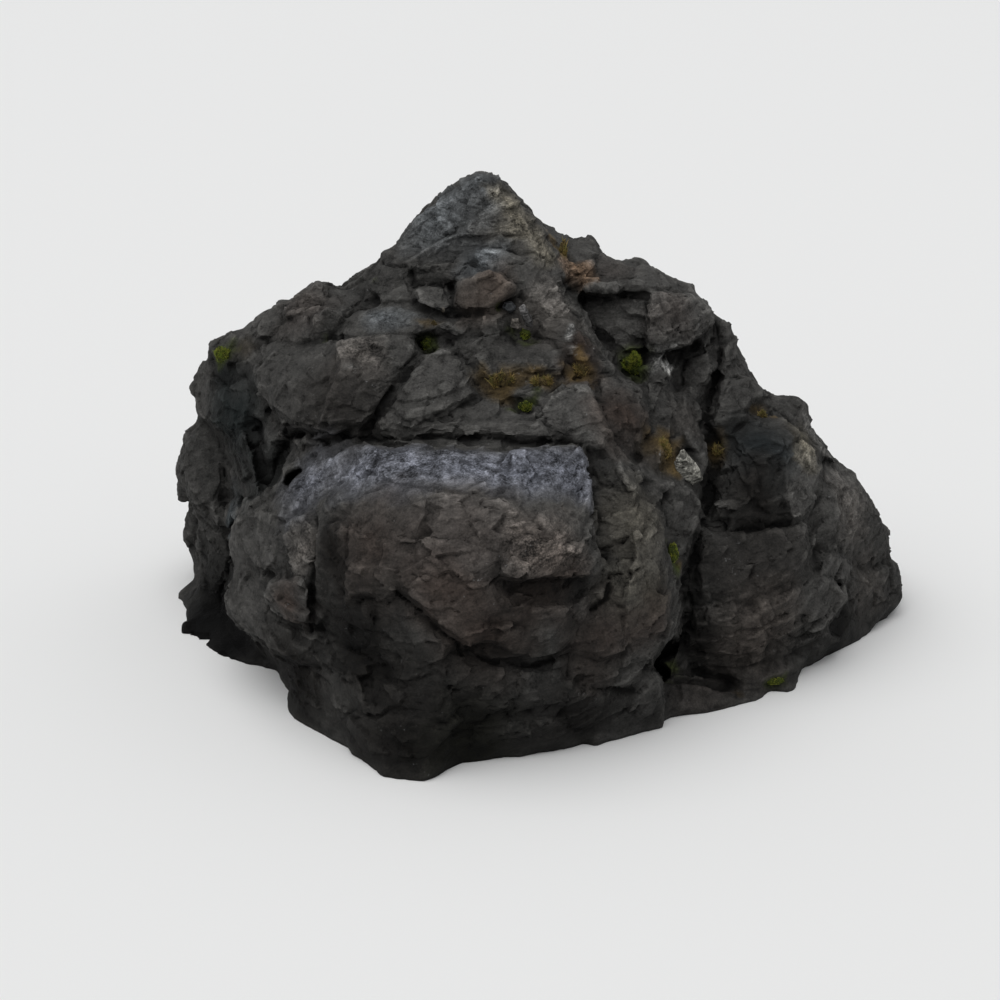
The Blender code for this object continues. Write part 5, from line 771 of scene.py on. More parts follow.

# %% [markdown]
# ## Open joints and hairline cracks
# A rock mass is cut by joints, which are planes of fracture that cross the whole body, and by short cracks
# that run out in one block. The widest joints stay open as dark slots. The edges of the block faces are thin
# cracks, and a few more hairlines cross the large faces. Each line is a few points given on the board, filled
# in with small steps that wander a little.

# %% Lines of the joints
OPEN_JOINTS = [
    [(-1.52, 0.10), (-1.36, 0.42), (-1.20, 0.43), (-0.90, 0.41), (-0.60, 0.395), (-0.30, 0.41), (0.00, 0.40),
     (0.12, 0.37), (0.34, 0.375), (0.50, 0.375)],
    [(-1.80, -0.25), (-1.76, -0.36), (-1.78, -0.50), (-1.83, -0.60), (-1.82, -0.72), (-1.70, -0.88),
     (-1.56, -1.00), (-1.42, -1.14)],
    [(-0.68, -0.60), (-0.50, -0.74), (-0.40, -0.84), (-0.30, -0.92), (-0.25, -1.00)],
    [(-0.30, -0.93), (-0.05, -1.05), (0.20, -1.08), (0.46, -1.00)],
    [(0.52, 0.37), (0.56, 0.24), (0.60, 0.10), (0.60, -0.22), (0.62, -0.32), (0.71, -0.41)],
    [(0.72, -0.55), (0.70, -0.64), (0.60, -0.72)],
    [(-1.20, -0.12), (-1.22, -0.34), (-1.22, -0.58), (-1.22, -0.84)],
    [(0.60, -0.33), (0.80, -0.27)],
    [(1.36, 0.12), (1.38, 0.04), (1.33, -0.10), (1.31, -0.20), (1.27, -0.30), (1.23, -0.45), (1.21, -0.55),
     (1.24, -0.70), (1.22, -0.82), (1.14, -0.94), (1.05, -1.05)],
    [(1.40, 1.24), (1.43, 1.04), (1.42, 0.88), (1.36, 0.66), (1.34, 0.50), (1.42, 0.34)],
    [(1.39, 1.06), (1.33, 0.97), (1.21, 0.93), (1.19, 0.76)],
    [(1.50, -0.195), (1.62, -0.185), (1.88, -0.145)],
    [(0.62, -1.23), (0.86, -1.24)],
    [(0.94, -1.10), (1.04, -1.02)],
    [(1.02, -1.12), (1.15, -1.13), (1.32, -1.14), (1.47, -1.18), (1.58, -1.24), (1.76, -1.22)],
    [(-0.78, 1.56), (-0.70, 1.52), (-0.60, 1.53), (-0.56, 1.42)],
    [(-1.00, 1.21), (-0.84, 1.25)],
    [(1.06, 1.36), (1.12, 1.345), (1.18, 1.37)],
    [(-0.50, 1.00), (-0.60, 0.87), (-0.72, 0.69), (-0.80, 0.56), (-0.85, 0.43)],
    [(-0.56, 1.29), (-0.36, 1.20), (-0.20, 1.21)],
]

HAIRLINES = [
    # boulder crown and face
    [(-1.44, 0.02), (-1.20, 0.10), (-0.98, 0.24)],
    [(-1.10, -0.02), (-0.80, 0.06), (-0.52, 0.24)],
    [(-0.62, -0.02), (-0.30, 0.04), (-0.02, 0.16), (0.22, 0.18)],
    [(-0.95, -0.20), (-0.60, -0.28), (-0.34, -0.22), (-0.02, -0.34)],
    [(-0.86, -0.44), (-0.58, -0.48), (-0.36, -0.60), (-0.10, -0.62)],
    [(0.06, -0.18), (0.28, -0.26), (0.52, -0.24)],
    [(-0.20, -0.12), (-0.12, -0.30), (-0.16, -0.46)],
    [(-0.82, -0.70), (-0.66, -0.80), (-0.58, -0.96)],
    [(0.16, -0.60), (0.20, -0.78), (0.14, -0.96)],
    [(-0.90, -1.20), (-0.60, -1.28), (-0.30, -1.24), (0.05, -1.30)],
    [(-0.60, -1.46), (-0.30, -1.50), (0.10, -1.48)],
    [(-1.40, -0.26), (-1.36, -0.42)],
    [(-1.64, -0.60), (-1.46, -0.66), (-1.34, -0.60)],
    # right side
    [(0.98, -0.12), (0.92, -0.34), (0.96, -0.58), (0.90, -0.80)],
    [(0.70, -0.82), (0.88, -0.92), (1.04, -0.90)],
    [(1.56, 0.36), (1.68, 0.20), (1.70, 0.02)],
    [(1.84, 0.40), (1.90, 0.16), (1.84, -0.06)],
    [(1.46, -0.36), (1.66, -0.40), (1.90, -0.32)],
    [(1.62, -0.24), (1.60, -0.44), (1.66, -0.62)],
    [(1.40, -0.90), (1.70, -0.92), (1.96, -0.80)],
    [(2.20, 0.10), (2.26, -0.14), (2.40, -0.30)],
    [(2.30, -0.52), (2.46, -0.58)],
    # upper front
    [(-1.36, 0.92), (-1.20, 0.76), (-1.16, 0.58)],
    [(-1.00, 0.98), (-0.90, 0.80), (-0.96, 0.60)],
    [(-0.70, 0.98), (-0.78, 0.86)],
    [(-0.48, 0.80), (-0.30, 0.72), (-0.36, 0.58)],
    [(-0.10, 1.00), (0.00, 0.88), (-0.02, 0.78)],
    [(0.28, 0.98), (0.32, 0.86)],
    [(-0.50, 1.86), (-0.30, 1.84), (-0.10, 1.80), (0.04, 1.82)],
    [(-0.36, 1.98), (-0.20, 1.92), (-0.08, 1.92)],
    [(0.20, 1.50), (0.26, 1.36), (0.36, 1.24)],
    [(-0.18, 1.40), (-0.06, 1.36), (0.02, 1.42)],
    [(0.58, 1.26), (0.62, 1.12)],
    [(1.04, 1.30), (1.10, 1.14), (1.20, 1.08)],
    [(1.52, 1.02), (1.56, 0.86)],
    [(1.50, 0.72), (1.58, 0.58)],
    [(0.70, 0.72), (0.84, 0.66), (0.92, 0.60)],
    [(-1.06, 1.34), (-1.00, 1.26)],
    [(-1.80, 0.66), (-1.72, 0.56), (-1.74, 0.40)],
    [(-1.70, 0.28), (-1.68, 0.12)],
]

LINE_STEP = 0.03
LINE_WANDER = 0.012
LONGEST_JUMP = 0.12


def line_object(name, lines):
    """The lines laid on the rock, as one object of edges. No edge jumps from block to block."""
    bm = bmesh.new()
    for line in lines:
        corners = [Vector(p) for p in line]
        last = None
        for start, end in zip(corners, corners[1:]):
            steps = max(1, round((end - start).length / LINE_STEP))
            for step in range(steps + 1):
                seen = start.lerp(end, step / steps)
                sway = noise.noise_vector(Vector((seen.x, seen.y, 0)) * 7.0) * LINE_WANDER
                place = on_rock(seen.x + sway.x, seen.y + sway.y)
                if place is None:
                    last = None
                    continue
                vert = bm.verts.new(place)
                if last and (last.co - place).length < LONGEST_JUMP:
                    bm.edges.new((last, vert))
                last = vert
    mesh = bpy.data.meshes.new(name)
    bm.to_mesh(mesh)
    bm.free()
    obj = bpy.data.objects.new(name, mesh)
    obj.hide_render = True
    bpy.context.collection.objects.link(obj)
    return obj


block_edges = [outline + outline[:1] for faces in BLOCK_FACES.values() for _, outline in faces.values()]
joint_lines = line_object("joint_lines", OPEN_JOINTS)
hairlines = line_object("hairlines", HAIRLINES + block_edges)
print("joints:", len(joint_lines.data.edges), "edges; hairlines:", len(hairlines.data.edges), "edges")

# %% [markdown]
# ## Weathering as a geometry tree
# The surface of an old rock is a sum of simple things at different scales: broad lumps, flat broken
# facets, thin steps where beds end, a net of shallow cracks, and grain. Each could be sculpted by hand,
# but a rule that moves every point along its normal does the whole body at once, and the loose stones
# can use it again with smaller values. So it is one Geometry Nodes tree with a named input for each
# height.
#
# Facets come from Voronoi cells: every cell gets its own random lean, so the surface is a set of tilted
# planes with sharp steps between them, like broken stone. Beds come from a sawtooth of the height
# across the bedding.

# %% The weathering tree
BED_NORMAL = Vector((-0.18, -0.30, 0.94)).normalized()
BED_SQUEEZE = 2.1


def squeezed_place(tree, place, scale, squeeze=BED_SQUEEZE):
    """Coordinates in which everything drawn comes out flat along the beds."""
    level = vectors(tree, "DOT_PRODUCT", place, tuple(BED_NORMAL))
    extra = vectors(tree, "SCALE", tuple(BED_NORMAL), scale=maths(tree, "MULTIPLY", level, squeeze - 1.0))
    return vectors(tree, "SCALE", vectors(tree, "ADD", place, extra), scale=scale)


def facet_field(tree, place, scale, seed_shift):
    """Tilted planes, one for each Voronoi cell, with low steps between them, from about -0.5 to 0.5."""
    bent = bent_place(tree, squeezed_place(tree, place, scale), 0.6, 0.7, 1.0)
    shifted = vectors(tree, "ADD", bent, seed_shift)
    cells = add_node(tree, "ShaderNodeTexVoronoi", Vector=shifted, Scale=1.0)
    away = vectors(tree, "SUBTRACT", shifted, cells.outputs["Position"])
    lean = vectors(tree, "SUBTRACT", cells.outputs["Color"], (0.5, 0.5, 0.5))
    tilt = vectors(tree, "DOT_PRODUCT", away, lean)
    rise = add_node(tree, "ShaderNodeSeparateXYZ", Vector=lean).outputs["X"]
    return maths(tree, "ADD", tilt, maths(tree, "MULTIPLY", rise, 0.16))


def crack_field(tree, place, scale, width, seed_shift):
    """1 in the net of cracks between warped cells and 0 away from it. Most of the net is healed."""
    bent = bent_place(tree, squeezed_place(tree, place, scale), 0.8, 1.1, 4.0, 0.6)
    shifted = vectors(tree, "ADD", bent, seed_shift)
    cells = add_node(
        tree, "ShaderNodeTexVoronoi", {"feature": "DISTANCE_TO_EDGE"}, Vector=shifted, Scale=1.0
    )
    reach = maths(tree, "MULTIPLY", width, scale)
    line = ramp_between(tree, cells.outputs["Distance"], 0.0, reach, 1.0, 0.0)
    healed = cloud(tree, shifted, 0.7, 1.0)
    return maths(tree, "MULTIPLY", line, ramp_between(tree, healed, 0.50, 0.64))


def bed_field(tree, place, spacing):
    """A sawtooth across the beds, stronger in some places than in others, from about -0.5 to 0.5."""
    bend = cloud(tree, place, 1.9, 3.0)
    level = vectors(tree, "DOT_PRODUCT", place, tuple(BED_NORMAL))
    level = maths(tree, "ADD", level, maths(tree, "MULTIPLY", bend, 0.34))
    within = maths(tree, "FRACT", maths(tree, "DIVIDE", level, spacing))
    tooth = maths(tree, "SUBTRACT", maths(tree, "POWER", within, 2.2), 0.4)
    strength = cloud(tree, place, 1.1, 1.0)
    return maths(tree, "MULTIPLY", tooth, ramp_between(tree, strength, 0.46, 0.66))


def neighbour_average(tree, value, rounds):
    """A vector averaged with its neighbours on the mesh, over and over."""
    made = add_node(
        tree, "GeometryNodeBlurAttribute", {"data_type": "FLOAT_VECTOR"}, Value=value, Iterations=rounds
    )
    return made.outputs[0]


def store_value(tree, geometry, name, value):
    """The geometry with a number stored at each point."""
    made = add_node(
        tree, "GeometryNodeStoreNamedAttribute", {"data_type": "FLOAT", "domain": "POINT"},
        Geometry=geometry, Name=name, Value=value,
    )
    return made.outputs[0]


def weathering_tree():
    tree, given, result = new_tree(
        "weathering", "GeometryNodeTree",
        [
            ("Geometry", "NodeSocketGeometry", None),
            ("Softening", "NodeSocketInt", 8),
            ("Lump Height", "NodeSocketFloat", 0.04),
            ("Facet Height", "NodeSocketFloat", 0.05),
            ("Facet Scale", "NodeSocketFloat", 4.0),
            ("Bed Height", "NodeSocketFloat", 0.02),
            ("Bed Spacing", "NodeSocketFloat", 0.09),
            ("Crack Depth", "NodeSocketFloat", 0.02),
            ("Crack Width", "NodeSocketFloat", 0.012),
            ("Grain Height", "NodeSocketFloat", 0.008),
            ("Ground Level", "NodeSocketFloat", 0.0),
        ],
        [("Geometry", "NodeSocketGeometry")],
    )
    place = tree.nodes.new("GeometryNodeInputPosition").outputs[0]
    soft_place = neighbour_average(tree, place, given["Softening"])
    softened = add_node(tree, "GeometryNodeSetPosition", Geometry=given["Geometry"], Position=soft_place)

    place = tree.nodes.new("GeometryNodeInputPosition").outputs[0]
    normal = tree.nodes.new("GeometryNodeInputNormal").outputs[0]
    lump = maths(tree, "SUBTRACT", cloud(tree, squeezed_place(tree, place, 1.0, 1.6), 2.6, 5.0), 0.5)
    coarse = facet_field(tree, place, given["Facet Scale"], (3.1, 7.7, 1.9))
    fine_scale = maths(tree, "MULTIPLY", given["Facet Scale"], 2.6)
    fine = facet_field(tree, place, fine_scale, (8.3, 2.2, 5.4))
    beds = bed_field(tree, place, given["Bed Spacing"])
    wide_net = crack_field(tree, place, 2.1, given["Crack Width"], (1.3, 4.1, 9.2))
    small_width = maths(tree, "MULTIPLY", given["Crack Width"], 0.7)
    small_net = crack_field(tree, place, 5.6, small_width, (6.0, 0.4, 3.3))
    grain = cloud(tree, squeezed_place(tree, place, 1.0), 17.0, 3.0, 0.65)

    height = maths(tree, "MULTIPLY", lump, given["Lump Height"])
    height = maths(tree, "MULTIPLY_ADD", coarse, given["Facet Height"], height)
    height = maths(tree, "MULTIPLY_ADD", fine, maths(tree, "MULTIPLY", given["Facet Height"], 0.36), height)
    height = maths(tree, "MULTIPLY_ADD", beds, given["Bed Height"], height)
    height = maths(tree, "MULTIPLY_ADD", maths(tree, "SUBTRACT", grain, 0.5), given["Grain Height"], height)
    dig = maths(tree, "MULTIPLY", wide_net, given["Crack Depth"])
    dig = maths(tree, "MULTIPLY_ADD", small_net, maths(tree, "MULTIPLY", given["Crack Depth"], 0.5), dig)
    height = maths(tree, "SUBTRACT", height, dig)
    above = maths(tree, "SUBTRACT", height_of(tree, place), given["Ground Level"])
    height = maths(tree, "MULTIPLY", height, ramp_between(tree, above, 0.02, 0.20))
    offset = vectors(tree, "SCALE", normal, scale=height)
    moved = add_node(tree, "GeometryNodeSetPosition", Geometry=softened.outputs[0], Offset=offset)
    crack = maths(tree, "MAXIMUM", wide_net, maths(tree, "MULTIPLY", small_net, 0.7))
    tree.links.new(store_value(tree, moved.outputs[0], "crack", crack), result["Geometry"])
    return tree


weathering = weathering_tree()
print("weathering tree:", len(weathering.nodes), "nodes")

# %% [markdown]
# ## Carving along the lines
# A second tree measures each point's distance to the nearest line and pushes it inwards, deepest on the line
# itself. Geometry Proximity does the measuring, so the lines can be edited without touching the mesh. A third
# tree then compares each point with the average of its neighbours. That comparison is stored as the attribute
# "hollow", which the materials use for painted shade in pits and a painted highlight on knobs.

# %% The carving tree
def carve(tree, geometry, lines, width, depth, shoulder_width=0.0, shoulder_depth=0.0):
    """The geometry cut along a line object, with worn shoulders. Also 1 on the lines and 0 away from them."""
    place = tree.nodes.new("GeometryNodeInputPosition").outputs[0]
    normal = tree.nodes.new("GeometryNodeInputNormal").outputs[0]
    target = add_node(tree, "GeometryNodeObjectInfo", Object=lines).outputs["Geometry"]
    near = tree.nodes.new("GeometryNodeProximity")
    near.target_element = "EDGES"
    tree.links.new(target, near.inputs[0])
    away = near.outputs["Distance"]
    ragged = cloud(tree, place, 6.0, 2.0)
    reach = maths(tree, "MULTIPLY", width, ramp_between(tree, ragged, 0.3, 0.7, 0.55, 1.30))
    line = ramp_between(tree, away, 0.0, reach, 1.0, 0.0)
    cut = maths(tree, "MULTIPLY", line, depth)
    if shoulder_width:
        worn = ramp_between(tree, away, 0.0, shoulder_width, 1.0, 0.0)
        cut = maths(tree, "MULTIPLY_ADD", maths(tree, "POWER", worn, 2.0), shoulder_depth, cut)
    cut = maths(tree, "MULTIPLY", cut, ramp_between(tree, height_of(tree, place), 0.02, 0.20))
    offset = vectors(tree, "SCALE", normal, scale=maths(tree, "MULTIPLY", cut, -1.0))
    moved = add_node(tree, "GeometryNodeSetPosition", Geometry=geometry, Offset=offset)
    return moved.outputs[0], line


def carving_tree():
    tree, given, result = new_tree(
        "carving", "GeometryNodeTree",
        [
            ("Geometry", "NodeSocketGeometry", None),
            ("Joints", "NodeSocketObject", None),
            ("Joint Width", "NodeSocketFloat", 0.03),
            ("Joint Depth", "NodeSocketFloat", 0.05),
            ("Shoulder Width", "NodeSocketFloat", 0.12),
            ("Shoulder Depth", "NodeSocketFloat", 0.025),
            ("Hairlines", "NodeSocketObject", None),
            ("Hairline Width", "NodeSocketFloat", 0.012),
            ("Hairline Depth", "NodeSocketFloat", 0.02),
        ],
        [("Geometry", "NodeSocketGeometry")],
    )
    cut, joint = carve(
        tree, given["Geometry"], given["Joints"], given["Joint Width"], given["Joint Depth"],
        given["Shoulder Width"], given["Shoulder Depth"],
    )
    cut, hair = carve(tree, cut, given["Hairlines"], given["Hairline Width"], given["Hairline Depth"])
    older = add_node(tree, "GeometryNodeInputNamedAttribute", {"data_type": "FLOAT"}, Name="crack").outputs[0]
    crack = maths(tree, "MAXIMUM", older, maths(tree, "MAXIMUM", joint, hair))
    tree.links.new(store_value(tree, cut, "crack", crack), result["Geometry"])
    return tree


def hollow_tree():
    """Stores how each point lies among its neighbours: 1 in a pit, 0.5 on the level, 0 on a knob."""
    tree, given, result = new_tree(
        "hollows", "GeometryNodeTree",
        [
            ("Geometry", "NodeSocketGeometry", None),
            ("Reach", "NodeSocketInt", 24),
            ("Full Depth", "NodeSocketFloat", 0.03),
        ],
        [("Geometry", "NodeSocketGeometry")],
    )
    place = tree.nodes.new("GeometryNodeInputPosition").outputs[0]
    normal = tree.nodes.new("GeometryNodeInputNormal").outputs[0]
    average = neighbour_average(tree, place, given["Reach"])
    depth = vectors(tree, "DOT_PRODUCT", vectors(tree, "SUBTRACT", average, place), normal)
    depth = maths(tree, "DIVIDE", depth, given["Full Depth"])
    hollow = maths(tree, "MULTIPLY_ADD", depth, 0.5, 0.5, clamp=True)
    tree.links.new(store_value(tree, given["Geometry"], "hollow", hollow), result["Geometry"])
    return tree


carving = carving_tree()
hollows = hollow_tree()
print("carving tree:", len(carving.nodes), "nodes; hollows tree:", len(hollows.nodes), "nodes")

# %% [markdown]
# ## The outcrop
# The copy of the solid has faces a hand wide, far too few to carry detail. A voxel remesh rebuilds it
# from even squares of about a finger's width. The trees then shape it, and a Decimate step thins the
# flat parts, so that the finished piece stays under 200,000 triangles while the cracks keep theirs.

# %% Build the outcrop
ROCK_VOXEL = 0.0135
ROCK_TRIANGLES = 196000
BASE_REACH = 0.012


def flatten_base(mesh, level):
    """Puts the underside back on the ground plane after the surface has been moved."""
    places = mesh_values(mesh, "co")
    places[:, 2] = np.where(places[:, 2] < level + BASE_REACH, level, places[:, 2])
    mesh.vertices.foreach_set("co", places.ravel())
    mesh.update()


run_modifier(outcrop, "REMESH", mode="VOXEL", voxel_size=ROCK_VOXEL)
run_tree(
    outcrop, weathering, Softening=1, Lump_Height=0.018, Facet_Height=0.044, Facet_Scale=4.6,
    Bed_Height=0.014, Bed_Spacing=0.110, Crack_Depth=0.014, Crack_Width=0.008, Grain_Height=0.009,
)
run_tree(
    outcrop, carving, Joints=joint_lines, Joint_Width=0.020, Joint_Depth=0.026, Shoulder_Width=0.07,
    Shoulder_Depth=0.008, Hairlines=hairlines, Hairline_Width=0.013, Hairline_Depth=0.013,
)
run_tree(outcrop, hollows, Reach=24, Full_Depth=0.030)
flatten_base(outcrop.data, cad_box[0].z)
outcrop.data.calc_loop_triangles()
share_kept = ROCK_TRIANGLES / len(outcrop.data.loop_triangles)
run_modifier(outcrop, "DECIMATE", ratio=share_kept, use_collapse_triangulate=True)
for obj in (joint_lines, hairlines):
    bpy.data.objects.remove(obj)
mended = outcrop.data.validate()
print("outcrop:", len(outcrop.data.polygons), "triangles; faulty faces taken out:", mended)

# %% [markdown]
# ## Open sky and shelter
# The material lightens what lies open to the sky, partly as bleaching by rain and sun and partly as painted
# light, and darkens sheltered rock with painted shade. How open a place is can be measured: a fan of rays
# goes up from it, and the share that gets away without meeting rock is its openness. It is stored once as an
# attribute. A shader could work out something like it each time, but a stored value looks the same in any
# program.

# %% Measure the openness
SKY_RAYS = 28
SHELTER_REACH = 2.5
START_OFF = 0.012


def sky_fan():
    """Directions spread evenly over the upper half sphere, by the golden angle."""
    golden = math.pi * (3 - math.sqrt(5))
    fan = []
    for index in range(SKY_RAYS):
        rise = (index + 0.5) / SKY_RAYS
        level = math.sqrt(1 - rise * rise)
        fan.append(Vector((math.cos(index * golden) * level, math.sin(index * golden) * level, rise)))
    return fan


def measure_openness(obj):
    """Stores the share of open sky at each point as the attribute sky."""
    bm = bmesh.new()
    bm.from_mesh(obj.data)
    walls = BVHTree.FromBMesh(bm)
    fan = sky_fan()
    open_share = []
    for vert in bm.verts:
        start = vert.co + vert.normal * START_OFF
        free = 0
        for ray in fan:
            if ray.dot(vert.normal) > 0 and walls.ray_cast(start, ray, SHELTER_REACH)[0] is None:
                free += 1
        open_share.append(free / SKY_RAYS)
    bm.free()
    attribute = obj.data.attributes.new("sky", "FLOAT", "POINT")
    attribute.data.foreach_set("value", open_share)
    print(obj.name, "mean openness", round(sum(open_share) / len(open_share), 3))


measure_openness(outcrop)

# %% [markdown]
# ## Colour zones
# The rock isn't one colour. The crown of the boulder is bleached, the broken faces under it are brown, and
# the left wall is blue-green. The foot, the undersides and the slots get painted shade and painted shadow,
# down to nearly black. Each zone is a place on the board with a radius and a named colour. The colour spreads
# over the surface as a soft ball around that place, so it goes on round the corner as a stain does. Zones are
# stored as one colour attribute, with the tone and painted light and shade of each block multiplied in, and
# the material adds everything finer.

# %% The palette
# Colours as they look on a screen, from 0 to 255
PALETTE = {
    "slate": (63, 62, 60),
    "bleached": (83, 85, 92),
    "pale": (86, 82, 78),
    "blue_grey": (80, 83, 85),
    "brown_grey": (62, 57, 54),
    "dark_stone": (43, 41, 39),
    "brown": (54, 45, 40),
    "rust": (102, 84, 68),
    "warm_pale": (99, 91, 85),
    "olive_tan": (82, 78, 69),
    "ochre_soil": (50, 45, 37),
    "light_brown": (76, 68, 62),
    "deep_teal": (25, 29, 29),
    "teal": (48, 54, 57),
    "dark_teal": (32, 35, 36),
    # the next three are painted shade and painted shadow for the foot, the undersides and the slots, the last
    # with an olive tint
    "shade_dark": (22, 20, 18),
    "shadow_black": (5, 5, 5),
    "olive_shade_dark": (24, 24, 18),
    "lichen": (140, 140, 138),
    "moss_film": (62, 72, 22),
    "dry_film": (88, 72, 42),
}
TONE_GAIN = 0.98


def paint_value(screen):
    """The reflectance that looks like this screen colour under the light of this scene."""
    return [TONE_GAIN * ((channel / 255 + 0.055) / 1.055) ** 2.4 for channel in screen]


print("palette:", len(PALETTE), "colours")

# %% Tones and painted shading of the blocks
# how many times as bright a block is as its zone, where that is clearly not 1: partly the block's own tone,
# partly painted light and shade from how its face is turned
BLOCK_TONE_AND_SHADE = {
    "peak: front": 1.42, "peak: right slope": 1.25, "peak: left ridge": 1.20, "peak: left face": 1.08,
    "peak: under the front": 1.20, "peak: throat": 1.15, "peak: cheek": 0.72, "peak: left rib": 0.80,
    "peak: left throat": 0.85,
    "left shoulder: skyline block": 1.30, "left shoulder: skyline slab": 0.85,
    "left shoulder: shard": 1.10, "left shoulder: middle block": 1.12,
    "left shoulder: pale ledge": 1.05, "left shoulder: big block, left": 0.88,
    "left shoulder: teal facet": 0.55, "left shoulder: pale chip": 1.15,
    "left wall: middle column": 0.80, "left wall: inner column": 0.75, "left wall: outer column": 0.85,
    "left wall: teal block": 1.25,
    "middle: left slab": 1.08, "middle: main slab": 0.92, "middle: low strip": 1.12,
    "middle: buttress": 1.30, "middle: spur ridge": 1.35, "middle: spur block": 0.70,
    "right upper wall: big block": 1.40, "right upper wall: lintel": 1.20,
    "right upper wall: recess wall": 1.35, "right upper wall: pale facet": 2.00,
    "right upper wall: low pillar": 1.15, "right upper wall: gully rib": 0.80,
    "right upper wall: wall": 0.90,
    "gully and lobes: light ridge": 1.30, "gully and lobes: dark recess": 0.60,
    "gully and lobes: main lobe": 1.10,
    "boulder: face, middle": 1.30, "boulder: belly": 1.12, "boulder: face, left": 1.08,
    "boulder: slot": 0.80, "boulder: recess under the face": 0.60, "boulder: upper post": 1.12,
    "boulder: jaw, left": 0.85, "boulder: jaw, low": 0.70, "boulder: under the wing": 0.75,
    "right boulder: upper head": 0.78, "right boulder: lower head": 0.95,
    "right boulder: right head": 1.35, "right boulder: olive slope": 1.65,
    "right boulder: cracked shoulder": 1.30, "right boulder: cap": 0.80,
    "right boulder: left column": 1.12, "right boulder: right column": 1.15,
    "right boulder: bowl": 0.85,
}
TONE_SPREAD = 0.14
# brightness in the grooves between blocks: painted shade
GROOVE_SHADE = 0.78
PATCH_COLOURS = {"moss_": "moss_film", "grass_": "dry_film"}
PATCH_SPREAD = 1.5
NEAR_SKIN = 0.15
GROOVE_BESIDE = 0.04
print("blocks with a tone of their own:", len(BLOCK_TONE_AND_SHADE))

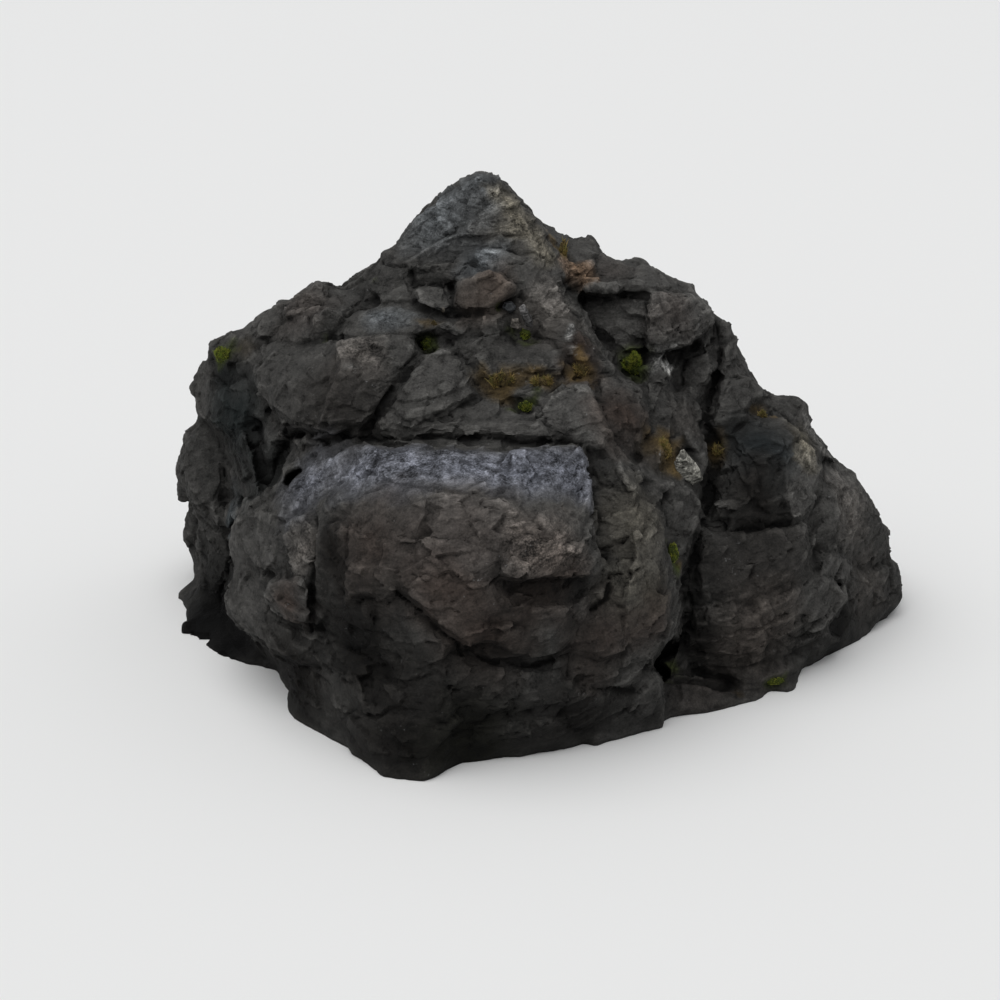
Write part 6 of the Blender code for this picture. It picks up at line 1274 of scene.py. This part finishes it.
# %% The zones
# across, height, radius, colour, strength
ZONES = [
    # peak
    (-0.40, 1.85, 0.30, "blue_grey", 0.8), (-0.12, 2.05, 0.16, "blue_grey", 0.7),
    (0.06, 1.94, 0.13, "olive_tan", 0.9), (0.16, 1.80, 0.17, "olive_tan", 0.9),
    (0.28, 1.62, 0.14, "olive_tan", 0.9), (0.50, 1.50, 0.13, "rust", 1.0), (0.58, 1.45, 0.10, "rust", 0.9),
    (-0.10, 1.36, 0.20, "light_brown", 1.0), (-0.10, 1.58, 0.16, "blue_grey", 0.9),
    (0.72, 1.50, 0.16, "brown_grey", 0.6), (-0.70, 1.45, 0.16, "slate", 0.6),
    # left shoulder
    (-1.78, 0.82, 0.18, "deep_teal", 1.0), (-1.70, 0.98, 0.15, "ochre_soil", 0.8),
    (-1.74, 0.50, 0.34, "deep_teal", 1.0), (-1.72, -0.12, 0.20, "teal", 0.9),
    (-1.60, 0.20, 0.25, "deep_teal", 0.8), (-1.30, 1.25, 0.22, "brown_grey", 0.7),
    (-1.10, 0.72, 0.36, "dark_stone", 1.0), (-0.70, 1.18, 0.16, "blue_grey", 0.9),
    (-0.90, 0.96, 0.18, "pale", 0.9), (-0.50, 0.64, 0.28, "slate", 0.6), (0.10, 0.52, 0.22, "slate", 0.6),
    (0.53, 0.93, 0.16, "brown", 1.0), (0.30, 1.22, 0.20, "pale", 0.7),
    # right upper wall
    (0.85, 1.10, 0.30, "slate", 0.7), (1.10, 1.25, 0.20, "brown_grey", 0.6),
    (0.80, 0.52, 0.26, "brown", 0.9), (1.10, 0.87, 0.12, "lichen", 0.4),
    (1.02, 0.30, 0.13, "ochre_soil", 0.7), (1.36, 0.30, 0.12, "ochre_soil", 0.7),
    (1.20, 0.50, 0.14, "pale", 0.5),
    # boulder crown
    (-1.25, 0.12, 0.28, "bleached", 0.75), (-0.90, 0.24, 0.24, "bleached", 0.85),
    (-0.55, 0.22, 0.26, "bleached", 0.9), (-0.20, 0.24, 0.24, "bleached", 0.9),
    (0.12, 0.22, 0.24, "bleached", 0.9), (0.42, 0.18, 0.24, "bleached", 0.9),
    # boulder face
    (-0.85, -0.32, 0.34, "brown", 0.7), (-0.20, -0.28, 0.36, "brown_grey", 0.8),
    (0.34, -0.36, 0.26, "warm_pale", 0.8), (0.30, -0.62, 0.20, "brown", 0.7),
    (-1.30, -0.28, 0.15, "pale", 0.8), (-1.38, -0.66, 0.18, "brown", 0.8),
    # the near-black and darkest zones here and below are painted shadow and painted shade: in the slot, under
    # the jaw and the wing, and at the foot
    (-1.08, -0.20, 0.10, "shadow_black", 0.9), (-1.08, -0.40, 0.16, "shade_dark", 1.0),
    (-0.90, -0.92, 0.36, "shade_dark", 1.0), (-0.40, -0.60, 0.20, "brown", 0.7),
    (-0.10, -0.88, 0.30, "brown", 0.8), (-0.25, -1.30, 0.36, "shade_dark", 0.5),
    (-0.70, -1.55, 0.40, "shade_dark", 0.9), (-0.20, -1.60, 0.34, "olive_shade_dark", 0.9),
    (0.50, -1.40, 0.30, "shade_dark", 0.8), (-1.30, -1.15, 0.34, "shade_dark", 1.0), (-1.90, -0.75, 0.46, "shadow_black", 1.0),
    (-1.75, -0.95, 0.36, "shadow_black", 1.0),
    # lobes
    (0.88, -0.08, 0.24, "olive_tan", 0.6), (0.90, -0.50, 0.26, "olive_tan", 0.5),
    (0.66, -0.90, 0.26, "brown", 0.7), (1.00, -0.80, 0.20, "brown", 0.6),
    (1.04, -0.62, 0.14, "ochre_soil", 0.5),
    # right boulder
    # the near-black and darkest zones of the right boulder are painted shadow and painted shade, under its
    # head, in its joints and beneath it
    (1.68, 0.35, 0.26, "dark_teal", 1.0), (1.66, 0.02, 0.24, "shade_dark", 0.9),
    (1.98, 0.38, 0.18, "olive_tan", 1.0), (1.70, -0.38, 0.34, "dark_stone", 0.9),
    (2.28, -0.10, 0.26, "pale", 0.6), (1.65, -0.90, 0.36, "light_brown", 0.5),
    (2.40, -0.55, 0.24, "pale", 0.7), (1.30, -1.24, 0.20, "brown_grey", 0.6),
    (2.20, -0.88, 0.20, "shadow_black", 1.0), (1.24, -0.90, 0.16, "shade_dark", 0.7), (1.32, -0.45, 0.16, "shade_dark", 0.6),
    # crusts of lichen
    (0.43, 1.10, 0.045, "lichen", 0.8), (0.47, 0.96, 0.025, "lichen", 0.6),
    (-1.04, 0.86, 0.03, "lichen", 0.4),
    # thin films of moss and dead grass
    (-1.15, 1.03, 0.035, "moss_film", 0.9), (-0.85, 1.43, 0.045, "moss_film", 0.9),
    (-0.03, 1.24, 0.04, "moss_film", 0.9), (-0.44, 0.96, 0.05, "moss_film", 0.8),
    (0.52, 0.76, 0.06, "dry_film", 0.8), (0.60, 0.74, 0.05, "moss_film", 0.7),
    (1.08, 0.40, 0.07, "dry_film", 0.8), (1.12, 0.22, 0.06, "dry_film", 0.7),
    (1.44, 0.36, 0.05, "moss_film", 0.8), (1.16, -0.36, 0.06, "dry_film", 0.7),
    (1.12, -1.12, 0.05, "moss_film", 0.8), (1.54, -1.28, 0.05, "dry_film", 0.7),
    (1.96, -1.08, 0.04, "dry_film", 0.7), (-0.10, 0.80, 0.08, "dry_film", 0.5),
    (0.20, 0.66, 0.06, "moss_film", 0.6), (0.86, 0.80, 0.06, "moss_film", 0.5),
]
ZONE_WANDER = 0.10
print("zones:", len(ZONES))

# %% Paint the zones
def block_tone_and_shade(mesh):
    """A brightness for each vertex: its block's own tone with painted light and shade, painted shade in the
    grooves, 1 where no block is drawn.
    """
    _, ranges, board, facing = seen_from_station(mesh)
    draw = np.random.default_rng(5)
    brightness = np.ones(len(board))
    in_block = np.zeros(len(board), dtype=bool)
    beside = np.zeros(len(board), dtype=bool)
    for name, stands_out, outline, middle, factors in skins:
        own = BLOCK_TONE_AND_SHADE.get(name, 1 + TONE_SPREAD * draw.uniform(-1, 1))
        close = vertices_near(middle, board, facing)
        inside, edge = inside_outline(board[close], outline)
        skin = skin_terms(board[close], middle) @ factors - stands_out
        near_skin = np.abs(skin - ranges[close]) < NEAR_SKIN
        brightness[close[inside & near_skin]] = own
        in_block[close[inside & near_skin]] = True
        beside[close[near_skin & (edge < GROOVE_BESIDE)]] = True
    # painted shade in the grooves between blocks
    brightness[beside & ~in_block] = GROOVE_SHADE
    return brightness


def paint_zones(obj):
    """Stores the zone colours on an object as the colour attribute tone."""
    mesh = obj.data
    count = len(mesh.vertices)
    places = mesh_values(mesh, "co")
    sway = np.array([noise.noise_vector(Vector(place) * 4.0) for place in places])
    fine_sway = np.array([noise.noise_vector(Vector(place) * 13.0) for place in places])
    places = places + sway * ZONE_WANDER + fine_sway * (ZONE_WANDER * 0.4)
    tone = np.tile(paint_value(PALETTE["slate"]), (count, 1))
    for across, height, radius, colour, strength in ZONES:
        middle = on_rock(across, height)
        if middle is None:
            continue
        reach = np.linalg.norm(places - np.array(middle), axis=1) / radius
        share = strength * np.clip(1.25 - reach, 0, 1) ** 0.8
        share = np.clip(share, 0, 1)[:, None]
        tone = tone * (1 - share) + np.array(paint_value(PALETTE[colour])) * share
    # multiplies in each block's own tone, its painted light and shade, and the painted shade of the grooves
    tone = tone * block_tone_and_shade(mesh)[:, None]
    for name, node in nodes.items():
        colour = next((paint for start, paint in PATCH_COLOURS.items() if name.startswith(start)), None)
        if colour:
            tuft = mesh_values(node.data, "co")
            low, high = tuft.min(axis=0), tuft.max(axis=0)
            reach = np.linalg.norm((places - (low + high) / 2) / ((high - low) / 2 * PATCH_SPREAD), axis=1)
            share = 0.75 * np.clip(1.4 - reach, 0, 1)[:, None]
            tone = tone * (1 - share) + np.array(paint_value(PALETTE[colour])) * share
    attribute = mesh.color_attributes.new("tone", "FLOAT_COLOR", "POINT")
    full_tone = np.hstack([tone, np.ones((count, 1))])
    attribute.data.foreach_set("color", full_tone.astype(np.float32).ravel())


paint_zones(outcrop)
print("zones painted on", outcrop.name)

# %% [markdown]
# ## Shared finishes
# The outcrop and the loose stones share their grain, the thin streaks of their foliation and their
# crusts of lichen. These effects are made once, as shader node groups that give plain masks and
# factors. A material decides what to do with them.

# %% Shader groups
def grain_group():
    """Uneven brightness at three scales, around 1."""
    tree, given, result = new_tree(
        "stone grain", "ShaderNodeTree",
        [("Place", "NodeSocketVector", None), ("Contrast", "NodeSocketFloat", 1.0)],
        [("Factor", "NodeSocketFloat")],
    )
    blotch = cloud(tree, given["Place"], 2.3, 6.0, 0.6)
    mottle = cloud(tree, given["Place"], 14.0, 5.0, 0.65)
    grain = cloud(tree, given["Place"], 85.0, 2.0, 0.6)
    total = maths(tree, "MULTIPLY", maths(tree, "SUBTRACT", blotch, 0.5), 1.5)
    total = maths(tree, "MULTIPLY_ADD", maths(tree, "SUBTRACT", mottle, 0.5), 2.2, total)
    total = maths(tree, "MULTIPLY_ADD", maths(tree, "SUBTRACT", grain, 0.5), 1.5, total)
    factor = maths(tree, "MULTIPLY_ADD", total, given["Contrast"], 1.0)
    tree.links.new(maths(tree, "MAXIMUM", factor, 0.15), result["Factor"])
    return tree


def foliation_group():
    """Thin streaks that lie along the beds, from 0 to 1."""
    tree, given, result = new_tree(
        "foliation", "ShaderNodeTree", [("Place", "NodeSocketVector", None)], [("Streaks", "NodeSocketFloat")]
    )
    bent = bent_place(tree, given["Place"], 0.14, 1.7, 2.0)
    level = vectors(tree, "DOT_PRODUCT", bent, tuple(BED_NORMAL))
    along = vectors(tree, "SUBTRACT", bent, vectors(tree, "SCALE", tuple(BED_NORMAL), scale=level))
    across = vectors(tree, "SCALE", tuple(BED_NORMAL), scale=maths(tree, "MULTIPLY", level, 34.0))
    squeezed = vectors(tree, "ADD", vectors(tree, "SCALE", along, scale=9.0), across)
    streak = cloud(tree, squeezed, 1.0, 6.0, 0.78)
    tree.links.new(ramp_between(tree, streak, 0.40, 0.64), result["Streaks"])
    return tree


def lichen_group():
    """Small pale crusts in loose crowds, from 0 to 1."""
    tree, given, result = new_tree(
        "lichen crusts", "ShaderNodeTree",
        [("Place", "NodeSocketVector", None), ("Amount", "NodeSocketFloat", 0.5)],
        [("Mask", "NodeSocketFloat")],
    )
    crowd = cloud(tree, given["Place"], 3.1, 4.0, 0.65)
    ragged = cloud(tree, given["Place"], 30.0, 5.0, 0.72)
    limit = maths(tree, "MULTIPLY", ramp_between(tree, crowd, 0.42, 0.66), given["Amount"])
    edge = maths(tree, "MULTIPLY_ADD", limit, -0.20, 0.70)
    mask = ramp_between(tree, maths(tree, "SUBTRACT", ragged, edge), 0.0, 0.05)
    tree.links.new(mask, result["Mask"])
    return tree


grain_shader = grain_group()
foliation_shader = foliation_group()
lichen_shader = lichen_group()
print("shader groups ready")

# %% [markdown]
# ## Rock material
# Weathered gneiss: dark grey-brown with a fine pale grain. What faces the open sky is lighter, partly
# bleached by rain and partly painted light, and lichen grows there too. Cracks, hollows, sheltered places and
# the foot get painted shade, and knobs a painted highlight. Bump adds only what is smaller than the mesh can
# show.

# %% Rock material
def use_group(tree, group, **inputs):
    made = tree.nodes.new("ShaderNodeGroup")
    made.node_tree = group
    for key, value in inputs.items():
        fill(tree, made.inputs[key.replace("_", " ")], value)
    return made


def blend(tree, factor, first, second, mode="MIX"):
    """Two colours mixed."""
    made = tree.nodes.new("ShaderNodeMix")
    made.data_type = "RGBA"
    made.blend_type = mode
    fill(tree, made.inputs[0], factor)
    fill(tree, made.inputs[6], first)
    fill(tree, made.inputs[7], second)
    return made.outputs[2]


def dimmed(tree, colour, factor):
    """A colour times a factor."""
    return vectors(tree, "SCALE", colour, scale=factor)


def stored_value(tree, name):
    """A number that a tree or the openness cell stored on the mesh."""
    return add_node(tree, "ShaderNodeAttribute", {"attribute_name": name}).outputs["Fac"]


def start_material(name):
    material = bpy.data.materials.new(name)
    material.use_nodes = True
    tree = material.node_tree
    place = tree.nodes.new("ShaderNodeTexCoord").outputs["Object"]
    return material, tree, place, tree.nodes["Principled BSDF"].inputs


def stone_material(name, tone=None, bleach_and_sky_light=0.6, lichen_amount=0.4, foot_shade_height=0.55):
    """Weathered stone with painted light and shade. The tone is a plain colour, or the colour attribute tone
    when none is given.
    """
    material, tree, place, surface = start_material(name)
    if tone is None:
        base = add_node(tree, "ShaderNodeAttribute", {"attribute_name": "tone"}).outputs["Color"]
    else:
        base = add_node(tree, "ShaderNodeRGB").outputs[0]
        base.default_value = (*tone, 1)
    crack = stored_value(tree, "crack")
    hollow = stored_value(tree, "hollow")
    open_sky = stored_value(tree, "sky")

    brightness = vectors(tree, "DOT_PRODUCT", base, (0.33, 0.34, 0.33))
    weathered = ramp_between(tree, brightness, 0.05, 0.11)
    contrast = maths(tree, "MULTIPLY_ADD", weathered, 0.8, 1.0)
    grain = use_group(tree, grain_shader, Place=place, Contrast=contrast).outputs["Factor"]
    streaks = use_group(tree, foliation_shader, Place=place).outputs["Streaks"]
    lichen = use_group(tree, lichen_shader, Place=place, Amount=lichen_amount).outputs["Mask"]

    low = maths(tree, "MULTIPLY_ADD", weathered, -0.44, 0.88)
    high = maths(tree, "MULTIPLY_ADD", weathered, 0.95, 1.14)
    streaked = maths(tree, "MULTIPLY_ADD", streaks, maths(tree, "SUBTRACT", high, low), low)
    colour = dimmed(tree, base, maths(tree, "MULTIPLY", grain, streaked))
    # lighter where the sky is open: partly bleaching by rain and sun, partly painted light on the tops
    sky = ramp_between(tree, open_sky, 0.50, 0.95)
    patchy = cloud(tree, place, 6.0, 5.0, 0.7)
    bleach_and_light_mask = maths(tree, "MULTIPLY", sky, ramp_between(tree, patchy, 0.34, 0.66, 0.25, 1.0))
    colour = dimmed(tree, colour, maths(tree, "MULTIPLY_ADD", bleach_and_light_mask, bleach_and_sky_light, 1.0))
    crust = maths(tree, "MULTIPLY", lichen, ramp_between(tree, open_sky, 0.2, 0.8, 0.10, 0.60))
    colour = blend(tree, crust, colour, (0.20, 0.20, 0.20, 1))
    # painted shade in pits and a painted highlight on knobs, from the stored hollow
    painted_pit_shade = ramp_between(tree, hollow, 0.50, 0.92)
    painted_knob_highlight = ramp_between(tree, hollow, 0.50, 0.20)
    colour = dimmed(tree, colour, ramp_between(tree, painted_pit_shade, 0.0, 1.0, 1.0, 0.30))
    colour = dimmed(tree, colour, ramp_between(tree, painted_knob_highlight, 0.0, 1.0, 1.0, 1.60))
    # painted shade in the cracks
    colour = dimmed(tree, colour, ramp_between(tree, crack, 0.20, 1.0, 1.0, 0.32))
    # painted shade where little of the sky is open
    colour = dimmed(tree, colour, ramp_between(tree, open_sky, 0.0, 0.55, 0.22, 1.0))
    # painted shade towards the foot, with an uneven edge
    uneven = maths(tree, "MULTIPLY_ADD", patchy, 0.5, -0.25)
    level = maths(tree, "ADD", height_of(tree, place), uneven)
    foot = ramp_between(tree, level, 0.0, foot_shade_height, 1.0, 0.0)
    colour = dimmed(tree, colour, ramp_between(tree, foot, 0.0, 1.0, 1.0, 0.72))
    tree.links.new(colour, surface["Base Color"])

    rough = ramp_between(tree, grain, 0.5, 1.5, 0.72, 0.92)
    tree.links.new(rough, surface["Roughness"])
    surface["Specular IOR Level"].default_value = 0.12
    coarse = cloud(tree, place, 30.0, 6.0, 0.72)
    relief = maths(tree, "MULTIPLY_ADD", streaks, 0.35, coarse)
    bump = add_node(tree, "ShaderNodeBump", Strength=0.75, Distance=0.012, Height=relief)
    tree.links.new(bump.outputs["Normal"], surface["Normal"])
    return material


rock_material = stone_material("weathered_rock")
outcrop.data.materials.clear()
outcrop.data.materials.append(rock_material)
print("rock material made")

# %% [markdown]
# ## Loose stones
# Four stones are caught in the joints. They are the same rock as the outcrop, so they get the same
# trees with smaller heights: a stone is weathered at its own size. Each has its own tone, read off the
# picture.

# %% Loose stones
STONE_VOXEL = 0.0045
STONE_TONES = {
    "chockstone": (0.040, 0.042, 0.044),
    "leaning_slab": (0.072, 0.070, 0.069),
    "leaning_slab_low": (0.075, 0.068, 0.060),
    "gully_stone": (0.118, 0.115, 0.102),
}

stones = {}
for stone_name, stone_tone in STONE_TONES.items():
    stone = welded_copy(stone_name, "weathered_" + stone_name)
    run_modifier(stone, "REMESH", mode="VOXEL", voxel_size=STONE_VOXEL)
    run_tree(
        stone, weathering, Softening=3, Lump_Height=0.010, Facet_Height=0.014, Facet_Scale=15.0,
        Bed_Height=0.004, Bed_Spacing=0.03, Crack_Depth=0.004, Crack_Width=0.006, Grain_Height=0.004,
    )
    run_tree(stone, hollows, Reach=14, Full_Depth=0.006)
    measure_openness(stone)
    stone.data.materials.clear()
    stone.data.materials.append(stone_material("stone_of_" + stone_name, tone=stone_tone))
    stones[stone_name] = stone
    print(stone.name, len(stone.data.polygons), "faces")

# %% [markdown]
# ## Moss and dry grass
# A moss cushion is a crowd of upright shoots a finger's width long, and a tuft of dead grass is a spray
# of thin blades. The solid model has a plain lump for each, which reaches as far as the tips do. So the
# lump itself gives the size: a smaller copy of it, close to the rock, is the dark mat of roots and dead
# shoots. Blades are scattered on that mat, each one is aimed, and a ray along it to the inside of the
# lump tells how long it may grow. So no blade passes the lump. Here and there the blades are kept
# short, as a worn tuft has them.
#
# One tree does both. Moss has wider shoots on a large mat, and grass has thin blades that spread more.

# %% The plant tree
def blade_shape(tree):
    """One blade of unit length along Z, tapered, folded along the middle and bent forwards."""
    strip = add_node(tree, "GeometryNodeMeshGrid", Size_X=1.0, Size_Y=1.0, Vertices_X=3, Vertices_Y=4)
    place = tree.nodes.new("GeometryNodeInputPosition").outputs[0]
    parts = add_node(tree, "ShaderNodeSeparateXYZ", Vector=place).outputs
    rise = maths(tree, "ADD", parts["Y"], 0.5)
    taper = maths(tree, "SUBTRACT", 1.0, maths(tree, "POWER", rise, 1.8))
    taper = maths(tree, "MAXIMUM", taper, 0.08)
    fold = maths(tree, "MULTIPLY", maths(tree, "ABSOLUTE", parts["X"]), 0.6)
    forward = maths(tree, "MULTIPLY", maths(tree, "POWER", rise, 2.0), 0.6)
    shaped = add_node(
        tree, "ShaderNodeCombineXYZ", X=maths(tree, "MULTIPLY", parts["X"], taper),
        Y=maths(tree, "ADD", maths(tree, "MULTIPLY", fold, taper), forward), Z=rise,
    ).outputs[0]
    moved = add_node(tree, "GeometryNodeSetPosition", Geometry=strip.outputs["Mesh"], Position=shaped)
    return store_value(tree, moved.outputs[0], "tip", rise)


def random_value(tree, kind, low, high, seed):
    made = tree.nodes.new("FunctionNodeRandomValue")
    made.data_type = kind
    slots = {"FLOAT": (2, 3, 1), "FLOAT_VECTOR": (0, 1, 0)}[kind]
    fill(tree, made.inputs[slots[0]], low)
    fill(tree, made.inputs[slots[1]], high)
    fill(tree, made.inputs["Seed"], seed)
    return made.outputs[slots[2]]


def with_material(tree, node, material):
    return add_node(tree, "GeometryNodeSetMaterial", Geometry=node.outputs[0], Material=material).outputs[0]


def plant_tree():
    tree, given, result = new_tree(
        "plant tuft", "GeometryNodeTree",
        [
            ("Geometry", "NodeSocketGeometry", None),
            ("Root", "NodeSocketVector", None),
            ("Mat Size", "NodeSocketFloat", 0.7),
            ("Density", "NodeSocketFloat", 30000.0),
            ("Blade Width", "NodeSocketFloat", 0.005),
            ("Upright", "NodeSocketFloat", 0.4),
            ("Spread", "NodeSocketFloat", 0.4),
            ("Shortest", "NodeSocketFloat", 0.5),
            ("Seed", "NodeSocketInt", 1),
            ("Blade Material", "NodeSocketMaterial", None),
            ("Mat Material", "NodeSocketMaterial", None),
        ],
        [("Geometry", "NodeSocketGeometry")],
    )
    place = tree.nodes.new("GeometryNodeInputPosition").outputs[0]
    from_root = vectors(tree, "SUBTRACT", place, given["Root"])
    wobble = maths(tree, "MULTIPLY_ADD", cloud(tree, place, 18.0, 3.0), 2.0, -0.15, clamp=True)
    size = maths(tree, "MULTIPLY", given["Mat Size"], wobble)
    inside = vectors(tree, "ADD", given["Root"], vectors(tree, "SCALE", from_root, scale=size))
    fine_lump = add_node(tree, "GeometryNodeSubdivideMesh", Mesh=given["Geometry"], Level=2)
    mat = add_node(tree, "GeometryNodeSetPosition", Geometry=fine_lump.outputs[0], Position=inside)

    scatter = add_node(
        tree, "GeometryNodeDistributePointsOnFaces", {"distribute_method": "RANDOM"},
        Mesh=mat.outputs[0], Density=given["Density"], Seed=given["Seed"],
    )
    wander = random_value(tree, "FLOAT_VECTOR", (-1.0, -1.0, -1.0), (1.0, 1.0, 1.0), given["Seed"])
    flat_share = maths(tree, "SUBTRACT", 1.0, given["Upright"])
    outward = vectors(tree, "SCALE", scatter.outputs["Normal"], scale=flat_share)
    upward = vectors(tree, "SCALE", (0.0, 0.0, 1.0), scale=given["Upright"])
    stray = vectors(tree, "SCALE", wander, scale=given["Spread"])
    aim = vectors(tree, "ADD", vectors(tree, "ADD", outward, upward), stray)
    aim = vectors(tree, "NORMALIZE", aim)
    here = tree.nodes.new("GeometryNodeInputPosition").outputs[0]
    ray = tree.nodes.new("GeometryNodeRaycast")
    fill(tree, ray.inputs["Target Geometry"], given["Geometry"])
    fill(tree, ray.inputs["Source Position"], here)
    fill(tree, ray.inputs["Ray Direction"], aim)
    fill(tree, ray.inputs["Ray Length"], 0.4)
    share = random_value(tree, "FLOAT", given["Shortest"], 0.98, maths(tree, "ADD", given["Seed"], 7.0))
    thin_places = cloud(tree, here, 20.0, 2.0)
    share = maths(tree, "MULTIPLY", share, ramp_between(tree, thin_places, 0.40, 0.58, 0.15, 1.0))
    length = maths(tree, "MULTIPLY", ray.outputs["Hit Distance"], share)
    length = maths(tree, "MULTIPLY", length, ray.outputs["Is Hit"])

    facing = add_node(tree, "FunctionNodeAlignRotationToVector", {"axis": "Z"}, Vector=aim)
    spin = random_value(tree, "FLOAT", 0.0, math.tau, maths(tree, "ADD", given["Seed"], 13.0))
    about = add_node(tree, "ShaderNodeCombineXYZ", Z=spin).outputs[0]
    turned = add_node(
        tree, "FunctionNodeRotateRotation", {"rotation_space": "LOCAL"},
        Rotation=facing.outputs[0], Rotate_By=about,
    )
    girth = maths(tree, "MULTIPLY", given["Blade Width"], maths(tree, "MULTIPLY_ADD", share, 0.8, 0.4))
    stretch = add_node(
        tree, "ShaderNodeCombineXYZ", X=girth, Y=maths(tree, "MULTIPLY", length, 0.35), Z=length
    ).outputs[0]
    kept = tree.nodes.new("GeometryNodeDeleteGeometry")
    fill(tree, kept.inputs["Geometry"], scatter.outputs["Points"])
    fill(tree, kept.inputs["Selection"], maths(tree, "LESS_THAN", length, 0.004))
    sprays = add_node(
        tree, "GeometryNodeInstanceOnPoints", Points=kept.outputs[0], Instance=blade_shape(tree),
        Rotation=turned.outputs[0], Scale=stretch,
    )
    blades = add_node(tree, "GeometryNodeRealizeInstances", Geometry=sprays.outputs[0])
    blades = with_material(tree, blades, given["Blade Material"])
    mat = with_material(tree, mat, given["Mat Material"])
    joined = tree.nodes.new("GeometryNodeJoinGeometry")
    tree.links.new(blades, joined.inputs[0])
    tree.links.new(mat, joined.inputs[0])
    tree.links.new(joined.outputs[0], result["Geometry"])
    return tree


planting = plant_tree()
print("plant tree:", len(planting.nodes), "nodes")

# %% [markdown]
# ## Plant materials
# A blade is darkest at its root, where little light gets in, and lightest at the tip. The tips also
# differ from place to place: moss goes from deep green to yellow-green, and dead grass from straw to
# olive.

# %% Plant materials
def blade_material(name, root, first_tip, second_tip):
    """Root colour to tip colour along each blade, with two tip colours in patches."""
    material, tree, place, surface = start_material(name)
    tip = stored_value(tree, "tip")
    patch = cloud(tree, place, 28.0, 3.0, 0.7)
    fine = cloud(tree, place, 160.0, 1.0)
    tips = blend(tree, ramp_between(tree, patch, 0.40, 0.60), (*first_tip, 1), (*second_tip, 1))
    tips = dimmed(tree, tips, ramp_between(tree, fine, 0.3, 0.7, 0.65, 1.35))
    colour = blend(tree, ramp_between(tree, tip, 0.05, 0.75), (*root, 1), tips)
    tree.links.new(colour, surface["Base Color"])
    surface["Roughness"].default_value = 0.8
    surface["Specular IOR Level"].default_value = 0.2
    return material


def mat_material(name, first, second):
    """Dead shoots and soil under the living blades."""
    material, tree, place, surface = start_material(name)
    patch = cloud(tree, place, 45.0, 5.0, 0.75)
    colour = blend(tree, ramp_between(tree, patch, 0.40, 0.62), (*first, 1), (*second, 1))
    tree.links.new(colour, surface["Base Color"])
    surface["Roughness"].default_value = 0.95
    surface["Specular IOR Level"].default_value = 0.1
    bump = add_node(tree, "ShaderNodeBump", Strength=0.9, Distance=0.006, Height=patch)
    tree.links.new(bump.outputs["Normal"], surface["Normal"])
    return material


moss_blades = blade_material(
    "moss_shoots", root=(0.030, 0.040, 0.008), first_tip=(0.130, 0.170, 0.020),
    second_tip=(0.210, 0.220, 0.034),
)
moss_mat = mat_material("moss_mat", (0.020, 0.026, 0.008), (0.050, 0.062, 0.012))
grass_blades = blade_material(
    "dry_blades", root=(0.060, 0.042, 0.018), first_tip=(0.300, 0.210, 0.075),
    second_tip=(0.170, 0.150, 0.045),
)
grass_mat = mat_material("grass_mat", (0.040, 0.030, 0.016), (0.100, 0.075, 0.032))
print("plant materials made")

# %% [markdown]
# ## Growing the plants
# Each lump of the solid is turned into its plant by the one tree, with a table of values for moss and
# one for grass. The root is where the lump touches the rock. Every plant has a seed of its own, so no
# two look alike and each comes out the same at every run.

# %% Grow the plants
PLANT_REACH = 0.012
PLANT_KINDS = {
    "moss": {
        "Mat_Size": 0.86, "Density": 60000.0, "Blade_Width": 0.0046, "Upright": 0.30, "Spread": 0.45,
        "Shortest": 0.35, "Blade_Material": moss_blades, "Mat_Material": moss_mat,
    },
    "grass": {
        "Mat_Size": 0.58, "Density": 52000.0, "Blade_Width": 0.0030, "Upright": 0.34, "Spread": 0.60,
        "Shortest": 0.40, "Blade_Material": grass_blades, "Mat_Material": grass_mat,
    },
}


def kind_of(node_name):
    return node_name.split("_")[0]


def plant_root(obj):
    """The middle of the lump's underside, where it meets the rock."""
    touching = [v.co for v in obj.data.vertices if solid_rock.find_nearest(v.co)[3] < PLANT_REACH]
    return sum(touching, Vector()) / len(touching)


plants = {}
for index, node_name in enumerate(name for name in nodes if name.startswith(("moss_", "grass_"))):
    plant = welded_copy(node_name, "grown_" + node_name)
    plant.data.materials.clear()
    run_tree(plant, planting, Root=plant_root(plant), Seed=index + 1, **PLANT_KINDS[kind_of(node_name)])
    plants[node_name] = plant
    print(plant.name, len(plant.data.polygons), "faces")

# %% [markdown]
# ## Attaching the pieces
# Each finished piece hides the solid it takes the place of and is attached to the body it rides on.

pieces = {"rock": outcrop, **stones, **plants}
for node_name, piece in pieces.items():
    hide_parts(node_name)
    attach(piece, "root")
    if node_name == "rock":
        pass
    elif node_name in stones:
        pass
    else:
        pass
